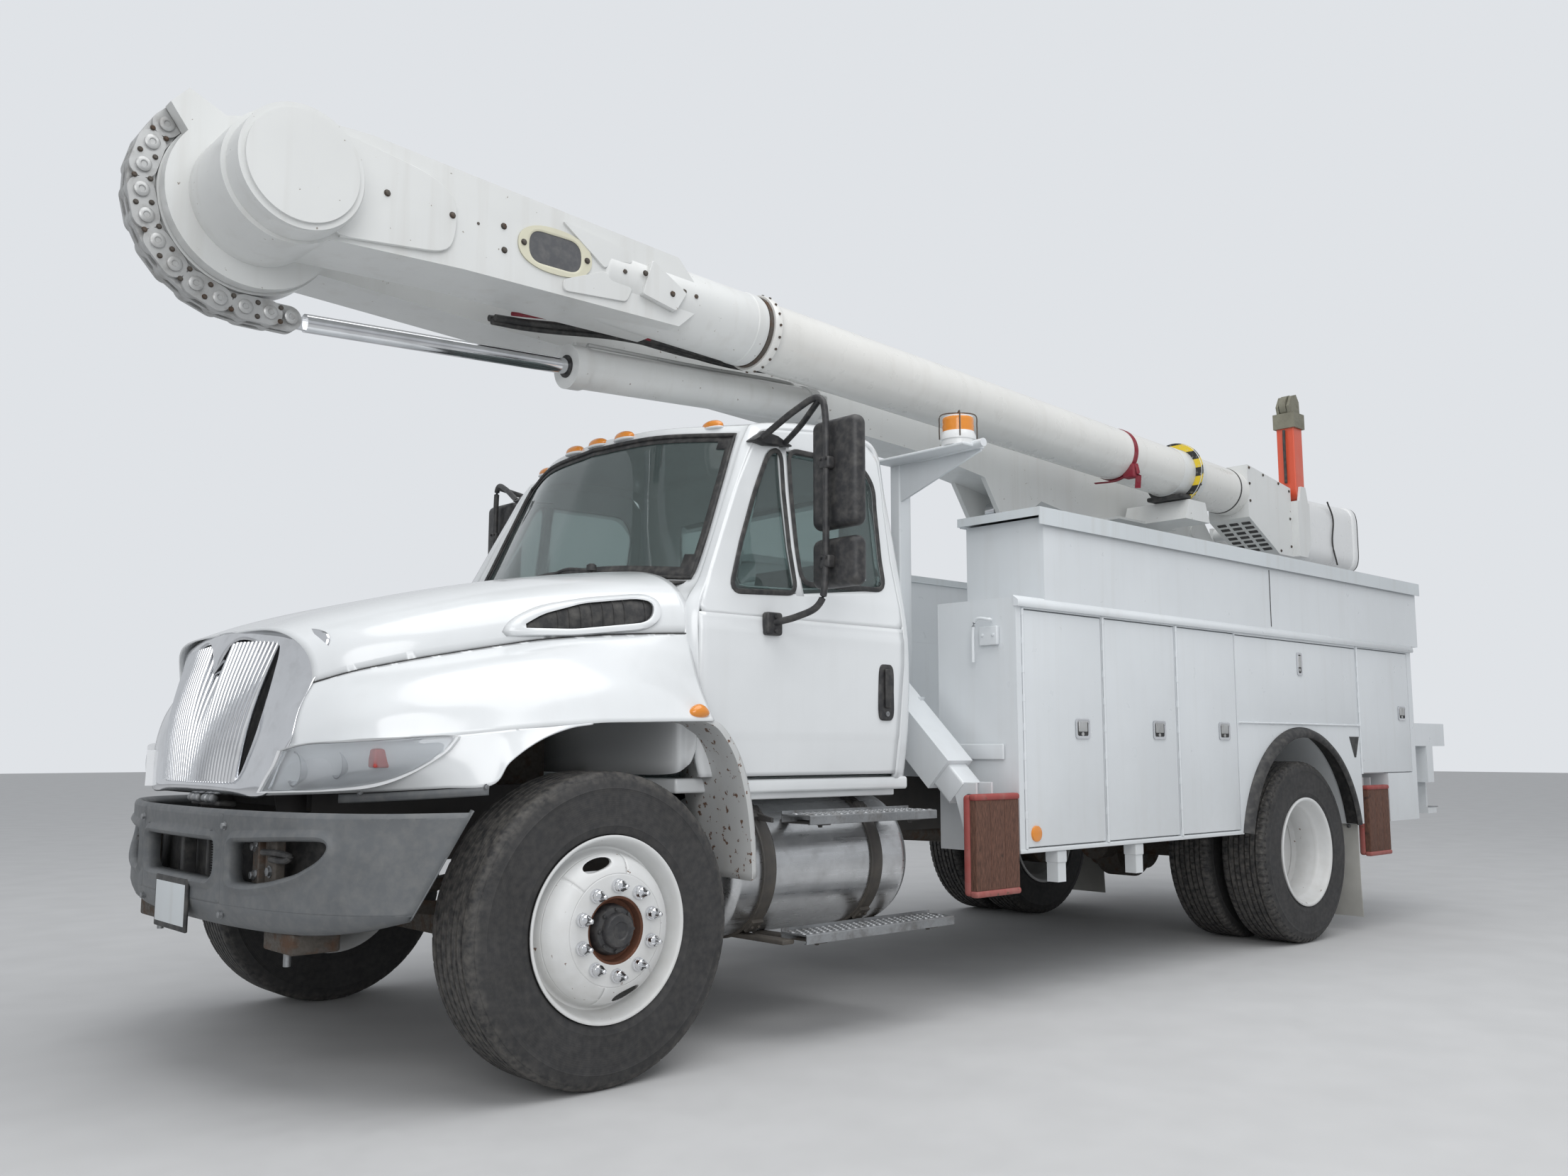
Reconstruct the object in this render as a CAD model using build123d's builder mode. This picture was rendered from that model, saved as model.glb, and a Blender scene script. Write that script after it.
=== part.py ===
from build123d import *
import math
import os

# Cherry picker truck: a two axle conventional truck with a utility body and an
# articulating aerial boom folded over the cab. Millimetres, +X forward, +Y to
# the truck's left, +Z up, origin on the ground under the middle of the truck.

os.makedirs("parts", exist_ok=True)

# Driving dimensions
WHEELBASE = 4800
REAR = -WHEELBASE
FRONT_AXLE_X = 3085
TYRE_RADIUS = 510
TYRE_WIDTH = 270
FRONT_TRACK_HALF = 1035
DUAL_CENTRES = (745, 1080)
KING_PIN_Y = 905
WHEEL_OFFSET = 167.5
BODY_HALF_WIDTH = 1220
BODY = BODY_HALF_WIDTH
PACK_DEPTH = 450
PACK_FRONT = REAR + 2680
PACK_REAR = REAR - 1570
PACK_BOTTOM = 640
PACK_TOP = 1765
TOP_BOX_TOP = 2150
ARCH_RADIUS = 705
CAB_HALF_WIDTH = 1000
CAB = CAB_HALF_WIDTH
CAB_REAR = -1660
CAB_ROOF = 2470
CAB_WALL = 30
RAIL_Y = 430
RAIL_TOP = 960
RAIL_DEPTH = 260
TURNTABLE_X = REAR - 1000
LOWER_BOOM_Y = -190
UPPER_BOOM_Y = 300
PIVOT_Z = 2620
ELBOW = (880, 3050)
CHAIN_Y = 40
CHAIN_RADIUS = 372
LINK_PITCH = 14
LINK_WIDTH = 92
BOOM_SLOPE = 2.3
HOOD_PIVOT = (860, 953)
DOOR_PIVOT = (-503, CAB_HALF_WIDTH + 5)
DOOR_HINGES = (1200, 1480)
BUCKET_PIVOT = (REAR - 2250, 2690)
BUCKET_ARM_Y = -195
JIB_BASE = (REAR - 1675, 415, 2925)
OUTRIGGER_ANGLE = 44
LEG_STATIONS = (-1950, REAR - 935)
LEG_TOP_Y = BODY_HALF_WIDTH - 460
LEG_TOP_Z = {LEG_STATIONS[0]: 1190, LEG_STATIONS[1]: 1155}
LEG_HALF = 62
HINGE_PIN = 5

# Named clearances
DOOR_GAP = 5
RUNNING = 0.4

F = FRONT_AXLE_X
AXLE_Z = TYRE_RADIUS


def box(x0, x1, y0, y1, z0, z1, mode=Mode.ADD):
    """Block between two corners, X measured from the front axle."""
    with Locations(((x0 + x1) / 2 + F, (y0 + y1) / 2, (z0 + z1) / 2)):
        Box(abs(x1 - x0), abs(y1 - y0), abs(z1 - z0), mode=mode)


def side_plate(points, y0, y1, mode=Mode.ADD, radius=0):
    """Profile in X and Z, X from the front axle, between two values of Y."""
    low, high = min(y0, y1), max(y0, y1)
    with BuildSketch(Plane.XZ.offset(-high)) as profile:
        with BuildLine():
            Polyline(*[(x + F, z) for x, z in points], close=True)
        make_face()
        if radius:
            fillet(profile.vertices(), radius=radius)
    extrude(profile.sketch, amount=high - low, mode=mode)


def front_plate(points, x0, x1, mode=Mode.ADD, radius=0):
    """Profile in Y and Z between two values of X from the front axle."""
    low, high = min(x0, x1), max(x0, x1)
    with BuildSketch(Plane.YZ.offset(low + F)) as profile:
        with BuildLine():
            Polyline(*points, close=True)
        make_face()
        if radius:
            fillet(profile.vertices(), radius=radius)
    extrude(profile.sketch, amount=high - low, mode=mode)


def plan_plate(points, z0, z1, mode=Mode.ADD, radius=0):
    """Profile in X and Y, X from the front axle, between two heights."""
    with BuildSketch(Plane.XY.offset(z0)) as profile:
        with BuildLine():
            Polyline(*[(x + F, y) for x, y in points], close=True)
        make_face()
        if radius:
            fillet(profile.vertices(), radius=radius)
    extrude(profile.sketch, amount=z1 - z0, mode=mode)


def cross_rod(x, z, radius, y0, y1, mode=Mode.ADD, hole=0):
    """Cylinder along Y at a side view point, X from the front axle."""
    low, high = min(y0, y1), max(y0, y1)
    with BuildSketch(Plane.XZ.offset(-high)) as disc:
        with Locations((x + F, z)):
            Circle(radius)
            if hole:
                Circle(hole, mode=Mode.SUBTRACT)
    extrude(disc.sketch, amount=high - low, mode=mode)


def bar_between(start, end, radius, mode=Mode.ADD, hole=0):
    """Round bar between two points, X from the front axle."""
    a = Vector(start[0] + F, start[1], start[2])
    b = Vector(end[0] + F, end[1], end[2])
    with BuildSketch(Plane(origin=a, z_dir=b - a)) as disc:
        Circle(radius)
        if hole:
            Circle(hole, mode=Mode.SUBTRACT)
    extrude(disc.sketch, amount=(b - a).length, mode=mode)


def save(piece, label):
    """Labels a finished piece and writes its file."""
    piece.part.label = label
    export_step(piece.part, f"parts/{label}.step")


# Chassis

def frame_rails():
    """Two channel rails with cross members and the battery box on the right."""
    with BuildPart() as rails:
        for side in (1, -1):
            box(REAR - 1530, 700, side * (RAIL_Y - 80), side * RAIL_Y, RAIL_TOP - RAIL_DEPTH,
                RAIL_TOP)
            box(REAR - 1540, 710, side * (RAIL_Y - 90), side * (RAIL_Y - 10),
                RAIL_TOP - RAIL_DEPTH + 12, RAIL_TOP - 12, mode=Mode.SUBTRACT)
        for x in (620, -1750, REAR + 2100, REAR + 1100, REAR + 500, REAR - 500, REAR - 1480):
            box(x - 30, x + 30, -RAIL_Y + 10, RAIL_Y - 10, RAIL_TOP - 70, RAIL_TOP - 12)
        for side in (1, -1):
            side_plate([(690, 760), (690, 962), (HOOD_PIVOT[0], 962), (HOOD_PIVOT[0], 946),
                        (800, 946), (760, 760)], side * 352, side * 364)
            cross_rod(HOOD_PIVOT[0], HOOD_PIVOT[1], 9.3, side * 352, side * 364)
            cross_rod(HOOD_PIVOT[0], HOOD_PIVOT[1], 6 + RUNNING, side * 350, side * 366,
                      mode=Mode.SUBTRACT)
        box(-1650, -700, -RAIL_Y, -RAIL_Y - 40, 560, 900)
        box(-1620, -730, -RAIL_Y - 40, -1000, 520, 780)
    save(rails, "frame_rails")


def leaf_spring(x, y, z, half_length, leaves, eye_z):
    """Stack of arched leaves standing on edge along X."""
    for leaf in range(leaves):
        reach = half_length * (1 - 0.16 * leaf)
        side_plate([(x - reach, z + 90 * reach / half_length - 12 * leaf),
                    (x, z - 12 * leaf),
                    (x + reach, z + 90 * reach / half_length - 12 * leaf),
                    (x + reach, z + 90 * reach / half_length + 12 - 12 * leaf),
                    (x, z + 12 - 12 * leaf),
                    (x - reach, z + 90 * reach / half_length + 12 - 12 * leaf)],
                   y - 38, y + 38)
    for end in (-1, 1):
        cross_rod(x + end * half_length, z + 96, 28, y - 38, y + 38)
        side_plate([(x + end * half_length - 45, z + 70), (x + end * half_length + 45, z + 70),
                    (x + end * half_length + 60, eye_z), (x + end * half_length - 60, eye_z)],
                   y - 46, y - 38)


def front_axle():
    """Dropped beam with leaf springs and the king pin eyes."""
    with BuildPart() as axle:
        front_plate([(-862.6, 560), (-800, 560), (-560, 470), (560, 470), (800, 560), (862.6, 560),
                     (862.6, 470), (790, 440), (560, 390), (-560, 390), (-790, 440), (-862.6, 470)],
                    -50, 50)
        for side in (1, -1):
            leaf_spring(0, side * 390, 510, 620, 4, RAIL_TOP - RAIL_DEPTH)
            box(-60, 60, side * 352, side * 428, 470, 476)
    save(axle, "front_axle")


def rear_axle():
    """Banjo housing with drums and heavy leaf springs."""
    with BuildPart() as axle:
        for radius, reach in ((215, 85), (160, 170), (75, 610), (60, 872)):
            cross_rod(-WHEELBASE, AXLE_Z, radius, -reach, reach)
        bar_between((-WHEELBASE, 0, AXLE_Z + 15), (-WHEELBASE + 330, 0, AXLE_Z + 15), 110)
        for side in (1, -1):
            leaf_spring(-WHEELBASE, side * 390, 570, 700, 5, RAIL_TOP - RAIL_DEPTH)
            cross_rod(-WHEELBASE, AXLE_Z, 175, side * 600, side * 780)
    save(axle, "rear_axle")


def engine():
    """Engine, gearbox and propeller shaft, with the radiator at the front."""
    with BuildPart() as unit:
        box(-330, 420, -230, 230, 720, 1250)
        box(-300, 380, -130, 130, 1250, 1400)
        box(430, 470, -330, 330, 860, 1360)
        cross_rod(380, 1050, 60, -300, -230)
        bar_between((420, 0, 1050), (430, 0, 1050), 200)
        front_plate([(-190, 660), (190, 660), (190, 860), (110, 940), (-110, 940), (-190, 860)],
                    -1100, -330)
        bar_between((-1100, 0, 780), (-WHEELBASE + 290, 0, AXLE_Z + 15), 48)
        box(-WHEELBASE, -WHEELBASE + 330, -200, 200, 400, 700, mode=Mode.SUBTRACT)
        for side in (1, -1):
            box(-100, -30, side * 230, side * (RAIL_Y - 10), 780, 840)
    save(unit, "engine")


def bumper():
    """Swept bumper with radiused ends and three openings."""
    outline = [(990, -300), (990, 300), (900, 700), (720, 1000), (490, 1150), (440, 1150),
               (440, 1090), (650, 950), (800, 680), (900, 300), (900, -300), (800, -680),
               (650, -950), (440, -1090), (440, -1150), (490, -1150), (720, -1000), (900, -700)]
    with BuildPart() as bar:
        plan_plate(outline, 520, 905)
        for side in (1, -1):
            front_plate([(side * 1300, 400), (side * 1300, 600), (side * 1000, 600),
                         (side * 640, 505), (side * 500, 400)], 300, 1100, mode=Mode.SUBTRACT)
            front_plate([(side * 430, 640), (side * 470, 820), (side * 980, 840),
                         (side * 1040, 760), (side * 1000, 680)], 300, 1100, mode=Mode.SUBTRACT)
        front_plate([(-270, 680), (270, 680), (240, 800), (-240, 800)], 300, 1100,
                    mode=Mode.SUBTRACT)
        box(986, 994, -155, 155, 490, 640)
        for side in (1, -1):
            box(700, 905, side * 370, side * 425, 740, 890)
            cross_rod(0, AXLE_Z, 600, side * 700, side * 1300, mode=Mode.SUBTRACT)
    save(bar, "bumper")


def fuel_tank():
    """Round tank on the left with two straps and a filler cap."""
    with BuildPart() as tank:
        bar_between((-1650, 740, 640), (-645, 740, 640), 270)
        fillet(tank.edges().filter_by(GeomType.CIRCLE), radius=18)
        for x in (-840, -1430):
            bar_between((x - 30, 740, 640), (x + 30, 740, 640), 276)
        bar_between((-700, 860, 860), (-700, 905, 925), 42)
        for x in (-840, -1430):
            box(x - 35, x + 35, RAIL_Y, 560, 560, 900)
    save(tank, "fuel_tank")


def cab_steps():
    """Galvanised steps below the doors, on hangers from the rails."""
    with BuildPart() as steps:
        for side in (1, -1):
            box(-1600, -900, side * (CAB + 30), side * (CAB + 190), 820, 850)
            box(-1700, -900, side * (CAB + 60), side * (CAB + 190), 390, 420)
            for x in (-1590, -930):
                box(x - 12, x + 12, side * (CAB + 30), side * (CAB + 50), 390, 960)
                box(x - 12, x + 12, side * (CAB - 60), side * (CAB + 50), 930, 970)
            for x in (-1590, -930):
                box(x - 12, x + 12, side * (CAB + 30), side * (CAB + 190), 385, 395)
    save(steps, "cab_steps")


# Cab

SIDE_VIEW = [(CAB_REAR, 970), (CAB_REAR, CAB_ROOF - 60), (CAB_REAR + 70, CAB_ROOF),
             (-960, CAB_ROOF - 5), (-880, CAB_ROOF - 60), (-460, 1800), (-400, 1720),
             (-400, 1180), (-620, 970)]
FRONT_VIEW = [(CAB, 950), (CAB, 1740), (CAB - 150, CAB_ROOF - 80),
              (CAB - 240, CAB_ROOF - 10), (0, CAB_ROOF + 15), (240 - CAB, CAB_ROOF - 10),
              (150 - CAB, CAB_ROOF - 80), (-CAB, 1740), (-CAB, 950)]
DOOR_VIEW = [(-1540, 990), (-700, 990), (-560, 1180), (-500, 1560), (-520, 1700),
             (-920, 2350), (-1540, 2350)]
WINDOW_VIEW = [(-1460, 1755), (-960, 1755), (-960, 2230), (-985, 2285), (-1460, 2285)]
VENT_VIEW = [(-890, 1700), (-600, 1700), (-890, 2180)]


def cab_solid(inset):
    """Outer form of the cab moved inward by a wall thickness."""
    with BuildPart() as form:
        with BuildSketch(Plane.XZ.offset(-1200)) as side:
            with BuildLine():
                Polyline(*[(x + F, z) for x, z in SIDE_VIEW], close=True)
            make_face()
            if inset:
                offset(amount=-inset, kind=Kind.INTERSECTION)
        extrude(side.sketch, amount=2400)
        with BuildSketch(Plane.YZ.offset(F - 2000)) as front:
            with BuildLine():
                Polyline(*FRONT_VIEW, close=True)
            make_face()
            if inset:
                offset(amount=-inset, kind=Kind.INTERSECTION)
        extrude(front.sketch, amount=2000, mode=Mode.INTERSECT)
    return form.part


def door_zone(outline, side, mode):
    """Space of a door: the lower wall only, and the whole leaning upper wall."""
    upper = [point for point in outline if point[1] > 1600]
    side_plate(outline, side * (CAB - 38), side * (CAB + 100), mode=mode)
    side_plate([(outline[0][0], 1600), (outline[3][0] - 6, 1600)] + upper,
               side * (CAB - 220), side * (CAB + 100), mode=mode)


def hinge_knuckle(side, z0, z1, radius=8, mode=Mode.ADD):
    """One knuckle of a cab door hinge, or the hollow that clears it."""
    with Locations((DOOR_PIVOT[0] + F, side * DOOR_PIVOT[1], (z0 + z1) / 2)):
        Cylinder(radius, z1 - z0, mode=mode)


def cab_shell():
    """Hollow cab with door openings, windscreen and rear window cut through."""
    with BuildPart() as shell:
        add(cab_solid(0))
        add(cab_solid(CAB_WALL), mode=Mode.SUBTRACT)
        for side in (1, -1):
            door_zone(DOOR_VIEW, side, Mode.SUBTRACT)
        windscreen_cut(-1000, -300, Mode.SUBTRACT)
        box(CAB_REAR - 40, CAB_REAR + 60, -600, 600, 1850, 2250, mode=Mode.SUBTRACT)
        for side in (1, -1):
            side_plate([(-420, 1200), (-590, 970), (-570, 960), (-400, 1180)],
                       side * (CAB - 300), side * (CAB - 40))
            side_plate([(-600, 985), (-632, 420), (-610, 410), (-572, 985)],
                       side * (CAB - 300), side * (CAB + 120))
            for x in (-1600, -700):
                box(x - 25, x + 25, side * 340, side * 440, RAIL_TOP, 971)
            for z in DOOR_HINGES:
                hinge_knuckle(side, z + 40, z + 80 + RUNNING, 8 + RUNNING, Mode.SUBTRACT)
                hinge_knuckle(side, z, z + 40)
                box(DOOR_PIVOT[0], DOOR_PIVOT[0] + 33, side * (CAB - 2), side * (CAB + 10), z,
                    z + 40)
    save(shell, "cab_shell")


def windscreen_cut(x0, x1, mode):
    """Windscreen opening seen from the front."""
    front_plate([(150 - CAB, 1790), (CAB - 150, 1790), (CAB - 225, 2370), (225 - CAB, 2370)], x0,
                x1, mode=mode,
                radius=40)


def screen_openings():
    """Spaces of the windscreen and the rear window."""
    with BuildPart() as openings:
        windscreen_cut(-1000, -300, Mode.ADD)
        box(CAB_REAR - 40, CAB_REAR + 60, -600, 600, 1850, 2250)
    return openings.part


def cab_glass():
    """Windscreen and rear window, set into the openings."""
    openings = screen_openings()
    with BuildPart() as glass:
        add(cab_solid(12))
        add(cab_solid(18), mode=Mode.SUBTRACT)
        add(openings, mode=Mode.INTERSECT)
    save(glass, "cab_glass")


def cab_interior():
    """Two seats, dashboard and steering wheel."""
    with BuildPart() as inside:
        for y in (470, -470):
            box(-1480, -1020, y - 240, y + 240, 1000, 1330)
            side_plate([(-1480, 1330), (-1350, 1330), (-1450, 1900), (-1560, 1900)],
                       y - 230, y + 230)
        side_plate([(-430, 1250), (-430, 1680), (-560, 1680), (-700, 1560), (-700, 1400),
                    (-520, 1380), (-520, 1250)], 180 - CAB, CAB - 180)
        bar_between((-640, 470, 1480), (-830, 470, 1560), 22)
        axis = Plane(origin=(F - 830, 470, 1560), z_dir=(-190, 0, 80))
        with BuildSketch(axis) as ring:
            Circle(215)
            Circle(190, mode=Mode.SUBTRACT)
            Rectangle(400, 40)
            Rectangle(60, 60)
        extrude(ring.sketch, amount=25)
    save(inside, "cab_interior")


def door_blank(outline, side):
    """Whole space of one door."""
    with BuildPart() as blank:
        door_zone(outline, side, Mode.ADD)
    return blank.part


def cab_door(side, name):
    """Door skin and frame with window and vent openings and its pull handle."""
    outline = [(-1540 + DOOR_GAP, 990 + DOOR_GAP), (-702, 990 + DOOR_GAP), (-566, 1182),
               (-506, 1560), (-526, 1698), (-923, 2344), (-1540 + DOOR_GAP, 2344)]
    with BuildPart() as door:
        add(cab_solid(0))
        add(cab_solid(CAB_WALL), mode=Mode.SUBTRACT)
        add(door_blank(outline, side), mode=Mode.INTERSECT)
        side_plate(WINDOW_VIEW, -1100, 1100, mode=Mode.SUBTRACT)
        side_plate(VENT_VIEW, -1100, 1100, mode=Mode.SUBTRACT)
        for z in DOOR_HINGES:
            hinge_knuckle(side, z - RUNNING, z + 40 + RUNNING, 8 + RUNNING, Mode.SUBTRACT)
            hinge_knuckle(side, z + 40 + RUNNING, z + 80)
            box(-590, DOOR_PIVOT[0], side * CAB, side * (CAB + 10), z + 40 + RUNNING, z + 80)
        side_plate([(-1505, 1440), (-1330, 1440), (-1330, 1490), (-1505, 1490)],
                   side * (CAB - 1), side * (CAB + 22))
    save(door, name)


def side_openings(side):
    """Spaces of one door's window and vent."""
    with BuildPart() as openings:
        side_plate(WINDOW_VIEW, side * (CAB - 220), side * (CAB + 100))
        side_plate(VENT_VIEW, side * (CAB - 220), side * (CAB + 100))
    return openings.part


def door_glass(side, name):
    """Side window and vent window."""
    openings = side_openings(side)
    with BuildPart() as glass:
        add(cab_solid(12))
        add(cab_solid(17), mode=Mode.SUBTRACT)
        add(openings, mode=Mode.INTERSECT)
    save(glass, name)


def mirror(side, name):
    """Flat and wide angle mirror heads on a bent tubular arm."""
    with BuildPart() as arm:
        box(-1010, -950, side * (CAB + 110), side * (CAB + 370), 1935, 2370)
        box(-1010, -950, side * (CAB + 110), side * (CAB + 350), 1710, 1900)
        bar_between((-980, side * (CAB + 220), 1690), (-980, side * (CAB + 220), 2440), 14)
        bar_between((-980, side * (CAB + 226), 2430), (-850, side * (CAB - 120), 2290), 14)
        bar_between((-980, side * (CAB + 226), 1700), (-830, side * (CAB + 1), 1590), 14)
        box(-870, -790, side * CAB, side * (CAB + 12), 1540, 1640)
        bar_between((-850, side * (CAB - 160), 2290), (-850, side * (CAB - 95), 2290), 30)
        add(cab_solid(0), mode=Mode.SUBTRACT)
    save(arm, name)


# Hood

def headlamp(side):
    """Swept headlight block."""
    with BuildPart() as lamp:
        plan_plate([(905, side * 660), (700, side * 885), (530, side * 1075),
                    (505, side * 1050), (680, side * 850), (872, side * 655)], 960, 1120)
    return lamp.part


HOOD_SECTIONS = (
    # X, half width, shoulder Z, crown Z, low Z
    (-370, 860, 1590, 1770, 1000),
    (300, 760, 1530, 1668, 1000),
    (830, 600, 1440, 1530, 1000),
)


def hood_body(inset):
    """Tapering hood moved inward by a wall thickness."""
    with BuildPart() as form:
        for x, half, shoulder, crown, low in HOOD_SECTIONS:
            with BuildSketch(Plane.YZ.offset(x + F)):
                with BuildLine():
                    Polyline((half - inset, low), (half - inset, shoulder - inset),
                             (half * 0.82 - inset * 0.7, crown - 25 - inset),
                             (0, crown - inset),
                             (-half * 0.82 + inset * 0.7, crown - 25 - inset),
                             (-half + inset, shoulder - inset), (-half + inset, low),
                             close=True)
                make_face()
        loft(ruled=True)
    return form.part


def wing_plan(side, inset):
    """Wing as it is seen from above."""
    with BuildPart() as plan:
        plan_plate([(-400, 500 * side), (-400, (1150 - inset) * side),
                    (420, (1150 - inset) * side), (520, (1060 - inset) * side),
                    (690, (860 - inset) * side), (870 - inset, (640 - inset) * side),
                    (870 - inset, 500 * side)], 800, 1600)
    return plan.part


def wing(side, inset):
    """Front wing moved inward by a wall thickness."""
    plan = wing_plan(side, inset)
    low = 860 if inset else 940
    with BuildPart() as form:
        side_plate([(-370 + inset, low + 60), (-370 + inset, 1485 - inset),
                    (450, 1300 - inset), (640, 1210 - inset), (880 - inset, 1130),
                    (880 - inset, low), (470, low)], side * 500, side * (1150 - inset))
        add(plan, mode=Mode.INTERSECT)
    return form.part


def hood():
    """Tilting hood and front wings in one hollow moulding."""
    with BuildPart() as shell:
        add(hood_body(0))
        for side in (1, -1):
            add(wing(side, 0))
        add(hood_body(25), mode=Mode.SUBTRACT)
        for side in (1, -1):
            add(wing(side, 25), mode=Mode.SUBTRACT)
            cross_rod(-20, AXLE_Z, 670, side * 780, side * 1300, mode=Mode.SUBTRACT)
            add(headlamp(side), mode=Mode.SUBTRACT)
        box(800, 900, -420, 420, 985, 1425, mode=Mode.SUBTRACT)
        box(-380, -330, -790, 790, 990, 1010, mode=Mode.SUBTRACT)
    save(shell, "hood")


def grille():
    """Chrome surround with a lattice of upright and level bars."""
    outer = [(-650, 1480), (650, 1480), (650, 1150), (520, 940), (-520, 940), (-650, 1150)]
    inner = [(-440, 1425), (440, 1425), (342, 985), (-342, 985)]
    with BuildPart() as lattice:
        front_plate(outer, 870, 900)
        front_plate(inner, 860, 910, mode=Mode.SUBTRACT)
        for index in range(9):
            y = -340 + 85 * index
            spread = abs(y) - 330
            low = 985 if spread < 0 else 985 + spread * 4.5
            box(876, 896, y - 8, y + 8, low - 6, 1431)
        for z in (1095, 1205, 1315):
            half = 342 + (z - 985) / 440 * 98
            box(874, 890, -half - 4, half + 4, z - 9, z + 9)
        for side in (1, -1):
            box(852, 870, side * 366, side * 378, 944, 962)
            cross_rod(HOOD_PIVOT[0], HOOD_PIVOT[1], 6, side * 350, side * 366)
    save(lattice, "grille")


def headlights():
    """Swept headlights at the wing corners."""
    with BuildPart() as lamps:
        for side in (1, -1):
            add(headlamp(side))
    save(lamps, "headlights")


# Wheels

def steel_wheel(x, centres, name, side):
    """Dished steel wheel, or two back to back, with hub, nuts and hand holes."""
    seat = centres[0] + WHEEL_OFFSET
    nut_base = seat + (14 if len(centres) > 1 else 0)
    with BuildPart() as wheel:
        for centre, facing in zip(centres, (1, -1)):
            with BuildSketch(Plane.XY.offset(AXLE_Z)) as half:
                with BuildLine():
                    Polyline(*[(x + F + r, side * (centre + facing * w)) for r, w in RIM],
                             close=True)
                make_face()
            revolve(half.sketch, axis=Axis((x + F, 0, AXLE_Z), (0, 1, 0)))
        cross_rod(x, AXLE_Z, 96, side * (seat - 40), side * (nut_base + 70))
        cross_rod(x, AXLE_Z, 62, side * (nut_base + 70), side * (nut_base + 100))
        for index in range(10):
            turn = math.radians(36 * index)
            cross_rod(x + 142 * math.cos(turn), AXLE_Z + 142 * math.sin(turn), 17,
                      side * (seat - 2), side * (nut_base + 45))
        for turn in (math.radians(90), math.radians(270)):
            cross_rod(x + 208 * math.cos(turn), AXLE_Z + 208 * math.sin(turn), 25,
                      side * (seat - 90), side * (seat + 90), mode=Mode.SUBTRACT)
    save(wheel, name)


RIM = [(290, -130), (302, -130), (302, -118), (286, -112), (262, -60), (262, 60), (286, 112),
       (302, 118), (302, 130), (290, 130), (274, 114), (252, 74), (216, 150),
       (172, WHEEL_OFFSET), (90, WHEEL_OFFSET), (90, 154), (166, 154), (204, 138),
       (238, 66), (251, 40), (251, -60), (274, -112)]
TREAD = [(302, -118), (330, -132), (420, -135), (480, -128), (505, -112), (510, -100),
         (510, -70), (499, -70), (499, -58), (510, -58), (510, -6), (499, -6), (499, 6),
         (510, 6), (510, 58), (499, 58), (499, 70), (510, 70), (510, 100), (505, 112),
         (480, 128), (420, 135), (330, 132), (302, 118), (286, 112), (262, 60),
         (262, -60), (286, -112)]


def tyre(x, centres, name, side):
    """Tyre section turned about the axle, with three tread grooves."""
    with BuildPart() as rubber:
        for centre in centres:
            with BuildSketch(Plane.XY.offset(AXLE_Z)) as half:
                with BuildLine():
                    Polyline(*[(x + F + r, side * (centre + w)) for r, w in TREAD], close=True)
                make_face()
            revolve(half.sketch, axis=Axis((x + F, 0, AXLE_Z), (0, 1, 0)))
    save(rubber, name)


def knuckle(side, name):
    """Steering knuckle: king pin boss, drum, spindle and steering arm."""
    seat = FRONT_TRACK_HALF + WHEEL_OFFSET
    with BuildPart() as piece:
        with Locations((F, side * KING_PIN_Y, AXLE_Z)):
            Cylinder(42, 180)
        cross_rod(0, AXLE_Z, 110, side * KING_PIN_Y, side * (KING_PIN_Y + 120))
        cross_rod(0, AXLE_Z, 45, side * KING_PIN_Y, side * (seat - 40.4))
        box(-230, 0, side * (KING_PIN_Y - 30), side * (KING_PIN_Y - 5), 420, 452)
    save(piece, name)


# Utility body

DOORS = (
    # name, X rear, X front, Z low, Z high, latch X, latch Z
    ("1", REAR + 2024, REAR + 2637, 665, 1710, REAR + 2193, 1185),
    ("2", REAR + 1370, REAR + 2010, 665, 1710, REAR + 1535, 1185),
    ("3", REAR + 760, REAR + 1355, 665, 1710, REAR + 897, 1185),
    ("4", REAR - 730, REAR + 740, 1235, 1705, REAR + 10, 1580),
    ("5", REAR - 1500, REAR - 745, 945, 1710, REAR - 1380, 1320),
)


def pack_outline():
    """Side view of a pack, with the wheel arch and the outrigger cut out."""
    return [(PACK_FRONT, PACK_BOTTOM), (PACK_FRONT, PACK_TOP), (PACK_REAR, PACK_TOP),
            (PACK_REAR, PACK_BOTTOM), (REAR - 1125, PACK_BOTTOM), (REAR - 1125,
                                                                   940), (REAR - 745, 940),
            (REAR - 745, PACK_BOTTOM)]


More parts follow.
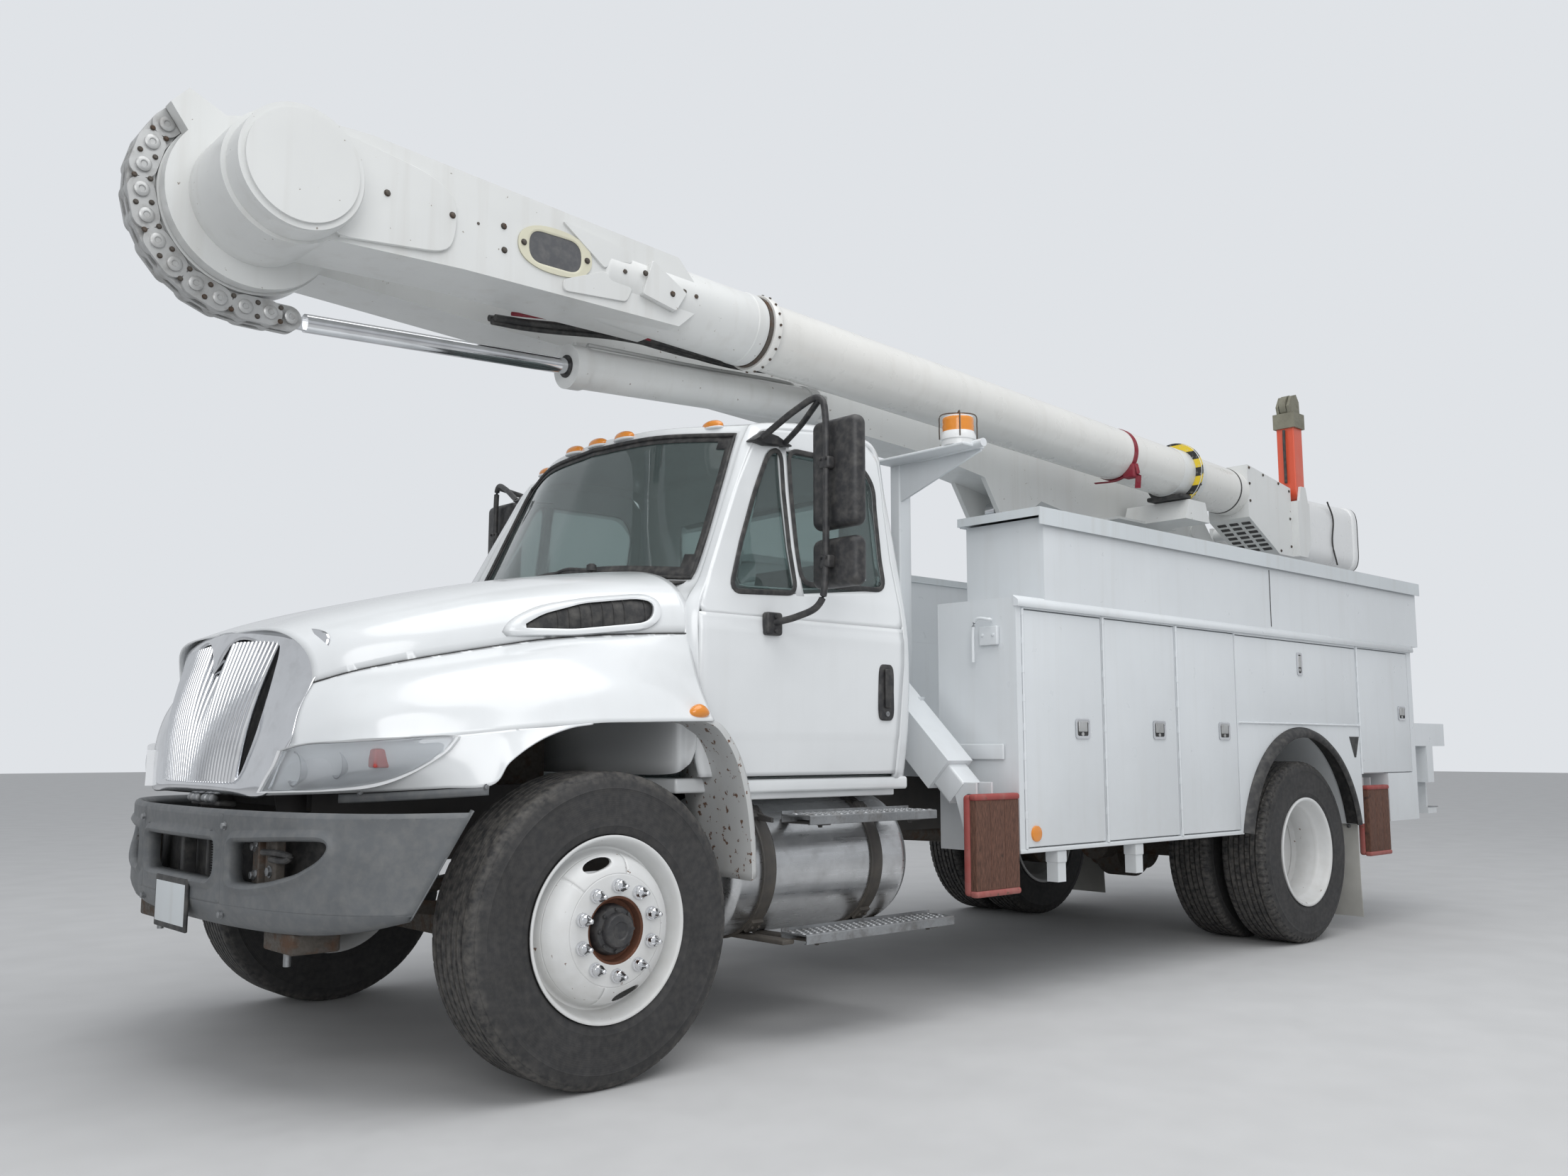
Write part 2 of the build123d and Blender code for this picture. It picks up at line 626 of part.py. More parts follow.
def pack(side, name, opens):
    """Row of steel compartments along one side of the body."""
    outer, inner = side * BODY_HALF_WIDTH, side * (BODY_HALF_WIDTH - PACK_DEPTH)
    with BuildPart() as shell:
        side_plate(pack_outline(), inner, outer)
        cross_rod(REAR + 37, 500, ARCH_RADIUS, inner - side * 20, outer + side * 20,
                  mode=Mode.SUBTRACT)
        for label, rear, front, low, high, latch_x, latch_z in DOORS:
            floor = low + 30
            if label == "4":
                floor = 1255
            box(rear + 30, front - 30, inner + side * 20, outer - side * (0 if opens else 28),
                floor, high - 30, mode=Mode.SUBTRACT)
            if opens:
                box(rear - DOOR_GAP, front + DOOR_GAP, outer - side * 25.4, outer + side * 20,
                    low - DOOR_GAP, high + DOOR_GAP, mode=Mode.SUBTRACT)
            else:
                for x0, x1, z0, z1 in ((rear, front, low, low + 6), (rear, front, high - 6, high),
                                       (rear, rear + 6, low, high), (front - 6, front, low, high)):
                    box(x0, x1, outer - side * 5, outer + side * 5, z0, z1, mode=Mode.SUBTRACT)
        for x in (REAR + 2366, REAR + 1735):
            box(x - 30, x + 30, outer - side * 70, outer - side * 10, 500, 640)
        leg_frame(LEG_STATIONS[1], side, LEG_HALF + 26, -500, 520, mode=Mode.SUBTRACT)
        box(REAR - 1700, REAR + 2460, inner, outer, PACK_TOP + RUNNING, TOP_BOX_TOP)
        for x0, x1 in ((REAR - 1675, REAR + 313), (REAR + 337, REAR + 2435)):
            box(x0, x1, inner + side * 25, outer - side * 25, PACK_TOP + 20, TOP_BOX_TOP + 50,
                mode=Mode.SUBTRACT)
    save(shell, name)


def compartment_doors(side):
    """Five compartment doors with their paddle latches."""
    face = side * BODY_HALF_WIDTH
    for label, rear, front, low, high, latch_x, latch_z in DOORS:
        with BuildPart() as door:
            box(rear, front, face - side * 25, face, low, high)
            box(rear + 60, front - 60, face - side * 30, face - side * 20, low + 60, high - 60,
                mode=Mode.SUBTRACT)
            box(latch_x - 55, latch_x + 55, face - side * 4, face + side * 6, latch_z - 75,
                latch_z + 75)
            hinge_y = face + side * 4
            if label == "4":
                bar_between((rear + 10, hinge_y, low - 1), (front - 10, hinge_y, low - 1),
                            HINGE_PIN)
            else:
                bar_between((front, hinge_y, low + 10), (front, hinge_y, high - 10), HINGE_PIN)
        save(door, f"compartment_door_{label}")


def top_box_lid(side, name):
    """Lid with a turned down lip, hinged along its inner edge."""
    outer, inner = side * BODY_HALF_WIDTH, side * (BODY_HALF_WIDTH - PACK_DEPTH)
    with BuildPart() as lid:
        box(REAR - 1720, REAR + 2515, inner - side * 10, outer + side * 24,
            TOP_BOX_TOP + RUNNING, 2190)
        box(REAR - 1714, REAR + 2509, inner + side * 22, outer + side * 18, 2100, 2184,
            mode=Mode.SUBTRACT)
        box(REAR - 1720, REAR + 2515, outer + side * 18, outer + side * 24, 2110, 2160)
        bar_between((REAR - 1700, inner - side * 5.8, 2151),
                    (REAR + 2495, inner - side * 5.8, 2151),
                    HINGE_PIN)
    save(lid, name)


def arch_trim():
    """Rubber arch flares and mud flaps behind the rear wheels."""
    with BuildPart() as trim:
        for side in (1, -1):
            cross_rod(REAR + 37, 500, ARCH_RADIUS, side * (BODY - 70), side * (BODY + 40),
                      hole=ARCH_RADIUS - 14)
            box(REAR - 900, REAR + 900, side * (BODY - 120), side * (BODY + 80), -400,
                PACK_BOTTOM, mode=Mode.SUBTRACT)
            box(REAR - 700, REAR - 688, side * 610, side * (BODY - 10), 60, PACK_BOTTOM)
    save(trim, "arch_trim")


def subframe():
    """Deck, cross sills and the sloped outrigger sleeves."""
    inner = BODY_HALF_WIDTH - PACK_DEPTH
    with BuildPart() as deck:
        box(PACK_REAR, PACK_FRONT, -inner, inner, 1100, 1112)
        for x in (REAR + 2500, REAR + 1500, REAR + 850, REAR - 820, REAR - 1400):
            box(x - 40, x + 40, -inner, inner, RAIL_TOP, 1100)
        front_plate([(-LEG_TOP_Y, 1330), (LEG_TOP_Y, 1330), (LEG_TOP_Y - 200, RAIL_TOP),
                     (200 - LEG_TOP_Y, RAIL_TOP)],
                    LEG_STATIONS[0] - 84, LEG_STATIONS[0] - 60)
        box(REAR + 2500, LEG_STATIONS[0] - 84, -RAIL_Y, RAIL_Y, RAIL_TOP, RAIL_TOP + 90)
        box(REAR + 2550, REAR + 2610, 420, 480, 1106, 2520)
        bar_between((REAR + 2580, 450, 2500), (REAR + 2656, 1042, 2500), 20)
        bar_between((REAR + 2666, 900, 2500), (REAR + 2666, 900, 2540), 55)
        bar_between((REAR + 2666, 900, 2540), (REAR + 2666, 900, 2640), 72)
        for x in LEG_STATIONS:
            for side in (1, -1):
                leg_frame(x, side, LEG_HALF + 22, -250, 300)
                leg_frame(x, side, LEG_HALF + 0.5, -260, 310, mode=Mode.SUBTRACT)
    save(deck, "subframe")


def leg_frame(x, side, half, start, end, mode=Mode.ADD):
    """Square bar along the sloped outrigger line, by distance from its top."""
    slope = math.radians(OUTRIGGER_ANGLE)
    direction = Vector(0, side * math.cos(slope), -math.sin(slope))
    origin = Vector(x + F, side * LEG_TOP_Y, LEG_TOP_Z[x]) + direction * start
    with BuildSketch(Plane(origin=origin, x_dir=(1, 0, 0), z_dir=direction)) as section:
        Rectangle(2 * half, 2 * half)
    extrude(section.sketch, amount=end - start, mode=mode)


def outrigger_leg(x, side, name):
    """Sliding box leg with its foot plate and timber pad carried upright."""
    foot = LEG_TOP_Z[x] - 500
    with BuildPart() as leg:
        leg_frame(x, side, LEG_HALF, -240, 430)
        leg_frame(x, side, LEG_HALF - 10, -250, 410, mode=Mode.SUBTRACT)
        side_plate([(x - 70, foot + 250), (x + 70, foot + 250), (x + 70, foot + 60),
                    (x - 70, foot + 60)], side * (BODY - 200), side * (BODY - 55))
        box(x - 130, x + 130, side * (BODY - 55), side * (BODY - 20), foot - 190, foot + 190)
        box(x - 150, x + 150, side * (BODY - 20), side * (BODY + 20), foot - 210, foot + 210)
    save(leg, name)


def tail_shelf():
    """Rear step bumper with light panel and grab post."""
    with BuildPart() as tail:
        box(REAR - 2110, PACK_REAR, 20 - BODY, BODY - 20, 1110, 1125)
        for side in (1, -1):
            box(REAR - 2110, PACK_REAR, side * (BODY - 35), side * (BODY - 20), 1125, 1260)
        box(REAR - 2110, REAR - 2095, 20 - BODY, BODY - 20, 1125, 1260)
        box(REAR - 1900, REAR - 1800, 20 - BODY, BODY - 20, 870, 1110)
        box(REAR - 1800, REAR - 1530, -430, 430, 760, 950)
        box(REAR - 2040, REAR - 1900, 70 - BODY, BODY - 70, 660, 700)
        for side in (1, -1):
            box(REAR - 1920, REAR - 1900, side * (BODY - 140), side * (BODY - 80), 700, 900)
            for z in (1067, 928):
                bar_between((REAR - 1915, side * (BODY - 100), z),
                            (REAR - 1900, side * (BODY - 100), z), 48)
    save(tail, "tail_shelf")


# Boom

def boom_line(x):
    """Height of the lower boom's centre line."""
    return ELBOW[1] + (x - ELBOW[0]) * 0.044


def pedestal():
    """Column with the slewing bearing's fixed ring."""
    with BuildPart() as column:
        front_plate([(-380, 1112), (380, 1112), (300, 2080), (-300, 2080)],
                    TURNTABLE_X - 280, TURNTABLE_X + 280)
        with Locations((TURNTABLE_X + F, 0, 2105)):
            Cylinder(360, 50)
    save(column, "pedestal")


def turntable():
    """Turning base with two cheeks for the boom pivot."""
    with BuildPart() as table:
        with Locations((TURNTABLE_X + F, 0, 2155)):
            Cylinder(360, 49)
        side_profile = [(REAR - 1380, 2179), (REAR - 480, 2179), (REAR - 380, 2260),
                        (REAR - 380, 2380),
                        (REAR - 800, 2700), (REAR - 900, 2770), (REAR - 1100,
                                                                 2770), (REAR - 1300, 2560)]
        for y0, y1 in ((LOWER_BOOM_Y - 190, LOWER_BOOM_Y - 165), (LOWER_BOOM_Y + 165,
                       LOWER_BOOM_Y + 190)):
            side_plate(side_profile, y0, y1)
        box(REAR - 1300, REAR - 450, LOWER_BOOM_Y - 170, LOWER_BOOM_Y + 170, 2179, 2210)
        cross_rod(TURNTABLE_X, PIVOT_Z, 40, LOWER_BOOM_Y - 200, LOWER_BOOM_Y + 200)
        cross_rod(REAR - 470, 2330, 30, LOWER_BOOM_Y - 170, LOWER_BOOM_Y + 170)
    save(table, "turntable")


def lower_boom():
    """Tapered box boom with its base weldment, lift leg and boom rest."""
    y0, y1 = LOWER_BOOM_Y - 130, LOWER_BOOM_Y + 130
    with BuildPart() as boom:
        side_plate([(700, boom_line(700) + 115), (REAR + 1750, boom_line(REAR + 1750) + 115),
                    (REAR + 1750, boom_line(REAR + 1750) - 115), (700,
                                                                  boom_line(700) - 115)], y0, y1)
        side_plate([(REAR + 1750, boom_line(REAR + 1750) + 115), (REAR - 1100, 2860),
                    (REAR - 1130, 2560),
                    (REAR - 900, 2540), (REAR + 200, 2560), (REAR + 1300,
                                                             boom_line(REAR + 1300) - 150),
                    (REAR + 1750, boom_line(REAR + 1750) - 115)], y0, y1)
        side_plate([(REAR + 1300, boom_line(REAR + 1300) - 100),
                    (REAR + 550, boom_line(REAR + 550) - 100),
                    (REAR + 900, 2500), (REAR + 1120, 2500)], y0, y0 + 30)
        side_plate([(REAR + 1300, boom_line(REAR + 1300) - 100),
                    (REAR + 550, boom_line(REAR + 550) - 100),
                    (REAR + 900, 2500), (REAR + 1120, 2500)], y1 - 30, y1)
        cross_rod(TURNTABLE_X, PIVOT_Z, 40 + RUNNING, y0 - 10, y1 + 10, mode=Mode.SUBTRACT)
        cross_rod(ELBOW[0], ELBOW[1], 250, y0, y1)
        cross_rod(ELBOW[0], ELBOW[1], 60 + RUNNING, y0 - 10, y1 + 10, mode=Mode.SUBTRACT)
        box(REAR - 550, REAR + 150, y1, 140, 2560, 2575)
        side_plate([(REAR - 150, 2560), (REAR - 450, 2560), (REAR - 400, 2690),
                    (REAR - 200, 2690)], y1 + 40, 440)
    save(boom, "lower_boom")


def lift_cylinder():
    """Barrel pinned to the turntable and the rod with its open eye."""
    base, tip = Vector(REAR - 470, 0, 2330), Vector(REAR + 1010, 0, 2545)
    run = (tip - base).normalized()
    barrel_end = base + run * 1180
    with BuildPart() as barrel:
        bar_between(((base + run * 60).X, LOWER_BOOM_Y, (base + run * 60).Z),
                    (barrel_end.X, LOWER_BOOM_Y, barrel_end.Z), 62)
        bar_between(((base + run * 110).X, LOWER_BOOM_Y, (base + run * 110).Z),
                    ((base + run * 1300).X, LOWER_BOOM_Y, (base + run * 1300).Z), 36,
                    mode=Mode.SUBTRACT)
        cross_rod(base.X, base.Z, 70, LOWER_BOOM_Y - 40, LOWER_BOOM_Y + 40)
        cross_rod(base.X, base.Z, 30 + RUNNING, LOWER_BOOM_Y - 50, LOWER_BOOM_Y + 50,
                  mode=Mode.SUBTRACT)
    save(barrel, "lift_barrel")
    with BuildPart() as rod:
        bar_between(((base + run * 400).X, LOWER_BOOM_Y, (base + run * 400).Z),
                    ((base + run * 1460).X, LOWER_BOOM_Y, (base + run * 1460).Z), 35.6)
        cross_rod(tip.X, tip.Z, 50, LOWER_BOOM_Y - 35, LOWER_BOOM_Y + 35, hole=31)
    save(rod, "lift_rod")


def elbow_cylinder():
    """Cylinder that pulls the elbow's link chain."""
    def at(distance):
        return (712 - distance, CHAIN_Y, ELBOW[1] - CHAIN_RADIUS + distance * 0.0584)

    with BuildPart() as barrel:
        bar_between(at(1240), at(2700), 90)
        bar_between(at(1000), at(2620), 36, mode=Mode.SUBTRACT)
        box(-2090, -1915, CHAIN_Y - 30, CHAIN_Y + 30, 2790, 2900)
        box(-2070, -1990, LOWER_BOOM_Y + 130, CHAIN_Y, 2800, 2880)
        box(-700, -620, LOWER_BOOM_Y + 130, CHAIN_Y - 75, 2730, 2900)
    save(barrel, "elbow_barrel")
    with BuildPart() as rod:
        bar_between(at(70), at(1735), 35.2)
        cross_rod(712, ELBOW[1] - CHAIN_RADIUS, 28, CHAIN_Y - 8, CHAIN_Y + 8)
        box(640, 712, CHAIN_Y - 8, CHAIN_Y + 8, ELBOW[1] - CHAIN_RADIUS - 24,
            ELBOW[1] - CHAIN_RADIUS + 24)
        cross_rod(712, ELBOW[1] - CHAIN_RADIUS, 14 + RUNNING, CHAIN_Y - 10, CHAIN_Y + 10,
                  mode=Mode.SUBTRACT)
    save(rod, "elbow_rod")


def elbow_chain():
    """Leaf chain wrapped round the elbow drum: pins and staggered plates."""
    step = CHAIN_RADIUS * math.radians(LINK_PITCH)
    low = ELBOW[1] - CHAIN_RADIUS
    points = [(ELBOW[0] - 2 * step, low), (ELBOW[0] - step, low)]
    points += [(ELBOW[0] + CHAIN_RADIUS * math.cos(math.radians(a)),
                ELBOW[1] + CHAIN_RADIUS * math.sin(math.radians(a)))
               for a in [-90 + LINK_PITCH * k for k in range(11)]]
    points[0] = (712, low)
    with BuildPart() as chain:
        for x, z in points:
            cross_rod(x, z, 14, CHAIN_Y - 52, CHAIN_Y + 52)
        for index, ((xa, za), (xb, zb)) in enumerate(zip(points, points[1:])):
            length = math.hypot(xb - xa, zb - za)
            turn = math.degrees(math.atan2(zb - za, xb - xa))
            layers = ((-48, -34), (-8, 8), (34, 48)) if index % 2 else ((-33, -9), (9, 33))
            for inner, outer in layers:
                with BuildSketch(Plane.XZ.offset(-(CHAIN_Y + outer))) as link:
                    with Locations(Location(((xa + xb) / 2 + F, (za + zb) / 2, 0), turn)):
                        SlotCenterToCenter(length, LINK_WIDTH)
                extrude(link.sketch, amount=outer - inner)
    save(chain, "elbow_chain")


def elbow_drum():
    """Drum that the chain wraps, with the elbow's through shaft."""
    seat = CHAIN_RADIUS * math.cos(math.radians(LINK_PITCH / 2)) - LINK_WIDTH / 2 - 1
    with BuildPart() as drum:
        cross_rod(ELBOW[0], ELBOW[1], seat, CHAIN_Y - 50, CHAIN_Y + 50)
        cross_rod(ELBOW[0], ELBOW[1], 120, CHAIN_Y - 92, CHAIN_Y + 60 - RUNNING)
        cross_rod(ELBOW[0], ELBOW[1], 60, LOWER_BOOM_Y - 160, UPPER_BOOM_Y + 140)
    save(drum, "elbow_drum")


def upper_boom():
    """Steel elbow box of the upper boom with its flange, sleeve, cap and tube socket."""
    y0, y1 = UPPER_BOOM_Y - 150, UPPER_BOOM_Y + 150
    flange = CHAIN_Y + 60
    with BuildPart() as boom:
        side_plate([(880, 3285), (586, 3296), (35, 3259), (-815, 3204), (-906, 3111),
                    (-906, 2974), (-819, 2898), (210, 2890), (743, 2865), (880, 2828)], y0, y1)
        cross_rod(ELBOW[0], ELBOW[1], 235, y0, y1)
        cross_rod(ELBOW[0], ELBOW[1], 315, flange, y0)
        bar_between((-895, UPPER_BOOM_Y, tube_height(-895)),
                    (-1300, UPPER_BOOM_Y, tube_height(-1300)), 165, hole=150)
        side_plate([(560, 3262), (35, 3235), (-800, 3180), (-880, 3100), (-880, 2985),
                    (-805, 2922), (210, 2914), (560, 2900)], y0 + 12, y1 - 12,
                   mode=Mode.SUBTRACT)
        box(-1400, -1300 + RUNNING, y0 - 20, y1 + 20, 2800, 3300, mode=Mode.SUBTRACT)
        cross_rod(ELBOW[0], ELBOW[1], 60 + RUNNING, flange - 10, y1 - 8, mode=Mode.SUBTRACT)
        cross_rod(ELBOW[0], ELBOW[1], 218, y1, y1 + 110)
        cross_rod(ELBOW[0], ELBOW[1], 196, y1 + 110, y1 + 122)
        side_plate([(700, 3262), (330, 3205), (253, 3117), (266, 2996), (330, 2930),
                    (700, 2880)], y1, y1 + 14)
        side_plate([(950, 3240), (1080, 3180), (1190, 3330), (1130, 3400), (930, 3310)],
                   CHAIN_Y + 52 + RUNNING, y0)
        side_plate([(-70, 3120), (-290, 3120), (-335, 3062), (-290, 3005), (-70, 3005),
                    (-45, 3062)], y1 - 20, y1 + 10, mode=Mode.SUBTRACT)
    save(boom, "upper_boom")


def tube_height(x):
    """Height of the upper boom's centre line."""
    return 3030 + (x + 1250) * math.tan(math.radians(BOOM_SLOPE))


def boom_tube():
    """Insulating tube with its strap and the striped collar."""
    with BuildPart() as tube:
        bar_between((-1250, UPPER_BOOM_Y, tube_height(-1250)),
                    (REAR - 990, UPPER_BOOM_Y, tube_height(REAR - 990)), 160, hole=146)
        bar_between((-1290, UPPER_BOOM_Y, tube_height(-1290)),
                    (-1420, UPPER_BOOM_Y, tube_height(-1420)), 178, hole=150)
        bar_between((REAR - 200, UPPER_BOOM_Y, tube_height(REAR - 200)),
                    (REAR - 400, UPPER_BOOM_Y, tube_height(REAR - 400)), 170, hole=150)
        box(REAR - 1100, REAR - 961, 0, 600, 2600, 3200, mode=Mode.SUBTRACT)
        box(-1300, -1000, 0, 600, 2600, 3300, mode=Mode.SUBTRACT)
    save(tube, "boom_tube")


def boom_tip():
    """Hollow head of the upper boom with the jib socket and the bucket's arm."""
    y0, y1 = UPPER_BOOM_Y - 150, UPPER_BOOM_Y + 150
    with BuildPart() as tip:
        side_plate([(REAR - 961, 3030), (REAR - 1580, 2945), (REAR - 1580, 2450),
                    (REAR - 1380, 2450), (REAR - 961, 2665)],
                   y0, y1)
        side_plate([(REAR - 975, 3010), (REAR - 1566, 2930), (REAR - 1566, 2465),
                    (REAR - 1390, 2465), (REAR - 975, 2680)],
                   y0 + 10, y1 - 10, mode=Mode.SUBTRACT)
        bar_between((REAR - 940, UPPER_BOOM_Y, tube_height(REAR - 940)),
                    (REAR - 990, UPPER_BOOM_Y, tube_height(REAR - 990)), 130, mode=Mode.SUBTRACT)
        side_plate([(REAR - 1580, 2450), (REAR - 1580, 2850), (REAR - 1760, 2850),
                    (REAR - 1760, 2550), (REAR - 1700, 2450)],
                   330, 500)
        for y in (JIB_BASE[1] - 85, JIB_BASE[1] + 66):
            side_plate([(REAR - 1740, 2850), (REAR - 1610, 2850), (REAR - 1640, 2960),
                        (REAR - 1710, 2960)], y, y + 19)
        cross_rod(JIB_BASE[0], JIB_BASE[2], 15, JIB_BASE[1] - 70, JIB_BASE[1] + 70)
        cross_rod(REAR - 1680, BUCKET_PIVOT[1], 50, BUCKET_ARM_Y - 25, 335)
        side_plate([(REAR - 1630, 2640), (REAR - 1630, 2740), (REAR - 2300, 2740),
                    (REAR - 2300, 2640)],
                   BUCKET_ARM_Y - 25, BUCKET_ARM_Y)
        cross_rod(BUCKET_PIVOT[0], BUCKET_PIVOT[1], 35, BUCKET_ARM_Y, BUCKET_ARM_Y + 40)
    save(tip, "boom_tip")


def jib():
    """Tilting jib mast with its winch head and sheave."""
    x, y, z = JIB_BASE
    with BuildPart() as mast:
        box(x - 65, x + 65, y - 65, y + 65, z, z + 470)
        fillet(mast.edges().filter_by(Axis.Z), radius=8)
        cross_rod(x, z, 65, y - 65, y + 65)
        box(x - 55, x + 55, y - 55, y + 55, z + 80, z + 480, mode=Mode.SUBTRACT)
        cross_rod(x, z, 15 + RUNNING, y - 70, y + 70, mode=Mode.SUBTRACT)
    save(mast, "jib_mast")
    top = z + 470
    with BuildPart() as head:
        box(x - 80, x + 80, y - 80, y + 80, top, top + 110)
        for offset in (-50, 30):
            side_plate([(x - 75, top + 110), (x + 75, top + 110), (x + 90, top + 160),
                        (x + 40, top + 240), (x - 30, top + 260), (x - 70, top + 210)],
                       y + offset, y + offset + 20)
        cross_rod(x + 10, top + 170, 80, y - 24, y + 24)
        cross_rod(x + 10, top + 170, 18, y - 50, y + 50)
    save(head, "jib_head")


def bucket():
    """Personnel bucket lying on its side, open to the rear."""
    x0, x1 = BUCKET_PIVOT[0] + 430, BUCKET_PIVOT[0] - 400
    with BuildPart() as tub:
        front_plate([(-170, 2435), (440, 2435), (440, 2945), (-170, 2945)], x1, x0, radius=60)
        chamfer(tub.faces().sort_by(Axis.X)[-1].edges(), length=55)
        front_plate([(-155, 2450), (425, 2450), (425, 2930), (-155, 2930)], x1 - 10, x0 - 60,
                    mode=Mode.SUBTRACT, radius=45)
        front_plate([(-182, 2423), (452, 2423), (452, 2957), (-182, 2957)], x1, x1 + 45,
                    radius=70)
        front_plate([(-155, 2450), (425, 2450), (425, 2930), (-155, 2930)], x1 - 10, x1 + 60,
                    mode=Mode.SUBTRACT, radius=45)
        cross_rod(BUCKET_PIVOT[0], BUCKET_PIVOT[1], 35 + RUNNING, -190, -150,
                  mode=Mode.SUBTRACT)
    save(tub, "bucket")


def build_all():
    frame_rails()
    front_axle()
    rear_axle()
    engine()
    bumper()
    fuel_tank()
    cab_steps()
    cab_shell()
    cab_glass()
    cab_interior()
    hood()
    grille()
    headlights()
    for side, word in ((1, "left"), (-1, "right")):
        cab_door(side, f"door_{word}")
        door_glass(side, f"door_glass_{word}")
        mirror(side, f"mirror_{word}")
        knuckle(side, f"knuckle_{word}")
        steel_wheel(0, (FRONT_TRACK_HALF,), f"wheel_front_{word}", side)
        tyre(0, (FRONT_TRACK_HALF,), f"tyre_front_{word}", side)
        steel_wheel(-WHEELBASE, DUAL_CENTRES, f"wheels_rear_{word}", side)
        tyre(-WHEELBASE, DUAL_CENTRES, f"tyres_rear_{word}", side)
        pack(side, f"pack_{word}", side == 1)
        top_box_lid(side, f"top_box_lid_{word}")
        outrigger_leg(LEG_STATIONS[0], side, f"outrigger_front_{word}")
        outrigger_leg(LEG_STATIONS[1], side, f"outrigger_rear_{word}")
    compartment_doors(1)
    arch_trim()
    subframe()
    tail_shelf()
    pedestal()
    turntable()
    lower_boom()
    lift_cylinder()
    elbow_cylinder()
    elbow_chain()
    elbow_drum()
    upper_boom()
    boom_tube()
    boom_tip()
    jib()
    bucket()


build_all()
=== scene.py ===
"""Looks of the cherry picker truck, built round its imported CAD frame.

Every length is in metres in the frame of the CAD model: +X forward, +Y to the truck's left,
+Z up. Stations along the truck are given from the front axle and shifted by FRONT_AXLE.
"""

import logging
import math
from dataclasses import dataclass, field
from enum import Enum

import bmesh
import bpy
import numpy as np
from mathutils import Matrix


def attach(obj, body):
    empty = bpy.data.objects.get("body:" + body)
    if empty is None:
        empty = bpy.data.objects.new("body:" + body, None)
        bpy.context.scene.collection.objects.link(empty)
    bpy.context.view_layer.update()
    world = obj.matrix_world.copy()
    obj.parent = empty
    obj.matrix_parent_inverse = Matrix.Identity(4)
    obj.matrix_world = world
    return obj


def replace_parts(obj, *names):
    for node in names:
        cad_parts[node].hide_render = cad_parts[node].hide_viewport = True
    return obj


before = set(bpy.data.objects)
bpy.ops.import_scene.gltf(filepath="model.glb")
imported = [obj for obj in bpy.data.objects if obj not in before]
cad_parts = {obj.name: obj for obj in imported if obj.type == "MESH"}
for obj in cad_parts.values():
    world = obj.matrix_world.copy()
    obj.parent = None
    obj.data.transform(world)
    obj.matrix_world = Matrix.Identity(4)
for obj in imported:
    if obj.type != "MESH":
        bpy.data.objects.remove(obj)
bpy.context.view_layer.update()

log = logging.getLogger("truck")

FRONT_AXLE = 3.085
REAR_AXLE = FRONT_AXLE - 4.8
AXLE_HEIGHT = 0.51
FRONT_WHEEL_Y = 1.035
TWIN_MIDDLE_Y = 0.9125
TWIN_WHEELS_Y = (1.080, 0.745)
SIDES = ((1, "left"), (-1, "right"))
Colour = tuple[float, float, float]
Point = tuple[float, float, float]
Outline = tuple[tuple[float, float], ...]
Line = list[tuple[float, float]] | Outline | np.ndarray
Path = list[Point] | np.ndarray


class Along(Enum):
    """The axis that a flat shape's thickness or a round shape's centre line runs along."""

    X = 0
    Y = 1
    Z = 2


def station(x: float, y: float, z: float) -> Point:
    """Place of a point whose X is measured from the front axle."""
    return (x + FRONT_AXLE, y, z)


def stations(points: Point | Path, side: int = 1) -> np.ndarray:
    """Places of points whose X is measured from the front axle, mirrored where side is -1."""
    return np.array(points, float) * [1, side, 1] + [FRONT_AXLE, 0, 0]


def closed(rings: np.ndarray) -> np.ndarray:
    """Rings of points, each with its first point repeated at its end."""
    return np.concatenate([rings, rings[:, :1]], 1)


def turned(points: np.ndarray, along: Along) -> np.ndarray:
    """Turns points given as (across, up, along) so that the third number runs on an axis.

    Args:
        points: Array whose last axis holds the three numbers.
        along: Axis that the third number goes to.

    Returns:
        The same points as (x, y, z).
    """
    order = {Along.X: (2, 0, 1), Along.Y: (0, 2, 1), Along.Z: (0, 1, 2)}[along]
    return points[..., list(order)]


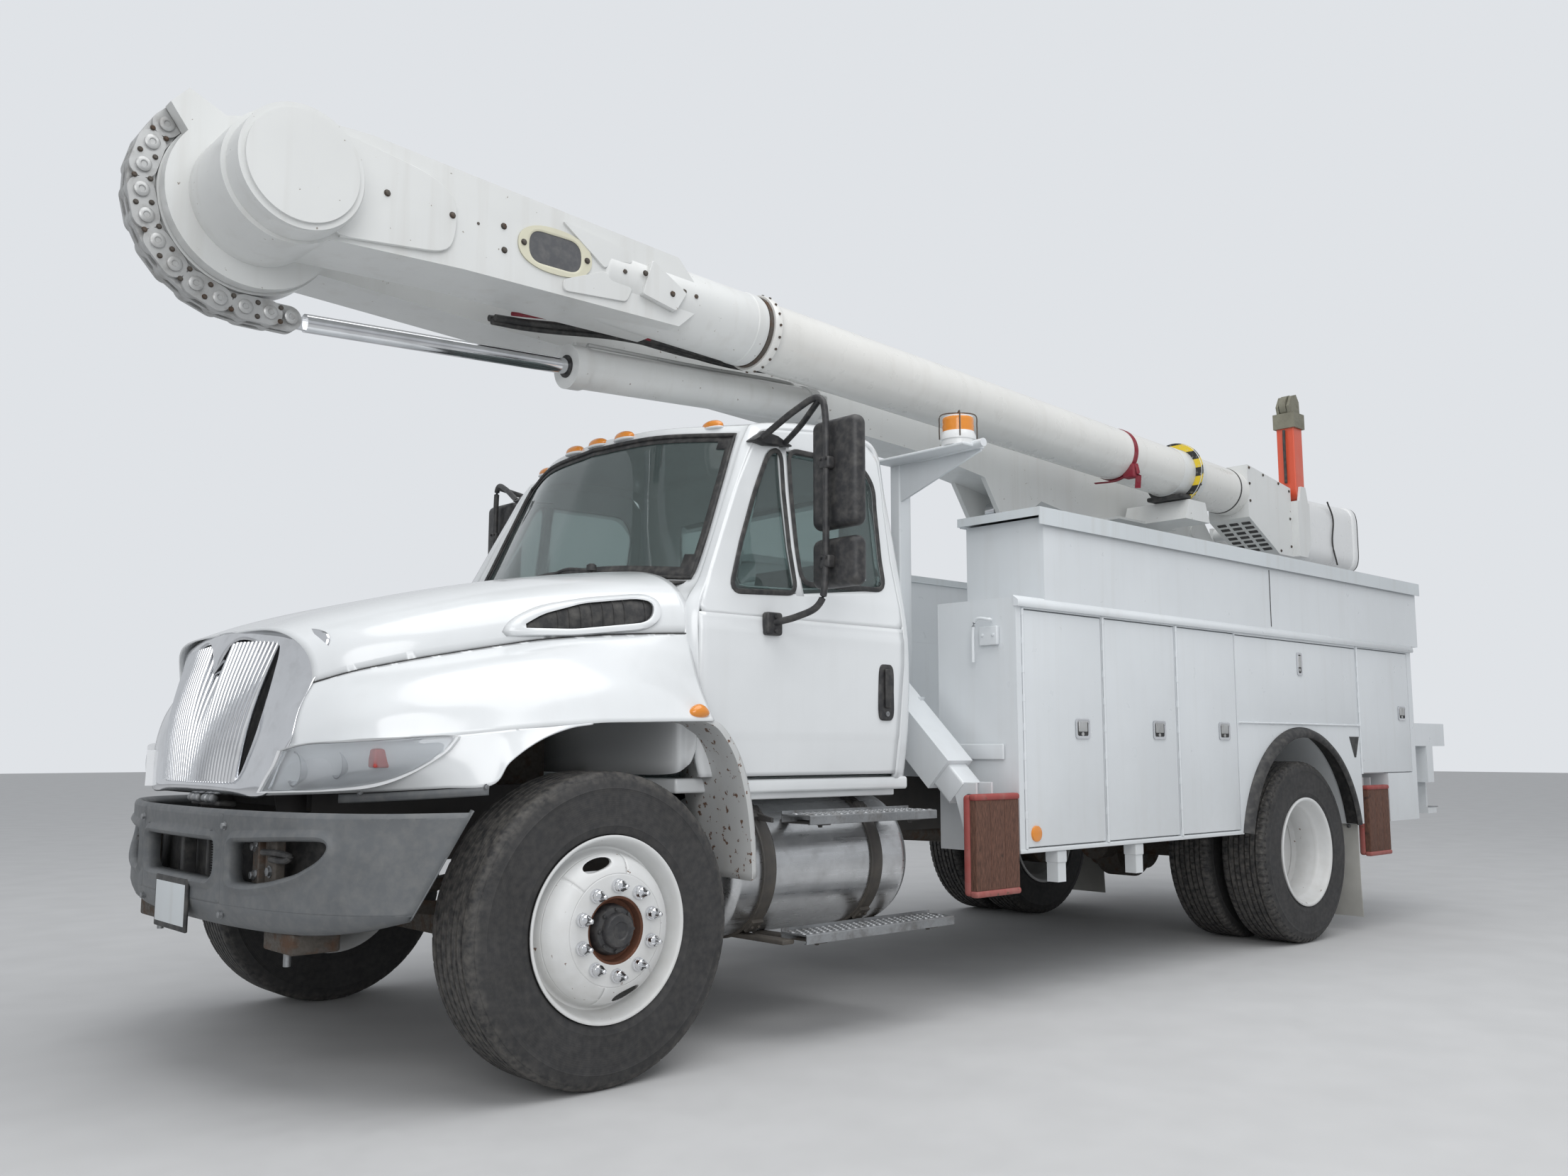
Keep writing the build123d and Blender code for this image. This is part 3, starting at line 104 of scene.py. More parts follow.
@dataclass
class Pile:
    """Grids of surface points that become one mesh object."""

    name: str
    verts: list[np.ndarray] = field(default_factory=list)
    faces: list[tuple[int, ...]] = field(default_factory=list)
    count: int = 0

    def grid(self, points: np.ndarray, wrap_u: bool = False, wrap_v: bool = True,
             caps: bool = True) -> "Pile":
        """Adds a surface given as rows of points, with quads between neighbours.

        Args:
            points: Array of rows x columns x 3.
            wrap_u: Joins the last row to the first.
            wrap_v: Joins the last column to the first.
            caps: Closes the first and last row with one face each.

        Returns:
            The pile itself, for chaining.
        """
        rows, cols = points.shape[:2]
        base = self.count
        u = np.arange(rows if wrap_u else rows - 1)
        v = np.arange(cols if wrap_v else cols - 1)
        uu, vv = np.meshgrid(u, v, indexing="ij")
        un, vn = (uu + 1) % rows, (vv + 1) % cols
        quads = np.stack([uu * cols + vv, uu * cols + vn, un * cols + vn, un * cols + vv], -1)
        self.faces += [tuple(q) for q in (quads.reshape(-1, 4) + base).tolist()]
        if caps and wrap_v and not wrap_u:
            self.faces.append(tuple(range(base + cols - 1, base - 1, -1)))
            last = base + (rows - 1) * cols
            self.faces.append(tuple(range(last, last + cols)))
        self.verts.append(points.reshape(-1, 3))
        self.count += rows * cols
        return self

    def skin(self, points: np.ndarray, inside: Point, keep: np.ndarray | None = None,
             both: bool = False) -> "Pile":
        """Adds an open surface whose faces look away from an inside point.

        Args:
            points: Array of rows x columns x 3.
            inside: A point behind the surface.
            keep: Mask of the quads that stay, where the surface has openings.
            both: Adds the same surface mirrored to the truck's other side.

        Returns:
            The pile itself, for chaining.
        """
        rows, cols = points.shape[:2]
        uu, vv = np.meshgrid(np.arange(rows - 1), np.arange(cols - 1), indexing="ij")
        quads = np.stack([uu * cols + vv, uu * cols + vv + 1, (uu + 1) * cols + vv + 1,
                          (uu + 1) * cols + vv], -1)
        flat = points.reshape(-1, 3)
        corners = flat[quads]
        normal = np.cross(corners[..., 2, :] - corners[..., 0, :],
                          corners[..., 3, :] - corners[..., 1, :])
        away = ((corners.mean(2) - np.array(inside)) * normal).sum()
        if away < 0:
            quads = quads[..., ::-1]
        chosen = quads[keep] if keep is not None else quads.reshape(-1, 4)
        self.faces += [tuple(q) for q in (chosen + self.count).tolist()]
        self.verts.append(flat)
        self.count += len(flat)
        if both:
            mirror = np.array([1, -1, 1])
            self.skin(points * mirror, tuple(inside * mirror), keep)
        return self

    def lathe(self, profile: Line, centre: Point, along: Along,
              steps: int = 48, wrap: bool = False) -> "Pile":
        """Turns a profile of (place on the axis, radius) round an axis through centre."""
        table = np.array(profile, float)
        angle = np.linspace(0, 2 * math.pi, steps, endpoint=False)
        ring = np.stack([np.outer(table[:, 1], np.cos(angle)), np.outer(table[:, 1], np.sin(angle)),
                         np.repeat(table[:, :1], steps, 1)], -1)
        return self.grid(turned(ring, along) + np.array(centre), wrap_u=wrap, caps=not wrap)

    def rounded(self, low: Point, high: Point, radius: float, steps: int = 4) -> "Pile":
        """A box with round edges: a ball's points pushed out to the box's eight corners."""
        low_a, high_a = np.minimum(low, high), np.maximum(low, high)
        half = (high_a - low_a) / 2
        radius = float(min(radius, half.min() * 0.98))
        lat = np.concatenate([np.linspace(-90, 0, steps + 1), np.linspace(0, 90, steps + 1)])
        lon = np.concatenate([np.linspace(q * 90, q * 90 + 90, steps + 1) for q in range(4)])
        side = np.repeat([[1, 1], [-1, 1], [-1, -1], [1, -1]], steps + 1, 0)
        la, lo = np.meshgrid(np.radians(lat), np.radians(lon), indexing="ij")
        ball = np.stack([np.cos(la) * np.cos(lo), np.cos(la) * np.sin(lo), np.sin(la)], -1)
        up = np.repeat([-1, 1], steps + 1)
        sign = np.stack([np.broadcast_to(side[:, 0], la.shape), np.broadcast_to(side[:, 1], la.shape),
                         np.broadcast_to(up[:, None], la.shape)], -1)
        return self.grid(ball * radius + sign * (half - radius) + (low_a + high_a) / 2)

    def block(self, low: Point, high: Point, radius: float, side: int = 1,
              steps: int = 4) -> "Pile":
        """A box with round edges between two stations, on the left or mirrored to the right."""
        return self.rounded(stations(low, side), stations(high, side), radius, steps)

    def plate(self, outline: Line, start: float, end: float, along: Along,
              edge: float = 0.0015, origin: Point = (0, 0, 0)) -> "Pile":
        """A flat plate of a convex or gently curved outline, with its two rims chamfered."""
        flat = np.array(outline, float)
        middle = flat.mean(0)
        reach = np.linalg.norm(flat - middle, axis=1, keepdims=True)
        inner = middle + (flat - middle) * (1 - edge / np.maximum(reach, edge * 2))
        sign = 1 if end > start else -1
        rows = [(inner, start), (flat, start + sign * edge), (flat, end - sign * edge), (inner, end)]
        rings = np.stack([np.column_stack([ring, np.full(len(flat), at)]) for ring, at in rows])
        return self.grid(turned(rings, along) + np.array(origin))

    def pipe(self, path: Path, radius: float, steps: int = 12, soft: int = 6) -> "Pile":
        """A round bar along a path whose corners are rounded by a Catmull curve."""
        return self.sweep(path, circle(radius, steps), soft)

    def sweep(self, path: Path, section: np.ndarray, soft: int = 6) -> "Pile":
        """Carries a flat section along a path, keeping it square to the path's direction."""
        line = smooth(np.array(path, float), soft)
        ahead = np.gradient(line, axis=0)
        ahead /= np.linalg.norm(ahead, axis=1, keepdims=True)
        up = np.where(np.abs(ahead[:, 2:]) > 0.95, [[0.0, 1.0, 0.0]], [[0.0, 0.0, 1.0]])
        across = np.cross(up, ahead)
        across /= np.linalg.norm(across, axis=1, keepdims=True)
        above = np.cross(ahead, across)
        rings = (line[:, None] + section[None, :, :1] * across[:, None]
                 + section[None, :, 1:] * above[:, None])
        return self.grid(rings)

    def loop(self, points: np.ndarray, radius: float, steps: int = 8,
             flat: float = 1.0) -> "Pile":
        """A bead that follows a closed line of points.

        Args:
            points: The line's points, without the first one repeated.
            radius: Half the bead's width.
            steps: Points round the bead.
            flat: Share of the width that the bead stands out along Y.

        Returns:
            The pile itself, for chaining.
        """
        ahead = np.roll(points, -1, 0) - np.roll(points, 1, 0)
        ahead /= np.linalg.norm(ahead, axis=1, keepdims=True)
        out = np.zeros_like(ahead)
        out[:, 1] = 1.0
        out -= (out * ahead).sum(1, keepdims=True) * ahead
        out /= np.linalg.norm(out, axis=1, keepdims=True)
        aside = np.cross(ahead, out)
        section = circle(radius, steps)
        rings = (points[:, None] + section[None, :, :1] * aside[:, None]
                 + section[None, :, 1:] * flat * out[:, None])
        return self.grid(rings, wrap_u=True, caps=False)

    def raised_rim(self, outer: np.ndarray, hole: np.ndarray, centre: tuple[float, float], y: float,
                   rim: Line, rows: int, count: int) -> "Pile":
        """A raised rim round a hole in a plate that faces +Y, closed down to the plate.

        Args:
            outer: Outline of the rim's foot as (x, z).
            hole: Outline of the hole as (x, z).
            centre: Point inside the hole as (x, z).
            y: Place of the plate's face.
            rim: Steps of the rim as (distance from the hole's edge, rise over the plate).
            rows: Rings from the rim to the outline.
            count: Points of each ring.

        Returns:
            The pile itself, for chaining.
        """
        ring = holed_panel(outer, hole, centre, rim, rows, count)
        ring = np.concatenate([ring, ring[-1:] * [1, 1, 0]])
        return self.skin(np.stack([ring[..., 0], y + ring[..., 2], ring[..., 1]], -1),
                         (centre[0], 0.0, centre[1]))

    def bolts(self, places: Path, along: Along, radius: float = 0.012,
              height: float = 0.01, sign: int = 1) -> "Pile":
        """Hexagon heads with a domed top, each standing on a washer."""
        for place in places:
            self.lathe([(0, radius * 1.3), (sign * height * 0.2, radius * 1.3)], place, along, 12)
            self.lathe([(sign * height * 0.2, radius), (sign * height * 0.85, radius),
                        (sign * height, radius * 0.75)], place, along, 6)
        return self

    def make(self, body: str, finish: "Finish", slot: str | None = None,
             smooth: float = 35.0, wall: float = 0.0) -> bpy.types.Object:
        """Turns the collected surfaces into an object that rides on a body.

        Args:
            body: Name of the CAD body that carries the piece.
            finish: Finish that gives the piece its material.
            slot: Not used.
            smooth: Largest angle, in degrees, across which shading stays soft.
            wall: Thickness that an open surface gets on its inner side.

        Returns:
            The new object, at the origin with its place in its mesh.
        """
        mesh = bpy.data.meshes.new(self.name)
        mesh.from_pydata(np.concatenate(self.verts).tolist(), [], self.faces)
        mesh.validate()
        piece = bpy.data.objects.new(self.name, mesh)
        bpy.context.scene.collection.objects.link(piece)
        face_outwards(mesh, turn=not wall)
        mesh.shade_smooth()
        mesh.set_sharp_from_angle(angle=math.radians(smooth))
        mesh.materials.append(finish.material())
        if wall:
            thick = piece.modifiers.new("wall", "SOLIDIFY")
            thick.thickness = wall
            thick.offset = -1.0
        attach(piece, body)
        log.info("%s rides on %s", self.name, body)
        return piece


def face_outwards(mesh: bpy.types.Mesh, turn: bool = True) -> None:
    """Merges doubles, drops loose points and turns the faces of a closed mesh outwards."""
    work = bmesh.new()
    work.from_mesh(mesh)
    bmesh.ops.remove_doubles(work, verts=work.verts, dist=1e-6)
    bmesh.ops.dissolve_degenerate(work, edges=work.edges, dist=1e-7)
    loose = [v for v in work.verts if not v.link_faces]
    bmesh.ops.delete(work, geom=loose, context="VERTS")
    if turn:
        bmesh.ops.recalc_face_normals(work, faces=work.faces)
    work.to_mesh(mesh)
    work.free()


def circle(radius: float, steps: int) -> np.ndarray:
    """Points of a circle in a plane."""
    angle = np.linspace(0, 2 * math.pi, steps, endpoint=False)
    return np.column_stack([radius * np.cos(angle), radius * np.sin(angle)])


def oval(half_w: float, half_h: float, power: float = 2.0, steps: int = 48) -> np.ndarray:
    """Points of a superellipse, which turns squarer as its power grows."""
    angle = np.linspace(0, 2 * math.pi, steps, endpoint=False)
    c, s = np.cos(angle), np.sin(angle)
    return np.column_stack([half_w * np.sign(c) * np.abs(c) ** (2 / power),
                            half_h * np.sign(s) * np.abs(s) ** (2 / power)])


def dome(size: Point, low: float, rows: int, lean: float = 0.0) -> np.ndarray:
    """Rings of a ball's upper part.

    Args:
        size: Half lengths of the ball along the three axes.
        low: Latitude in radians at which the rings start; they end just under the pole.
        rows: Number of rings.
        lean: Share by which the rings draw in along X towards the top.

    Returns:
        Array of rings x points x 3 round the ball's middle.
    """
    lon, lat = np.meshgrid(np.linspace(0, 2 * math.pi, 28, endpoint=False),
                           np.linspace(low, 1.5, rows))
    return np.stack([size[0] * np.cos(lat) * np.cos(lon) * (1 - lean * np.sin(lat)),
                     size[1] * np.cos(lat) * np.sin(lon), size[2] * np.sin(lat)], -1)


def smooth(points: np.ndarray, soft: int) -> np.ndarray:
    """Catmull curve through an array's points or rows: each run blends four of them."""
    if len(points) < 3 or soft < 2:
        return points
    ends = np.concatenate([[2 * points[0] - points[1]], points, [2 * points[-1] - points[-2]]])
    t = np.linspace(0, 1, soft, endpoint=False).reshape(-1, *[1] * (points.ndim - 1))
    runs = [0.5 * (2 * b + (c - a) * t + (2 * a - 5 * b + 4 * c - d) * t ** 2
                   + (3 * b - a - 3 * c + d) * t ** 3)
            for a, b, c, d in zip(ends[:-3], ends[1:-2], ends[2:-1], ends[3:])]
    return np.concatenate(runs + [points[-1:]])


def smooth_net(net: list | np.ndarray, soft_u: int = 8, soft_v: int = 8) -> np.ndarray:
    """Carries the Catmull curve through a net of points both ways, so all of them are met.

    Args:
        net: Rows of points, or of their numbers in one run, with X from the front axle.
        soft_u: Steps between two rows.
        soft_v: Steps between two columns.

    Returns:
        The surface's points as rows x columns x 3.
    """
    points = stations(np.array(net, float).reshape(len(net), -1, 3))
    rows = smooth(points, soft_u)
    return smooth(rows.swapaxes(0, 1), soft_v).swapaxes(0, 1)


def outwards(profile: Line, seat: float, side: int) -> list[tuple[float, float]]:
    """Profile whose places are counted outwards from a seat on one side of the truck."""
    return [(side * (seat + place), radius) for place, radius in profile]


def rectangle(half_w: float, half_h: float, radius: float, steps: int = 6) -> np.ndarray:
    """Outline of a rectangle with rounded corners round the middle of a plane."""
    return rounded_outline([(-half_w, -half_h), (half_w, -half_h), (half_w, half_h),
                            (-half_w, half_h)], radius, steps)


def rounded_outline(corners: Line, radius: float, steps: int = 6) -> np.ndarray:
    """Replaces each corner of a closed outline by a short curve.

    Args:
        corners: Points of the outline, in order.
        radius: Distance from the corner at which its curve starts, held under half an edge.
        steps: Points of each curve.

    Returns:
        The points of the rounded outline.
    """
    flat = np.array(corners, float)
    t = np.linspace(0, 1, steps)[:, None]
    out = []
    for before, here, after in zip(np.roll(flat, 1, 0), flat, np.roll(flat, -1, 0)):
        runs = [before - here, after - here]
        spans = [np.linalg.norm(run) for run in runs]
        start, end = [here + run / span * min(radius, span * 0.48) for run, span in zip(runs, spans)]
        out.append((1 - t) ** 2 * start + 2 * t * (1 - t) * here + t ** 2 * end)
    return np.vstack(out)


def resample(points: np.ndarray, count: int, wrap: bool = True) -> np.ndarray:
    """Spreads a number of points evenly along an outline, or along an open line."""
    line = np.vstack([points, points[:1]]) if wrap else np.array(points, float)
    reach = np.concatenate([[0], np.cumsum(np.linalg.norm(np.diff(line, axis=0), axis=1))])
    at = np.linspace(0, reach[-1], count, endpoint=not wrap)
    return np.column_stack([np.interp(at, reach, line[:, k]) for k in range(line.shape[1])])


def by_angle(outline: np.ndarray, centre: tuple[float, float], count: int) -> np.ndarray:
    """Points of a closed outline at even angles round a centre that sees all of it."""
    dense = resample(outline, 2000) - np.array(centre)
    angle = np.arctan2(dense[:, 1], dense[:, 0])
    order = np.argsort(angle)
    wanted = np.linspace(-math.pi, math.pi, count, endpoint=False)
    reach = np.interp(wanted, angle[order], np.linalg.norm(dense, axis=1)[order],
                      period=2 * math.pi)
    return np.column_stack([np.cos(wanted), np.sin(wanted)]) * reach[:, None] + np.array(centre)


def holed_panel(outer: np.ndarray, hole: np.ndarray, centre: tuple[float, float],
                rim: Line, rows: int = 10, count: int = 160) -> np.ndarray:
    """Rings of flat points that run from a hole's edge, over a raised rim, to an outline.

    Args:
        outer: Outline of the panel, seen whole from the centre.
        hole: Outline of the hole, seen whole from the centre.
        centre: Point inside the hole.
        rim: Steps of the rim as (distance from the hole's edge, rise over the panel).
        rows: Rings from the rim to the outline.
        count: Points of each ring.

    Returns:
        Array of rings x points x (across, up, rise), each ring closed on itself.
    """
    edge, far = by_angle(hole, centre, count), by_angle(outer, centre, count)
    ahead = np.roll(edge, -1, 0) - np.roll(edge, 1, 0)
    away = np.column_stack([ahead[:, 1], -ahead[:, 0]])
    away /= np.linalg.norm(away, axis=1, keepdims=True)
    rings = [np.column_stack([edge + away * reach, np.full(count, rise)]) for reach, rise in rim]
    start = edge + away * rim[-1][0]
    for share in np.linspace(0, 1, rows)[1:]:
        rings.append(np.column_stack([start + (far - start) * share, np.full(count, rim[-1][1])]))
    panel = np.stack(rings)
    return closed(panel)


class Desk:
    """Short calls for laying out a material's nodes."""

    def __init__(self, name: str) -> None:
        """Starts a material with an empty tree, its shader and its output."""
        self.material = bpy.data.materials.new(name)
        self.material.use_nodes = True
        self.tree = self.material.node_tree
        self.tree.nodes.clear()
        self.shader = self.add("ShaderNodeBsdfPrincipled")
        self.output = self.add("ShaderNodeOutputMaterial")
        self.link(self.shader.outputs[0], self.output.inputs["Surface"])
        self.place = self.add("ShaderNodeTexCoord").outputs["Object"]

    def add(self, kind: str, **values: object) -> bpy.types.Node:
        """Adds a node and sets its properties."""
        node = self.tree.nodes.new(kind)
        for key, value in values.items():
            setattr(node, key, value)
        return node

    def link(self, start: bpy.types.NodeSocket, end: bpy.types.NodeSocket) -> None:
        """Joins two sockets."""
        self.tree.links.new(start, end)

    def feed(self, node: bpy.types.Node, key: object, value: object) -> None:
        """Gives a node's input a value, or a link where the value is a socket."""
        if isinstance(value, bpy.types.NodeSocket):
            self.link(value, node.inputs[key])
        else:
            node.inputs[key].default_value = value

    def noise(self, scale: float, detail: float = 3.0, stretch: Point = (1, 1, 1),
              rough: float = 0.55) -> bpy.types.NodeSocket:
        """Noise of a given number of waves per metre, squeezed along the axes."""
        mapping = self.add("ShaderNodeMapping")
        self.link(self.place, mapping.inputs["Vector"])
        mapping.inputs["Scale"].default_value = stretch
        node = self.add("ShaderNodeTexNoise")
        self.link(mapping.outputs[0], node.inputs["Vector"])
        node.inputs["Scale"].default_value = scale
        node.inputs["Detail"].default_value = detail
        node.inputs["Roughness"].default_value = rough
        return node.outputs["Fac"]

    def range(self, value: object, low: float, high: float, to_low: float = 0.0,
              to_high: float = 1.0) -> bpy.types.NodeSocket:
        """Maps a value between two bounds to another pair, held at the ends."""
        node = self.add("ShaderNodeMapRange")
        for key, number in zip((0, 1, 2, 3, 4), (value, low, high, to_low, to_high)):
            self.feed(node, key, number)
        return node.outputs[0]

    def math(self, kind: str, first: object, second: object = 0.0) -> bpy.types.NodeSocket:
        """One calculation on one or two values."""
        node = self.add("ShaderNodeMath", operation=kind)
        self.feed(node, 0, first)
        self.feed(node, 1, second)
        return node.outputs[0]

    def times(self, first: object, second: object) -> bpy.types.NodeSocket:
        """Product of two values."""
        return self.math("MULTIPLY", first, second)

    def plus(self, first: object, second: object) -> bpy.types.NodeSocket:
        """Sum of two values."""
        return self.math("ADD", first, second)

    def blend(self, share: object, first: object, second: object) -> bpy.types.NodeSocket:
        """Mixes two colours by a share."""
        node = self.add("ShaderNodeMix", data_type="RGBA")
        self.feed(node, 0, share)
        for key, colour in ((6, first), (7, second)):
            self.feed(node, key, colour if isinstance(colour, bpy.types.NodeSocket)
                      else (*colour, 1.0))
        return node.outputs[2]

    def axis(self, along: Along) -> bpy.types.NodeSocket:
        """One of the three coordinates of the surface point."""
        split = self.add("ShaderNodeSeparateXYZ")
        self.link(self.place, split.inputs[0])
        return split.outputs[along.value]

    def distance(self, centre: Point, keep: Point) -> bpy.types.NodeSocket:
        """Distance from a point, measured only along the axes whose keep is 1."""
        shift = self.add("ShaderNodeVectorMath", operation="SUBTRACT")
        self.link(self.place, shift.inputs[0])
        shift.inputs[1].default_value = centre
        scale = self.add("ShaderNodeVectorMath", operation="MULTIPLY")
        self.link(shift.outputs[0], scale.inputs[0])
        scale.inputs[1].default_value = keep
        length = self.add("ShaderNodeVectorMath", operation="LENGTH")
        self.link(scale.outputs[0], length.inputs[0])
        return length.outputs["Value"]

    def bump(self, height: bpy.types.NodeSocket, strength: float, depth: float) -> None:
        """Raises the surface by a height pattern."""
        node = self.add("ShaderNodeBump")
        node.inputs["Strength"].default_value = strength
        node.inputs["Distance"].default_value = depth
        self.link(height, node.inputs["Height"])
        self.link(node.outputs[0], self.shader.inputs["Normal"])

    def set(self, key: str, value: object) -> None:
        """Gives the main shader's input a value or a link."""
        self.feed(self.shader, key, value)


@dataclass(frozen=True)
class Finish:
    """A finish whose subclasses lay out its nodes; each is made once and kept."""

    name: str
    colour: Colour

    def material(self) -> bpy.types.Material:
        """The Blender material of this finish, made at its first use."""
        kept = bpy.data.materials.get(self.name)
        if kept:
            return kept
        desk = Desk(self.name)
        self.lay_out(desk)
        return desk.material

    def lay_out(self, desk: Desk) -> None:
        """Lays out the nodes."""
        desk.set("Base Color", (*self.colour, 1.0))


@dataclass(frozen=True)
class Paint(Finish):
    """Sprayed paint with a fine peel, dust that thickens downwards, rain runs and chips."""

    roughness: float = 0.3
    coat: float = 0.5
    dust: float = 0.25
    dust_top: float = 1.3
    runs: float = 0.12
    chips: float = 0.0
    dirt_colour: Colour = (0.42, 0.39, 0.34)
    chip_colour: Colour = (0.16, 0.09, 0.06)

    def lay_out(self, desk: Desk) -> None:
        """Mixes the base coat with faded patches, runs, dust and chips, in that order."""
        broad = desk.noise(1.3, 4)
        faded = tuple(c * 0.93 for c in self.colour)
        tint = desk.blend(desk.range(broad, 0.35, 0.65), self.colour, faded)
        streak = desk.noise(14, 3, (1, 1, 0.06))
        run = desk.times(desk.range(streak, 0.52, 0.75), self.runs)
        tint = desk.blend(run, tint, self.dirt_colour)
        height = desk.range(desk.axis(Along.Z), 0.35, self.dust_top, 1, 0)
        speckle = desk.range(desk.noise(22, 6), 0.3, 0.7, 0.45, 1)
        dust = desk.times(desk.times(desk.math("POWER", height, 1.6), speckle), self.dust)
        tint = desk.blend(dust, tint, self.dirt_colour)
        if self.chips:
            spots = desk.range(desk.noise(38, 4), 0.74 - self.chips, 0.76 - self.chips)
            tint = desk.blend(spots, tint, self.chip_colour)
        desk.set("Base Color", tint)
        worn = desk.range(desk.noise(9, 4), 0.3, 0.7, self.roughness * 0.8, self.roughness * 1.25)
        desk.set("Roughness", desk.plus(worn, desk.times(dust, 0.5)))
        desk.set("Coat Weight", self.coat)
        desk.set("Coat Roughness", 0.12)
        desk.bump(desk.noise(420, 2), 0.05, 0.001)


@dataclass(frozen=True)
class Metal(Finish):
    """Bare or plated metal with brushing along one axis, cloudy patches and dull dirt."""

    roughness: float = 0.25
    brushed: Point = (1, 1, 1)
    cloud: float = 0.25
    dirt: float = 0.15
    metallic: float = 1.0
    dirt_colour: Colour = (0.12, 0.10, 0.08)

    def lay_out(self, desk: Desk) -> None:
        """Clouds the colour, roughens it along the brushing and lays dirt in patches."""
        cloud = desk.range(desk.noise(6, 5), 0.3, 0.7)
        dull = tuple(c * (1 - self.cloud) for c in self.colour)
        tint = desk.blend(cloud, self.colour, dull)
        patch = desk.times(desk.range(desk.noise(17, 6), 0.5, 0.72), self.dirt)
        desk.set("Base Color", desk.blend(patch, tint, self.dirt_colour))
        desk.set("Metallic", self.metallic)
        lines = desk.noise(90, 4, self.brushed)
        rough = desk.range(lines, 0.3, 0.7, self.roughness * 0.7, self.roughness * 1.3)
        desk.set("Roughness", desk.plus(rough, desk.times(patch, 0.7)))
        desk.bump(lines, 0.12, 0.0006)


@dataclass(frozen=True)
class Plastic(Finish):
    """Moulded plastic with a leather-like grain, sun-faded patches and dust."""

    roughness: float = 0.55
    grain: float = 500.0
    depth: float = 0.25
    dust: float = 0.15
    fade: float = 0.25

    def lay_out(self, desk: Desk) -> None:
        """Fades the colour in broad patches and presses a cell grain into it."""
        faded = tuple(min(1.0, c * (1 + self.fade) + 0.01) for c in self.colour)
        tint = desk.blend(desk.range(desk.noise(3, 5), 0.35, 0.65), self.colour, faded)
        dust = desk.times(desk.range(desk.noise(30, 6), 0.42, 0.75), self.dust)
        desk.set("Base Color", desk.blend(dust, tint, (0.38, 0.36, 0.32)))
        desk.set("Roughness", desk.range(desk.noise(12, 4), 0.3, 0.7, self.roughness * 0.85,
                                         self.roughness * 1.15))
        desk.bump(desk.noise(self.grain, 2), self.depth, 0.0006)


@dataclass(frozen=True)
class Rubber(Finish):
    """Tyre rubber: rings on its sidewall round the axle, and road dust on its tread."""

    hub: Point | None = None
    roughness: float = 0.72
    dust: float = 0.35

    def lay_out(self, desk: Desk) -> None:
        """Rings are a sine of the distance from the axle; dust grows with that distance."""
        tint = desk.blend(desk.range(desk.noise(8, 5), 0.3, 0.7), self.colour,
                          tuple(c * 1.5 for c in self.colour))
        grain = desk.noise(260, 4)
        if self.hub:
            reach = desk.distance(self.hub, (1, 0, 1))
            rings = desk.math("SINE", desk.times(reach, 900.0))
            band = desk.times(desk.range(reach, 0.34, 0.36), desk.range(reach, 0.45, 0.47, 1, 0))
            grain = desk.plus(grain, desk.times(desk.times(rings, band), 0.35))
            tread = desk.range(reach, 0.47, 0.508)
            dirty = desk.times(desk.range(desk.noise(40, 6), 0.35, 0.7), self.dust)
            dirty = desk.times(dirty, desk.plus(desk.times(tread, 0.75), 0.25))
            tint = desk.blend(dirty, tint, (0.27, 0.25, 0.22))
        desk.set("Base Color", tint)
        desk.set("Roughness", self.roughness)
        desk.bump(grain, 0.3, 0.001)


@dataclass(frozen=True)
class Glass(Finish):
    """Clear or tinted glass with a faint film of dust."""

    clear: float = 0.9
    roughness: float = 0.02

    def lay_out(self, desk: Desk) -> None:
        """A tinted clear body whose gloss is dulled a little by a film."""
        film = desk.times(desk.range(desk.noise(5, 5), 0.4, 0.8), 0.05)
        desk.set("Base Color", (*self.colour, 1.0))
        desk.set("Transmission Weight", self.clear)
        desk.set("IOR", 1.45)
        desk.set("Roughness", desk.plus(film, self.roughness))


@dataclass(frozen=True)
class Timber(Finish):
    """Weathered hardwood with grain that runs along one axis and dark knots."""

    grain: Point = (6, 6, 1)
    roughness: float = 0.8

    def lay_out(self, desk: Desk) -> None:
        """Grain is noise squeezed across the boards; knots are its rare peaks."""
        lines = desk.noise(30, 6, self.grain)
        dark = tuple(c * 0.45 for c in self.colour)
        tint = desk.blend(desk.range(lines, 0.35, 0.65), self.colour, dark)
        knots = desk.range(desk.noise(11, 3), 0.68, 0.76)
        desk.set("Base Color", desk.blend(knots, tint, (0.03, 0.02, 0.015)))
        desk.set("Roughness", self.roughness)
        desk.bump(lines, 0.5, 0.002)


@dataclass(frozen=True)
class Striped(Finish):
    """Paint in slanting bands of two colours that wind round the boom's axis."""

    other: Colour = (0.02, 0.02, 0.02)
    pitch: float = 0.11
    roughness: float = 0.4

    def lay_out(self, desk: Desk) -> None:
        """A band is the sign of a sine of height plus length along the boom."""
        slope = desk.plus(desk.axis(Along.Z), desk.axis(Along.X))
        wave = desk.math("SINE", desk.times(slope, 2 * math.pi / self.pitch))
        bands = desk.range(wave, -0.05, 0.05)
        scuffed = desk.times(desk.range(desk.noise(60, 5), 0.55, 0.7), 0.5)
        tint = desk.blend(bands, self.colour, self.other)
        desk.set("Base Color", desk.blend(scuffed, tint, (0.5, 0.48, 0.42)))
        desk.set("Roughness", self.roughness)


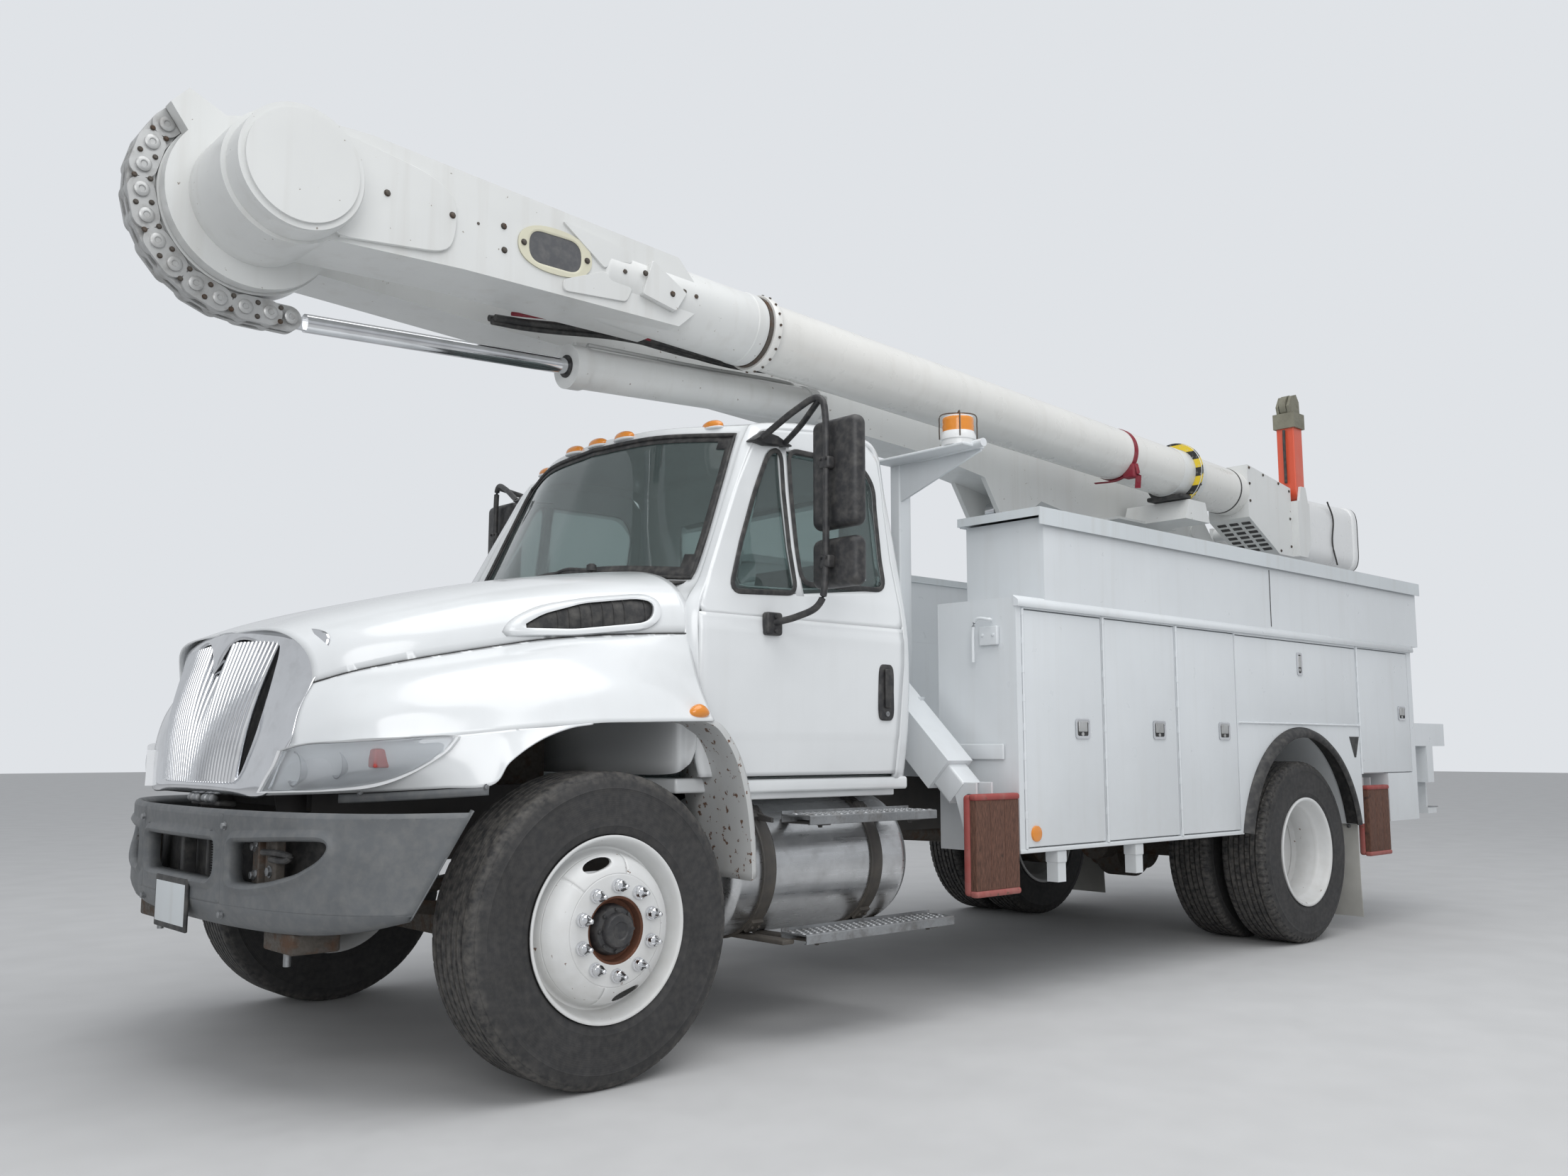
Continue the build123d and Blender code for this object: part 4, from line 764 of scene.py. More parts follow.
CAB_WHITE = Paint("cab white", (0.80, 0.82, 0.83), roughness=0.2, coat=0.8, dust=0.12, runs=0.04)
DOOR_WHITE = Paint("body white", (0.74, 0.77, 0.79), roughness=0.33, coat=0.3, dust=0.2, runs=0.09)
BOX_WHITE = Paint("top box white", (0.66, 0.70, 0.72), roughness=0.4, coat=0.15, dust=0.1, runs=0.2)
BOOM_WHITE = Paint("boom white", (0.70, 0.71, 0.70), roughness=0.36, coat=0.2, dust=0.1, runs=0.16,
                   chips=0.03, chip_colour=(0.3, 0.27, 0.24))
WHEEL_WHITE = Paint("wheel white", (0.74, 0.75, 0.75), roughness=0.4, coat=0.2, dust=0.3, runs=0.05,
                    chips=0.04)
TUBE_CREAM = Paint("boom tube cream", (0.76, 0.755, 0.725), roughness=0.3, coat=0.4, dust=0.1,
                   runs=0.12)
BUCKET_WHITE = Paint("bucket white", (0.80, 0.81, 0.81), roughness=0.3, coat=0.4, dust=0.1, runs=0.1)
FRAME_BLACK = Paint("chassis black", (0.035, 0.035, 0.037), roughness=0.55, coat=0.0, dust=0.45,
                    runs=0.05, dirt_colour=(0.2, 0.17, 0.13))
JIB_RED = Paint("jib red", (0.70, 0.10, 0.045), roughness=0.38, coat=0.3, dust=0.1, runs=0.12)
PAD_RED = Paint("outrigger red", (0.33, 0.045, 0.04), roughness=0.6, coat=0.0, dust=0.3, runs=0.2,
                chips=0.1)
BUMPER_GREY = Plastic("bumper grey", (0.105, 0.112, 0.118), roughness=0.5, grain=420)
MIRROR_BLACK = Plastic("mirror black", (0.018, 0.018, 0.02), roughness=0.45)
CAB_TRIM = Plastic("cab trim", (0.07, 0.072, 0.078), roughness=0.7)
TRIM_BLACK = Plastic("trim black", (0.02, 0.02, 0.021), roughness=0.6)
CHROME = Metal("bright chrome", (0.80, 0.81, 0.83), roughness=0.1, cloud=0.1, dirt=0.1)
ROD_CHROME = Metal("rod chrome", (0.76, 0.77, 0.79), roughness=0.12, brushed=(0.1, 1, 1), dirt=0.05)
TANK_ALLOY = Metal("tank alloy", (0.66, 0.67, 0.68), roughness=0.32, brushed=(0.05, 1, 1), cloud=0.2)
ZINC = Metal("zinc steel", (0.40, 0.41, 0.42), roughness=0.5, cloud=0.35, dirt=0.4)
CHAIN_STEEL = Metal("chain steel", (0.58, 0.585, 0.58), roughness=0.42, cloud=0.25, dirt=0.35,
                    metallic=0.6)
CAST_IRON = Metal("cast iron", (0.13, 0.115, 0.10), roughness=0.7, dirt=0.6, metallic=0.5,
                  dirt_colour=(0.16, 0.07, 0.03))
RUST = Metal("rusty bore", (0.17, 0.07, 0.04), roughness=0.8, dirt=0.6, metallic=0.2,
             dirt_colour=(0.09, 0.05, 0.035))
WINDOW_CREAM = Paint("window rim cream", (0.66, 0.64, 0.50), roughness=0.5, coat=0.1)
OLIVE_IRON = Metal("olive casting", (0.27, 0.26, 0.2), roughness=0.55, dirt=0.3, metallic=0.3)
WINDOW = Glass("window glass", (0.42, 0.5, 0.49))
LAMP_BOWL = Paint("lamp bowl", (0.82, 0.83, 0.84), roughness=0.15, coat=0.6, dust=0.0, runs=0.0)
MARKER_RED = Paint("marker red", (0.55, 0.05, 0.04), roughness=0.2, coat=0.8, dust=0.0, runs=0.0)
AMBER = Paint("amber lens", (0.80, 0.27, 0.02), roughness=0.2, coat=0.8, dust=0.05, runs=0.0)
GUARD_WHITE = Paint("splash guard white", (0.55, 0.56, 0.56), roughness=0.6, coat=0.0, dust=0.5,
                    runs=0.2, chips=0.12)
FLAP_GREY = Plastic("mud flap grey", (0.36, 0.355, 0.33), roughness=0.7, grain=60)
PAD_TIMBER = Timber("pad timber", (0.16, 0.075, 0.05))
HAZARD = Striped("hazard collar", (0.75, 0.55, 0.03))
STRAP_RED = Plastic("strap red", (0.22, 0.015, 0.03), roughness=0.85, grain=300)
LAMP_GLASS = Glass("lamp glass", (0.93, 0.95, 0.97))
TYRE_BLACK = (0.022, 0.022, 0.023)

NODE_FINISHES: dict[str, Finish] = {
    "frame_rails": FRAME_BLACK, "front_axle": CAST_IRON, "rear_axle": CAST_IRON,
    "engine": CAST_IRON, "bumper": BUMPER_GREY, "fuel_tank": TANK_ALLOY, "cab_steps": ZINC,
    "cab_shell": CAB_WHITE, "cab_glass": WINDOW, "cab_interior": CAB_TRIM, "hood": CAB_WHITE,
    "grille": CHROME, "headlights": LAMP_GLASS, "arch_trim": TRIM_BLACK, "subframe": DOOR_WHITE,
    "tail_shelf": DOOR_WHITE, "pedestal": BOOM_WHITE, "turntable": BOOM_WHITE,
    "lift_barrel": BOOM_WHITE, "lift_rod": ROD_CHROME, "lower_boom": BOOM_WHITE,
    "elbow_barrel": BOOM_WHITE, "elbow_rod": ROD_CHROME, "elbow_chain": CHAIN_STEEL,
    "elbow_drum": BOOM_WHITE, "upper_boom": BOOM_WHITE, "boom_tube": TUBE_CREAM,
    "boom_tip": BOOM_WHITE, "jib_mast": JIB_RED, "jib_head": OLIVE_IRON, "bucket": BUCKET_WHITE,
    **{f"compartment_door_{k}": DOOR_WHITE for k in range(1, 6)},
}
for _y, _side in SIDES:
    NODE_FINISHES.update({
        f"door_{_side}": CAB_WHITE, f"door_glass_{_side}": WINDOW, f"mirror_{_side}": MIRROR_BLACK,
        f"knuckle_{_side}": CAST_IRON, f"wheel_front_{_side}": WHEEL_WHITE,
        f"tyre_front_{_side}": Rubber(f"front tyre {_side}", TYRE_BLACK,
                                      hub=(FRONT_AXLE, _y * FRONT_WHEEL_Y, AXLE_HEIGHT)),
        f"wheels_rear_{_side}": WHEEL_WHITE,
        f"tyres_rear_{_side}": Rubber(f"rear tyre {_side}", TYRE_BLACK,
                                      hub=(REAR_AXLE, _y * TWIN_MIDDLE_Y, AXLE_HEIGHT)),
        f"pack_{_side}": DOOR_WHITE, f"top_box_lid_{_side}": BOX_WHITE,
        f"outrigger_front_{_side}": PAD_RED, f"outrigger_rear_{_side}": PAD_RED,
    })


def dress_nodes() -> None:
    """Gives every CAD node its finish."""
    for name, finish in NODE_FINISHES.items():
        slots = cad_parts[name].data.materials
        slots.clear()
        slots.append(finish.material())
        log.info("%s is dressed in %s", name, finish.name)


@dataclass
class Studio:
    """Pale floor, soft light and the camera at the photograph's viewing angle."""

    camera_at: Point = (2.549, 4.760, 1.096)
    yaw: float = -132.75
    pitch: float = 6.98
    lens: float = 30.03
    glow: tuple[float, float] = (0.62, 0.8)
    floor_half: float = 60.0

    def build(self) -> None:
        """Places the camera, the lamps, the world and the floor."""
        self.camera()
        self.lamps()
        self.world()
        self.floor()
        bpy.context.scene.view_settings.view_transform = "Standard"

    def camera(self) -> None:
        """A camera without roll whose lens matches the photograph's angle of view."""
        data = bpy.data.cameras.new("camera")
        data.lens = self.lens
        data.sensor_width = 36.0
        data.clip_end = 300.0
        camera = bpy.data.objects.new("camera", data)
        camera.location = station(*self.camera_at)
        camera.rotation_euler = (math.radians(90 + self.pitch), 0, math.radians(self.yaw - 90))
        bpy.context.scene.collection.objects.link(camera)
        bpy.context.scene.camera = camera

    def lamps(self) -> None:
        """A broad soft lamp overhead and a weaker one on the camera's side."""
        for name, place, size, power in (("sky lamp", (2.0, 3.5, 9.5), 10.0, 480.0),
                                         ("front lamp", (9.5, 9.0, 5.0), 7.0, 330.0)):
            data = bpy.data.lights.new(name, "AREA")
            data.shape = "DISK"
            data.size = size
            data.energy = power
            lamp = bpy.data.objects.new(name, data)
            lamp.location = place
            aim = np.array([0.0, 0.0, 1.2]) - np.array(place)
            lamp.rotation_euler = (math.acos(-aim[2] / np.linalg.norm(aim)), 0,
                                   math.atan2(aim[1], aim[0]) + math.radians(270))
            bpy.context.scene.collection.objects.link(lamp)

    def world(self) -> None:
        """A plain pale surround, brighter where the camera sees it directly or through glass."""
        world = bpy.data.worlds.new("surround")
        world.use_nodes = True
        tree = world.node_tree
        shade = tree.nodes["Background"]
        path = tree.nodes.new("ShaderNodeLightPath")
        seen = tree.nodes.new("ShaderNodeMath")
        seen.operation = "MAXIMUM"
        tree.links.new(path.outputs["Is Camera Ray"], seen.inputs[0])
        tree.links.new(path.outputs["Is Transmission Ray"], seen.inputs[1])
        level = tree.nodes.new("ShaderNodeMapRange")
        tree.links.new(seen.outputs[0], level.inputs[0])
        level.inputs[3].default_value, level.inputs[4].default_value = self.glow
        tree.links.new(level.outputs[0], shade.inputs["Strength"])
        shade.inputs["Color"].default_value = (0.93, 0.96, 1.0, 1.0)
        bpy.context.scene.world = world

    def floor(self) -> None:
        """A wide flat floor with a faint grain."""
        half = self.floor_half
        mesh = bpy.data.meshes.new("floor")
        mesh.from_pydata([(-half, -half, 0), (half, -half, 0), (half, half, 0), (-half, half, 0)],
                         [], [(0, 1, 2, 3)])
        floor = bpy.data.objects.new("floor", mesh)
        bpy.context.scene.collection.objects.link(floor)
        mesh.materials.append(Plastic("studio floor", (0.56, 0.56, 0.56), roughness=0.85, grain=90,
                                      depth=0.1, dust=0.0, fade=0.04).material())


@dataclass
class Nose:
    """Tilting hood with its fenders, grille surround, lamps and side vents."""

    crown: Outline = (
        (0.855, 1.500), (0.70, 1.560), (0.555, 1.606), (0.40, 1.648), (0.237, 1.687),
        (0.04, 1.727), (-0.163, 1.760), (-0.32, 1.782), (-0.466, 1.798))
    crease: tuple[Point, ...] = (
        (0.800, 0.625, 1.305), (0.700, 0.705, 1.343), (0.590, 0.762, 1.372), (0.470, 0.808, 1.399),
        (0.275, 0.862, 1.438), (0.090, 0.902, 1.471), (-0.120, 0.938, 1.494),
        (-0.300, 0.960, 1.508), (-0.468, 0.978, 1.518))
    vent_rim: Outline = (
        (0.264, 1.468), (0.230, 1.529), (0.113, 1.589), (-0.072, 1.629), (-0.303, 1.659),
        (-0.351, 1.637), (-0.348, 1.562), (-0.289, 1.518), (0.003, 1.482))
    vent_mesh: Outline = (
        (0.200, 1.503), (0.112, 1.556), (-0.041, 1.603), (-0.253, 1.633), (-0.317, 1.625),
        (-0.308, 1.572), (-0.271, 1.545), (0.003, 1.508))
    vent_middle: tuple[float, float] = (-0.09, 1.560)
    bar_count: int = 15
    bar_reach: tuple[float, float] = (0.435, 0.345)
    bar_tops: tuple[float, float] = (1.352, 1.462)
    bar_foot: float = 0.985
    bar_shoulder: float = 0.105
    wall: float = 0.006

    def build(self) -> None:
        """Makes the tilting front end and hides the plain solids that it stands for."""
        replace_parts(self.hood(), "hood")
        self.surround()
        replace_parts(self.grille(), "grille")
        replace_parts(self.lamps(), "headlights")
        self.vents()
        self.trim()

    def hood(self) -> bpy.types.Object:
        """Top and sides: a superellipse between crown and crease; fenders: a net of points."""
        crown = smooth(np.array(self.crown), 6)
        crease = smooth(np.array(self.crease), 6)
        turn = np.linspace(0, math.pi / 2, 26)[None, :]
        half, low = crease[:, 1:2], crease[:, 2:3]
        across = half * np.sin(turn) ** (2 / 4.6)
        up = low + (crown[:, 1:2] - low) * np.cos(turn) ** (2 / 2.6)
        along = crown[:, 0:1] + (crease[:, 0:1] - crown[:, 0:1]) * np.sin(turn) ** 3
        top = np.stack([along + FRONT_AXLE, across, up], -1)
        self.top = top
        inside = station(0.2, 0, 1.0)
        pile = Pile("hood_shell").skin(top, inside, both=True)
        fender = smooth_net([
            (0.800, 0.625, 1.305, 0.838, 0.632, 1.235, 0.862, 0.640, 1.160, 0.868, 0.645, 1.110),
            (0.700, 0.705, 1.343, 0.740, 0.770, 1.275, 0.752, 0.835, 1.195, 0.745, 0.865, 1.116),
            (0.590, 0.762, 1.372, 0.625, 0.860, 1.300, 0.625, 0.935, 1.220, 0.625, 0.962, 1.125),
            (0.470, 0.808, 1.399, 0.490, 0.920, 1.330, 0.470, 1.005, 1.245, 0.500, 1.030, 1.136),
            (0.275, 0.862, 1.438, 0.280, 0.975, 1.375, 0.260, 1.070, 1.285, 0.330, 1.108, 1.156),
            (0.090, 0.902, 1.471, 0.085, 1.005, 1.402, 0.050, 1.100, 1.305, 0.070, 1.152, 1.179),
            (-0.120, 0.938, 1.494, -0.130, 1.022, 1.410, -0.150, 1.108, 1.305, -0.150, 1.160, 1.186),
            (-0.300, 0.960, 1.508, -0.310, 1.020, 1.415, -0.320, 1.092, 1.310, -0.320, 1.163, 1.191),
            (-0.468, 0.978, 1.518, -0.468, 1.006, 1.420, -0.464, 1.058, 1.315, -0.440, 1.163, 1.194),
        ])
        pile.skin(fender, inside, both=True)
        flank = smooth_net([
            (0.868, 0.645, 1.110, 0.885, 0.600, 1.030, 0.905, 0.535, 0.946),
            (0.745, 0.865, 1.116, 0.770, 0.790, 1.035, 0.785, 0.690, 0.952),
            (0.625, 0.962, 1.125, 0.655, 0.925, 1.040, 0.660, 0.850, 0.960),
            (0.500, 1.030, 1.136, 0.525, 1.020, 1.050, 0.530, 1.000, 0.971),
            (0.400, 1.083, 1.148, 0.412, 1.090, 1.065, 0.415, 1.104, 0.981),
            (0.330, 1.108, 1.156, 0.352, 1.118, 1.105, 0.366, 1.130, 1.052),
            (0.230, 1.130, 1.164, 0.252, 1.138, 1.143, 0.270, 1.148, 1.122),
            (0.140, 1.143, 1.173, 0.150, 1.148, 1.169, 0.160, 1.154, 1.165),
            (0.070, 1.152, 1.179, 0.070, 1.153, 1.1785, 0.070, 1.154, 1.178),
        ])
        pile.skin(flank, inside, both=True)
        return pile.make("hood", CAB_WHITE, "cab_paint", smooth=28, wall=self.wall)

    def on_flank(self, flat: np.ndarray, side: int, rise: float | np.ndarray) -> np.ndarray:
        """Lays (x, z) points on the hood's flank by a cubic fitted to the hood's own points."""
        def terms(x: np.ndarray, z: np.ndarray) -> np.ndarray:
            """Powers of x and of the height over 1.5 m that the cubic adds up."""
            z = z - 1.5
            return np.stack([x ** i * z ** j for i in range(3) for j in range(4)], -1)

        near = self.top.reshape(-1, 3) - [FRONT_AXLE, 0, 0]
        near = near[(near[:, 0] < 0.36) & (near[:, 2] < 1.69) & (near[:, 1] > 0.6)]
        fit = np.linalg.lstsq(terms(near[:, 0], near[:, 2]), near[:, 1], rcond=None)[0]
        y = terms(flat[..., 0], flat[..., 1]) @ fit + rise
        return np.stack([flat[..., 0] + FRONT_AXLE, side * y, flat[..., 1]], -1)

    def vents(self) -> None:
        """Side vents: a raised white rim round a black mesh with thin ribs."""
        centre = self.vent_middle
        outer = by_angle(rounded_outline(self.vent_rim, 0.05), centre, 120)
        inner = by_angle(rounded_outline(self.vent_mesh, 0.03), centre, 120)
        rim, mesh = Pile("vent_rims"), Pile("vent_mesh")
        rings = [(inner, 0.003), (inner, 0.016), (inner * 0.7 + outer * 0.3, 0.021),
                 (inner * 0.25 + outer * 0.75, 0.018), (outer, 0.002)]
        for side in (1, -1):
            net = np.stack([self.on_flank(ring, side, rise) for ring, rise in rings])
            net = closed(net)
            rim.skin(net, station(0, 0, 1.4))
            fan = np.stack([centre + (inner - centre) * t for t in np.linspace(1.02, 0, 8)])
            fan = closed(fan)
            mesh.skin(self.on_flank(fan, side, 0.005), station(0, 0, 1.4))
            for x in np.linspace(-0.28, 0.14, 11):
                up = inner[np.abs(inner[:, 0] - x) < 0.012]
                line = np.column_stack([np.full(6, x), np.linspace(up[:, 1].min(), up[:, 1].max(), 6)])
                mesh.pipe(self.on_flank(line, side, 0.007), 0.002, 6, 1)
        rim.make("hood", CAB_WHITE, "cab_paint", smooth=50, wall=0.003)
        mesh.make("hood", TRIM_BLACK, "grille_chrome", wall=0.001)

    def trim(self) -> None:
        """Seams, side marker lamps, grey strips under the lamps and the splash guards."""
        seam = Pile("hood_seams")
        crease = smooth(np.array(self.crease), 6)
        for side in (1, -1):
            seam.pipe(stations([(x, y + 0.001, z) for x, y, z in crease], side), 0.0028, 6, 1)
        seam.make("hood", TRIM_BLACK, "grille_chrome")
        lamp, strip = Pile("side_markers"), Pile("fender_strips")
        for side in (1, -1):
            drop = dome((0.042, side * 0.026, 0.026), -1.5, 13, 0.35)
            lamp.grid(drop + stations((-0.385, 1.143, 1.226), side))
        low = [(0.745, 0.735, 0.953), (0.66, 0.846, 0.959), (0.53, 0.997, 0.970), (0.42, 1.098, 0.980)]
        strip.skin(smooth_net([[(x, y, z - 0.002), (x + 0.002, y + 0.003, z - 0.014), (x, y, z - 0.030)]
                               for x, y, z in low], 6, 3), station(0.2, 0, 0.97), both=True)
        lamp.make("hood", AMBER, "lamp_glass", smooth=60)
        strip.make("hood", BUMPER_GREY, "bumper_plastic", wall=0.004)
        guard = Pile("splash_guards")
        edge = [(-0.395, 1.192), (-0.47, 1.158), (-0.545, 1.06), (-0.592, 0.93), (-0.618, 0.78),
                (-0.628, 0.62)]
        rows = [[(x - 0.030, 1.148 - 0.4 * abs(z - 0.9) * 0.02, z + 0.012), (x - 0.006, 1.153, z + 0.004),
                 (x, 1.145, z), (x + 0.004, 1.05, z + 0.004), (x, 0.80, z + 0.01)] for x, z in edge]
        guard.skin(smooth_net(rows, 6, 3), station(-1.2, 0.5, 0.9), both=True)
        guard.make("chassis", GUARD_WHITE, "cab_paint", wall=0.004)

    def surround(self) -> bpy.types.Object:
        """Bright frame of the grille: a net from its outer edge over a roll to the opening."""
        outer = [(0.858, 0.0, 1.503), (0.842, 0.20, 1.500), (0.815, 0.40, 1.493), (0.772, 0.575, 1.484),
                 (0.755, 0.640, 1.455), (0.768, 0.632, 1.380), (0.802, 0.632, 1.305),
                 (0.845, 0.640, 1.220), (0.868, 0.648, 1.130), (0.885, 0.612, 1.050),
                 (0.905, 0.545, 0.946), (0.926, 0.30, 0.942), (0.934, 0.0, 0.942)]
        inner = [(0.882, 0.0, 1.352), (0.848, 0.105, 1.462), (0.838, 0.30, 1.452), (0.828, 0.420, 1.440),
                 (0.832, 0.446, 1.410), (0.846, 0.440, 1.330), (0.862, 0.425, 1.240),
                 (0.880, 0.402, 1.140), (0.896, 0.375, 1.060), (0.906, 0.352, 1.010),
                 (0.914, 0.318, 0.990), (0.926, 0.16, 0.988), (0.930, 0.0, 0.988)]
        net = []
        for o, i in zip(outer, inner):
            o_a, i_a = np.array(o), np.array(i)
            roll = 0.5 * (o_a + i_a) + np.array([0.016, 0, 0.0])
            near = 0.12 * o_a + 0.88 * i_a + np.array([0.014, 0, 0.0])
            lip = i_a + np.array([-0.05, -0.004 * np.sign(i_a[1]), 0.0])
            net.append([o, tuple(roll), tuple(near), tuple(i_a + np.array([0.004, 0, 0])), tuple(lip)])
        pile = Pile("grille_surround").skin(smooth_net(net, 6, 5), station(0.0, 0, 1.2), both=True)
        return pile.make("hood", CHROME, "grille_chrome", smooth=50, wall=0.004)

    def grille(self) -> bpy.types.Object:
        """Upright bars whose foot leans forward, cut to the opening's V and narrowing sides."""
        pile = Pile("grille_bars")
        for side in (1, -1):
            for k in range(self.bar_count):
                share = (k + 0.5) / self.bar_count
                top_y, foot_y = (reach * share for reach in self.bar_reach)
                middle_z, side_z = self.bar_tops
                top_z = (middle_z + (side_z - middle_z) * min(1.0, top_y / self.bar_shoulder)
                         - 0.03 * max(0, top_y - self.bar_shoulder))
                steps = np.linspace(0, 1, 9)
                y = side * (top_y + (foot_y - top_y) * steps)
                z = top_z + (self.bar_foot - top_z) * steps
                x = 0.822 + 0.088 * steps + 0.022 * np.sin(math.pi * steps) + FRONT_AXLE \
                    + 0.035 * (1 - (np.abs(y) / 0.44) ** 2)
                section = np.array([(-0.0035, -0.014), (0.0035, -0.014), (0.0068, 0.0), (0.004, 0.010),
                                    (0.0, 0.0125), (-0.004, 0.010), (-0.0068, 0.0)])
                ring = np.stack([x[:, None] + section[None, :, 1], y[:, None] + section[None, :, 0],
                                 np.repeat(z[:, None], len(section), 1)], -1)
                pile.grid(ring)
        bars = pile.make("hood", CHROME, "grille_chrome", smooth=60)
        back = Pile("grille_backing")
        net = [[(0.80, y, 1.47), (0.835, y, 1.24), (0.875, y * 0.82, 0.98)]
               for y in (-0.45, -0.22, 0.0, 0.22, 0.45)]
        back.skin(smooth_net(net, 4, 4), station(0, 0, 1.2))
        back.make("hood", TRIM_BLACK, "grille_chrome", wall=0.004)
        return bars

    def lamps(self) -> bpy.types.Object:
        """Headlamps: a clear lens net over a bright bowl, two reflectors and a red marker."""
        rim = [(0.888, 0.632, 1.088, 0.895, 0.610, 1.045, 0.906, 0.575, 1.000, 0.916, 0.548, 0.958),
               (0.850, 0.735, 1.108, 0.868, 0.715, 1.060, 0.872, 0.690, 1.010, 0.868, 0.655, 0.962),
               (0.770, 0.852, 1.115, 0.796, 0.830, 1.068, 0.800, 0.800, 1.018, 0.785, 0.760, 0.968),
               (0.665, 0.945, 1.124, 0.688, 0.925, 1.080, 0.700, 0.900, 1.035, 0.690, 0.868, 0.985),
               (0.580, 0.995, 1.131, 0.598, 0.985, 1.098, 0.605, 0.970, 1.062, 0.610, 0.945, 1.020),
               (0.520, 1.026, 1.134, 0.526, 1.026, 1.118, 0.530, 1.025, 1.100, 0.542, 1.018, 1.076),
               (0.502, 1.036, 1.130, 0.503, 1.036, 1.127, 0.505, 1.036, 1.123, 0.508, 1.035, 1.118)]
        glass = smooth_net(rim, 8, 6)
        ahead = np.array([0.010, 0.008, 0.0])
        lens = Pile("headlamp_lenses").skin(glass + ahead, station(0.4, 0.3, 1.0), both=True)
        piece = lens.make("hood", LAMP_GLASS, "lamp_glass", smooth=50, wall=0.003)
        bowl = Pile("headlamp_bowls").skin(glass + np.array([-0.030, -0.026, 0.0]),
                                           station(0.4, 0.3, 1.0), both=True)
        bowl.make("hood", LAMP_BOWL, "grille_chrome", smooth=50, wall=0.003)
        edge = np.concatenate([glass[:, 0], glass[-1, 1:], glass[::-1, -1][1:], glass[0, ::-1][1:-1]])
        frame_pile = Pile("headlamp_frames")
        for side in (1, -1):
            loop = (edge + ahead) * np.array([1, side, 1])
            middle = loop.mean(0)
            out = loop + (loop - middle) / np.linalg.norm(loop - middle, axis=1, keepdims=True) * 0.010
            deep = np.array([-0.024, -0.020 * side, 0.0])
            frame_pile.grid(np.stack([out + deep, out, loop + (loop - middle) * -0.03, loop + deep]),
                            wrap_u=True, caps=False)
        frame_pile.make("hood", LAMP_BOWL, "grille_chrome", smooth=40)
        reflect, marker = Pile("headlamp_reflectors"), Pile("headlamp_markers")
        for side in (1, -1):
            for x, y, z, r in ((0.838, 0.660, 1.030, 0.056), (0.755, 0.785, 1.045, 0.045)):
                reflect.lathe([(-0.01, r * 0.35), (0.028, r * 0.7), (0.052, r), (0.052, r * 0.9),
                               (0.030, r * 0.6), (0.0, r * 0.2), (-0.01, 0.004)],
                              station(x - 0.03, side * y, z), Along.X, 32)
            marker.block((0.655, 0.868, 1.035), (0.715, 0.915, 1.095), 0.008, side)
        reflect.make("hood", CHROME, "grille_chrome")
        marker.make("hood", MARKER_RED, "lamp_glass")
        return piece


# Cells of the cab's net, as (rows, columns), that the windscreen and the rear pane fill.
SCREEN_CELLS = (slice(18, 36), slice(0, 16))
REAR_PANE_CELLS = (slice(66, 72), slice(0, 8))


def corners_of(net: np.ndarray, cells: tuple[slice, slice]) -> np.ndarray:
    """Points at the corners of a block of a net's cells."""
    return net[tuple(slice(span.start, span.stop + 1) for span in cells)]


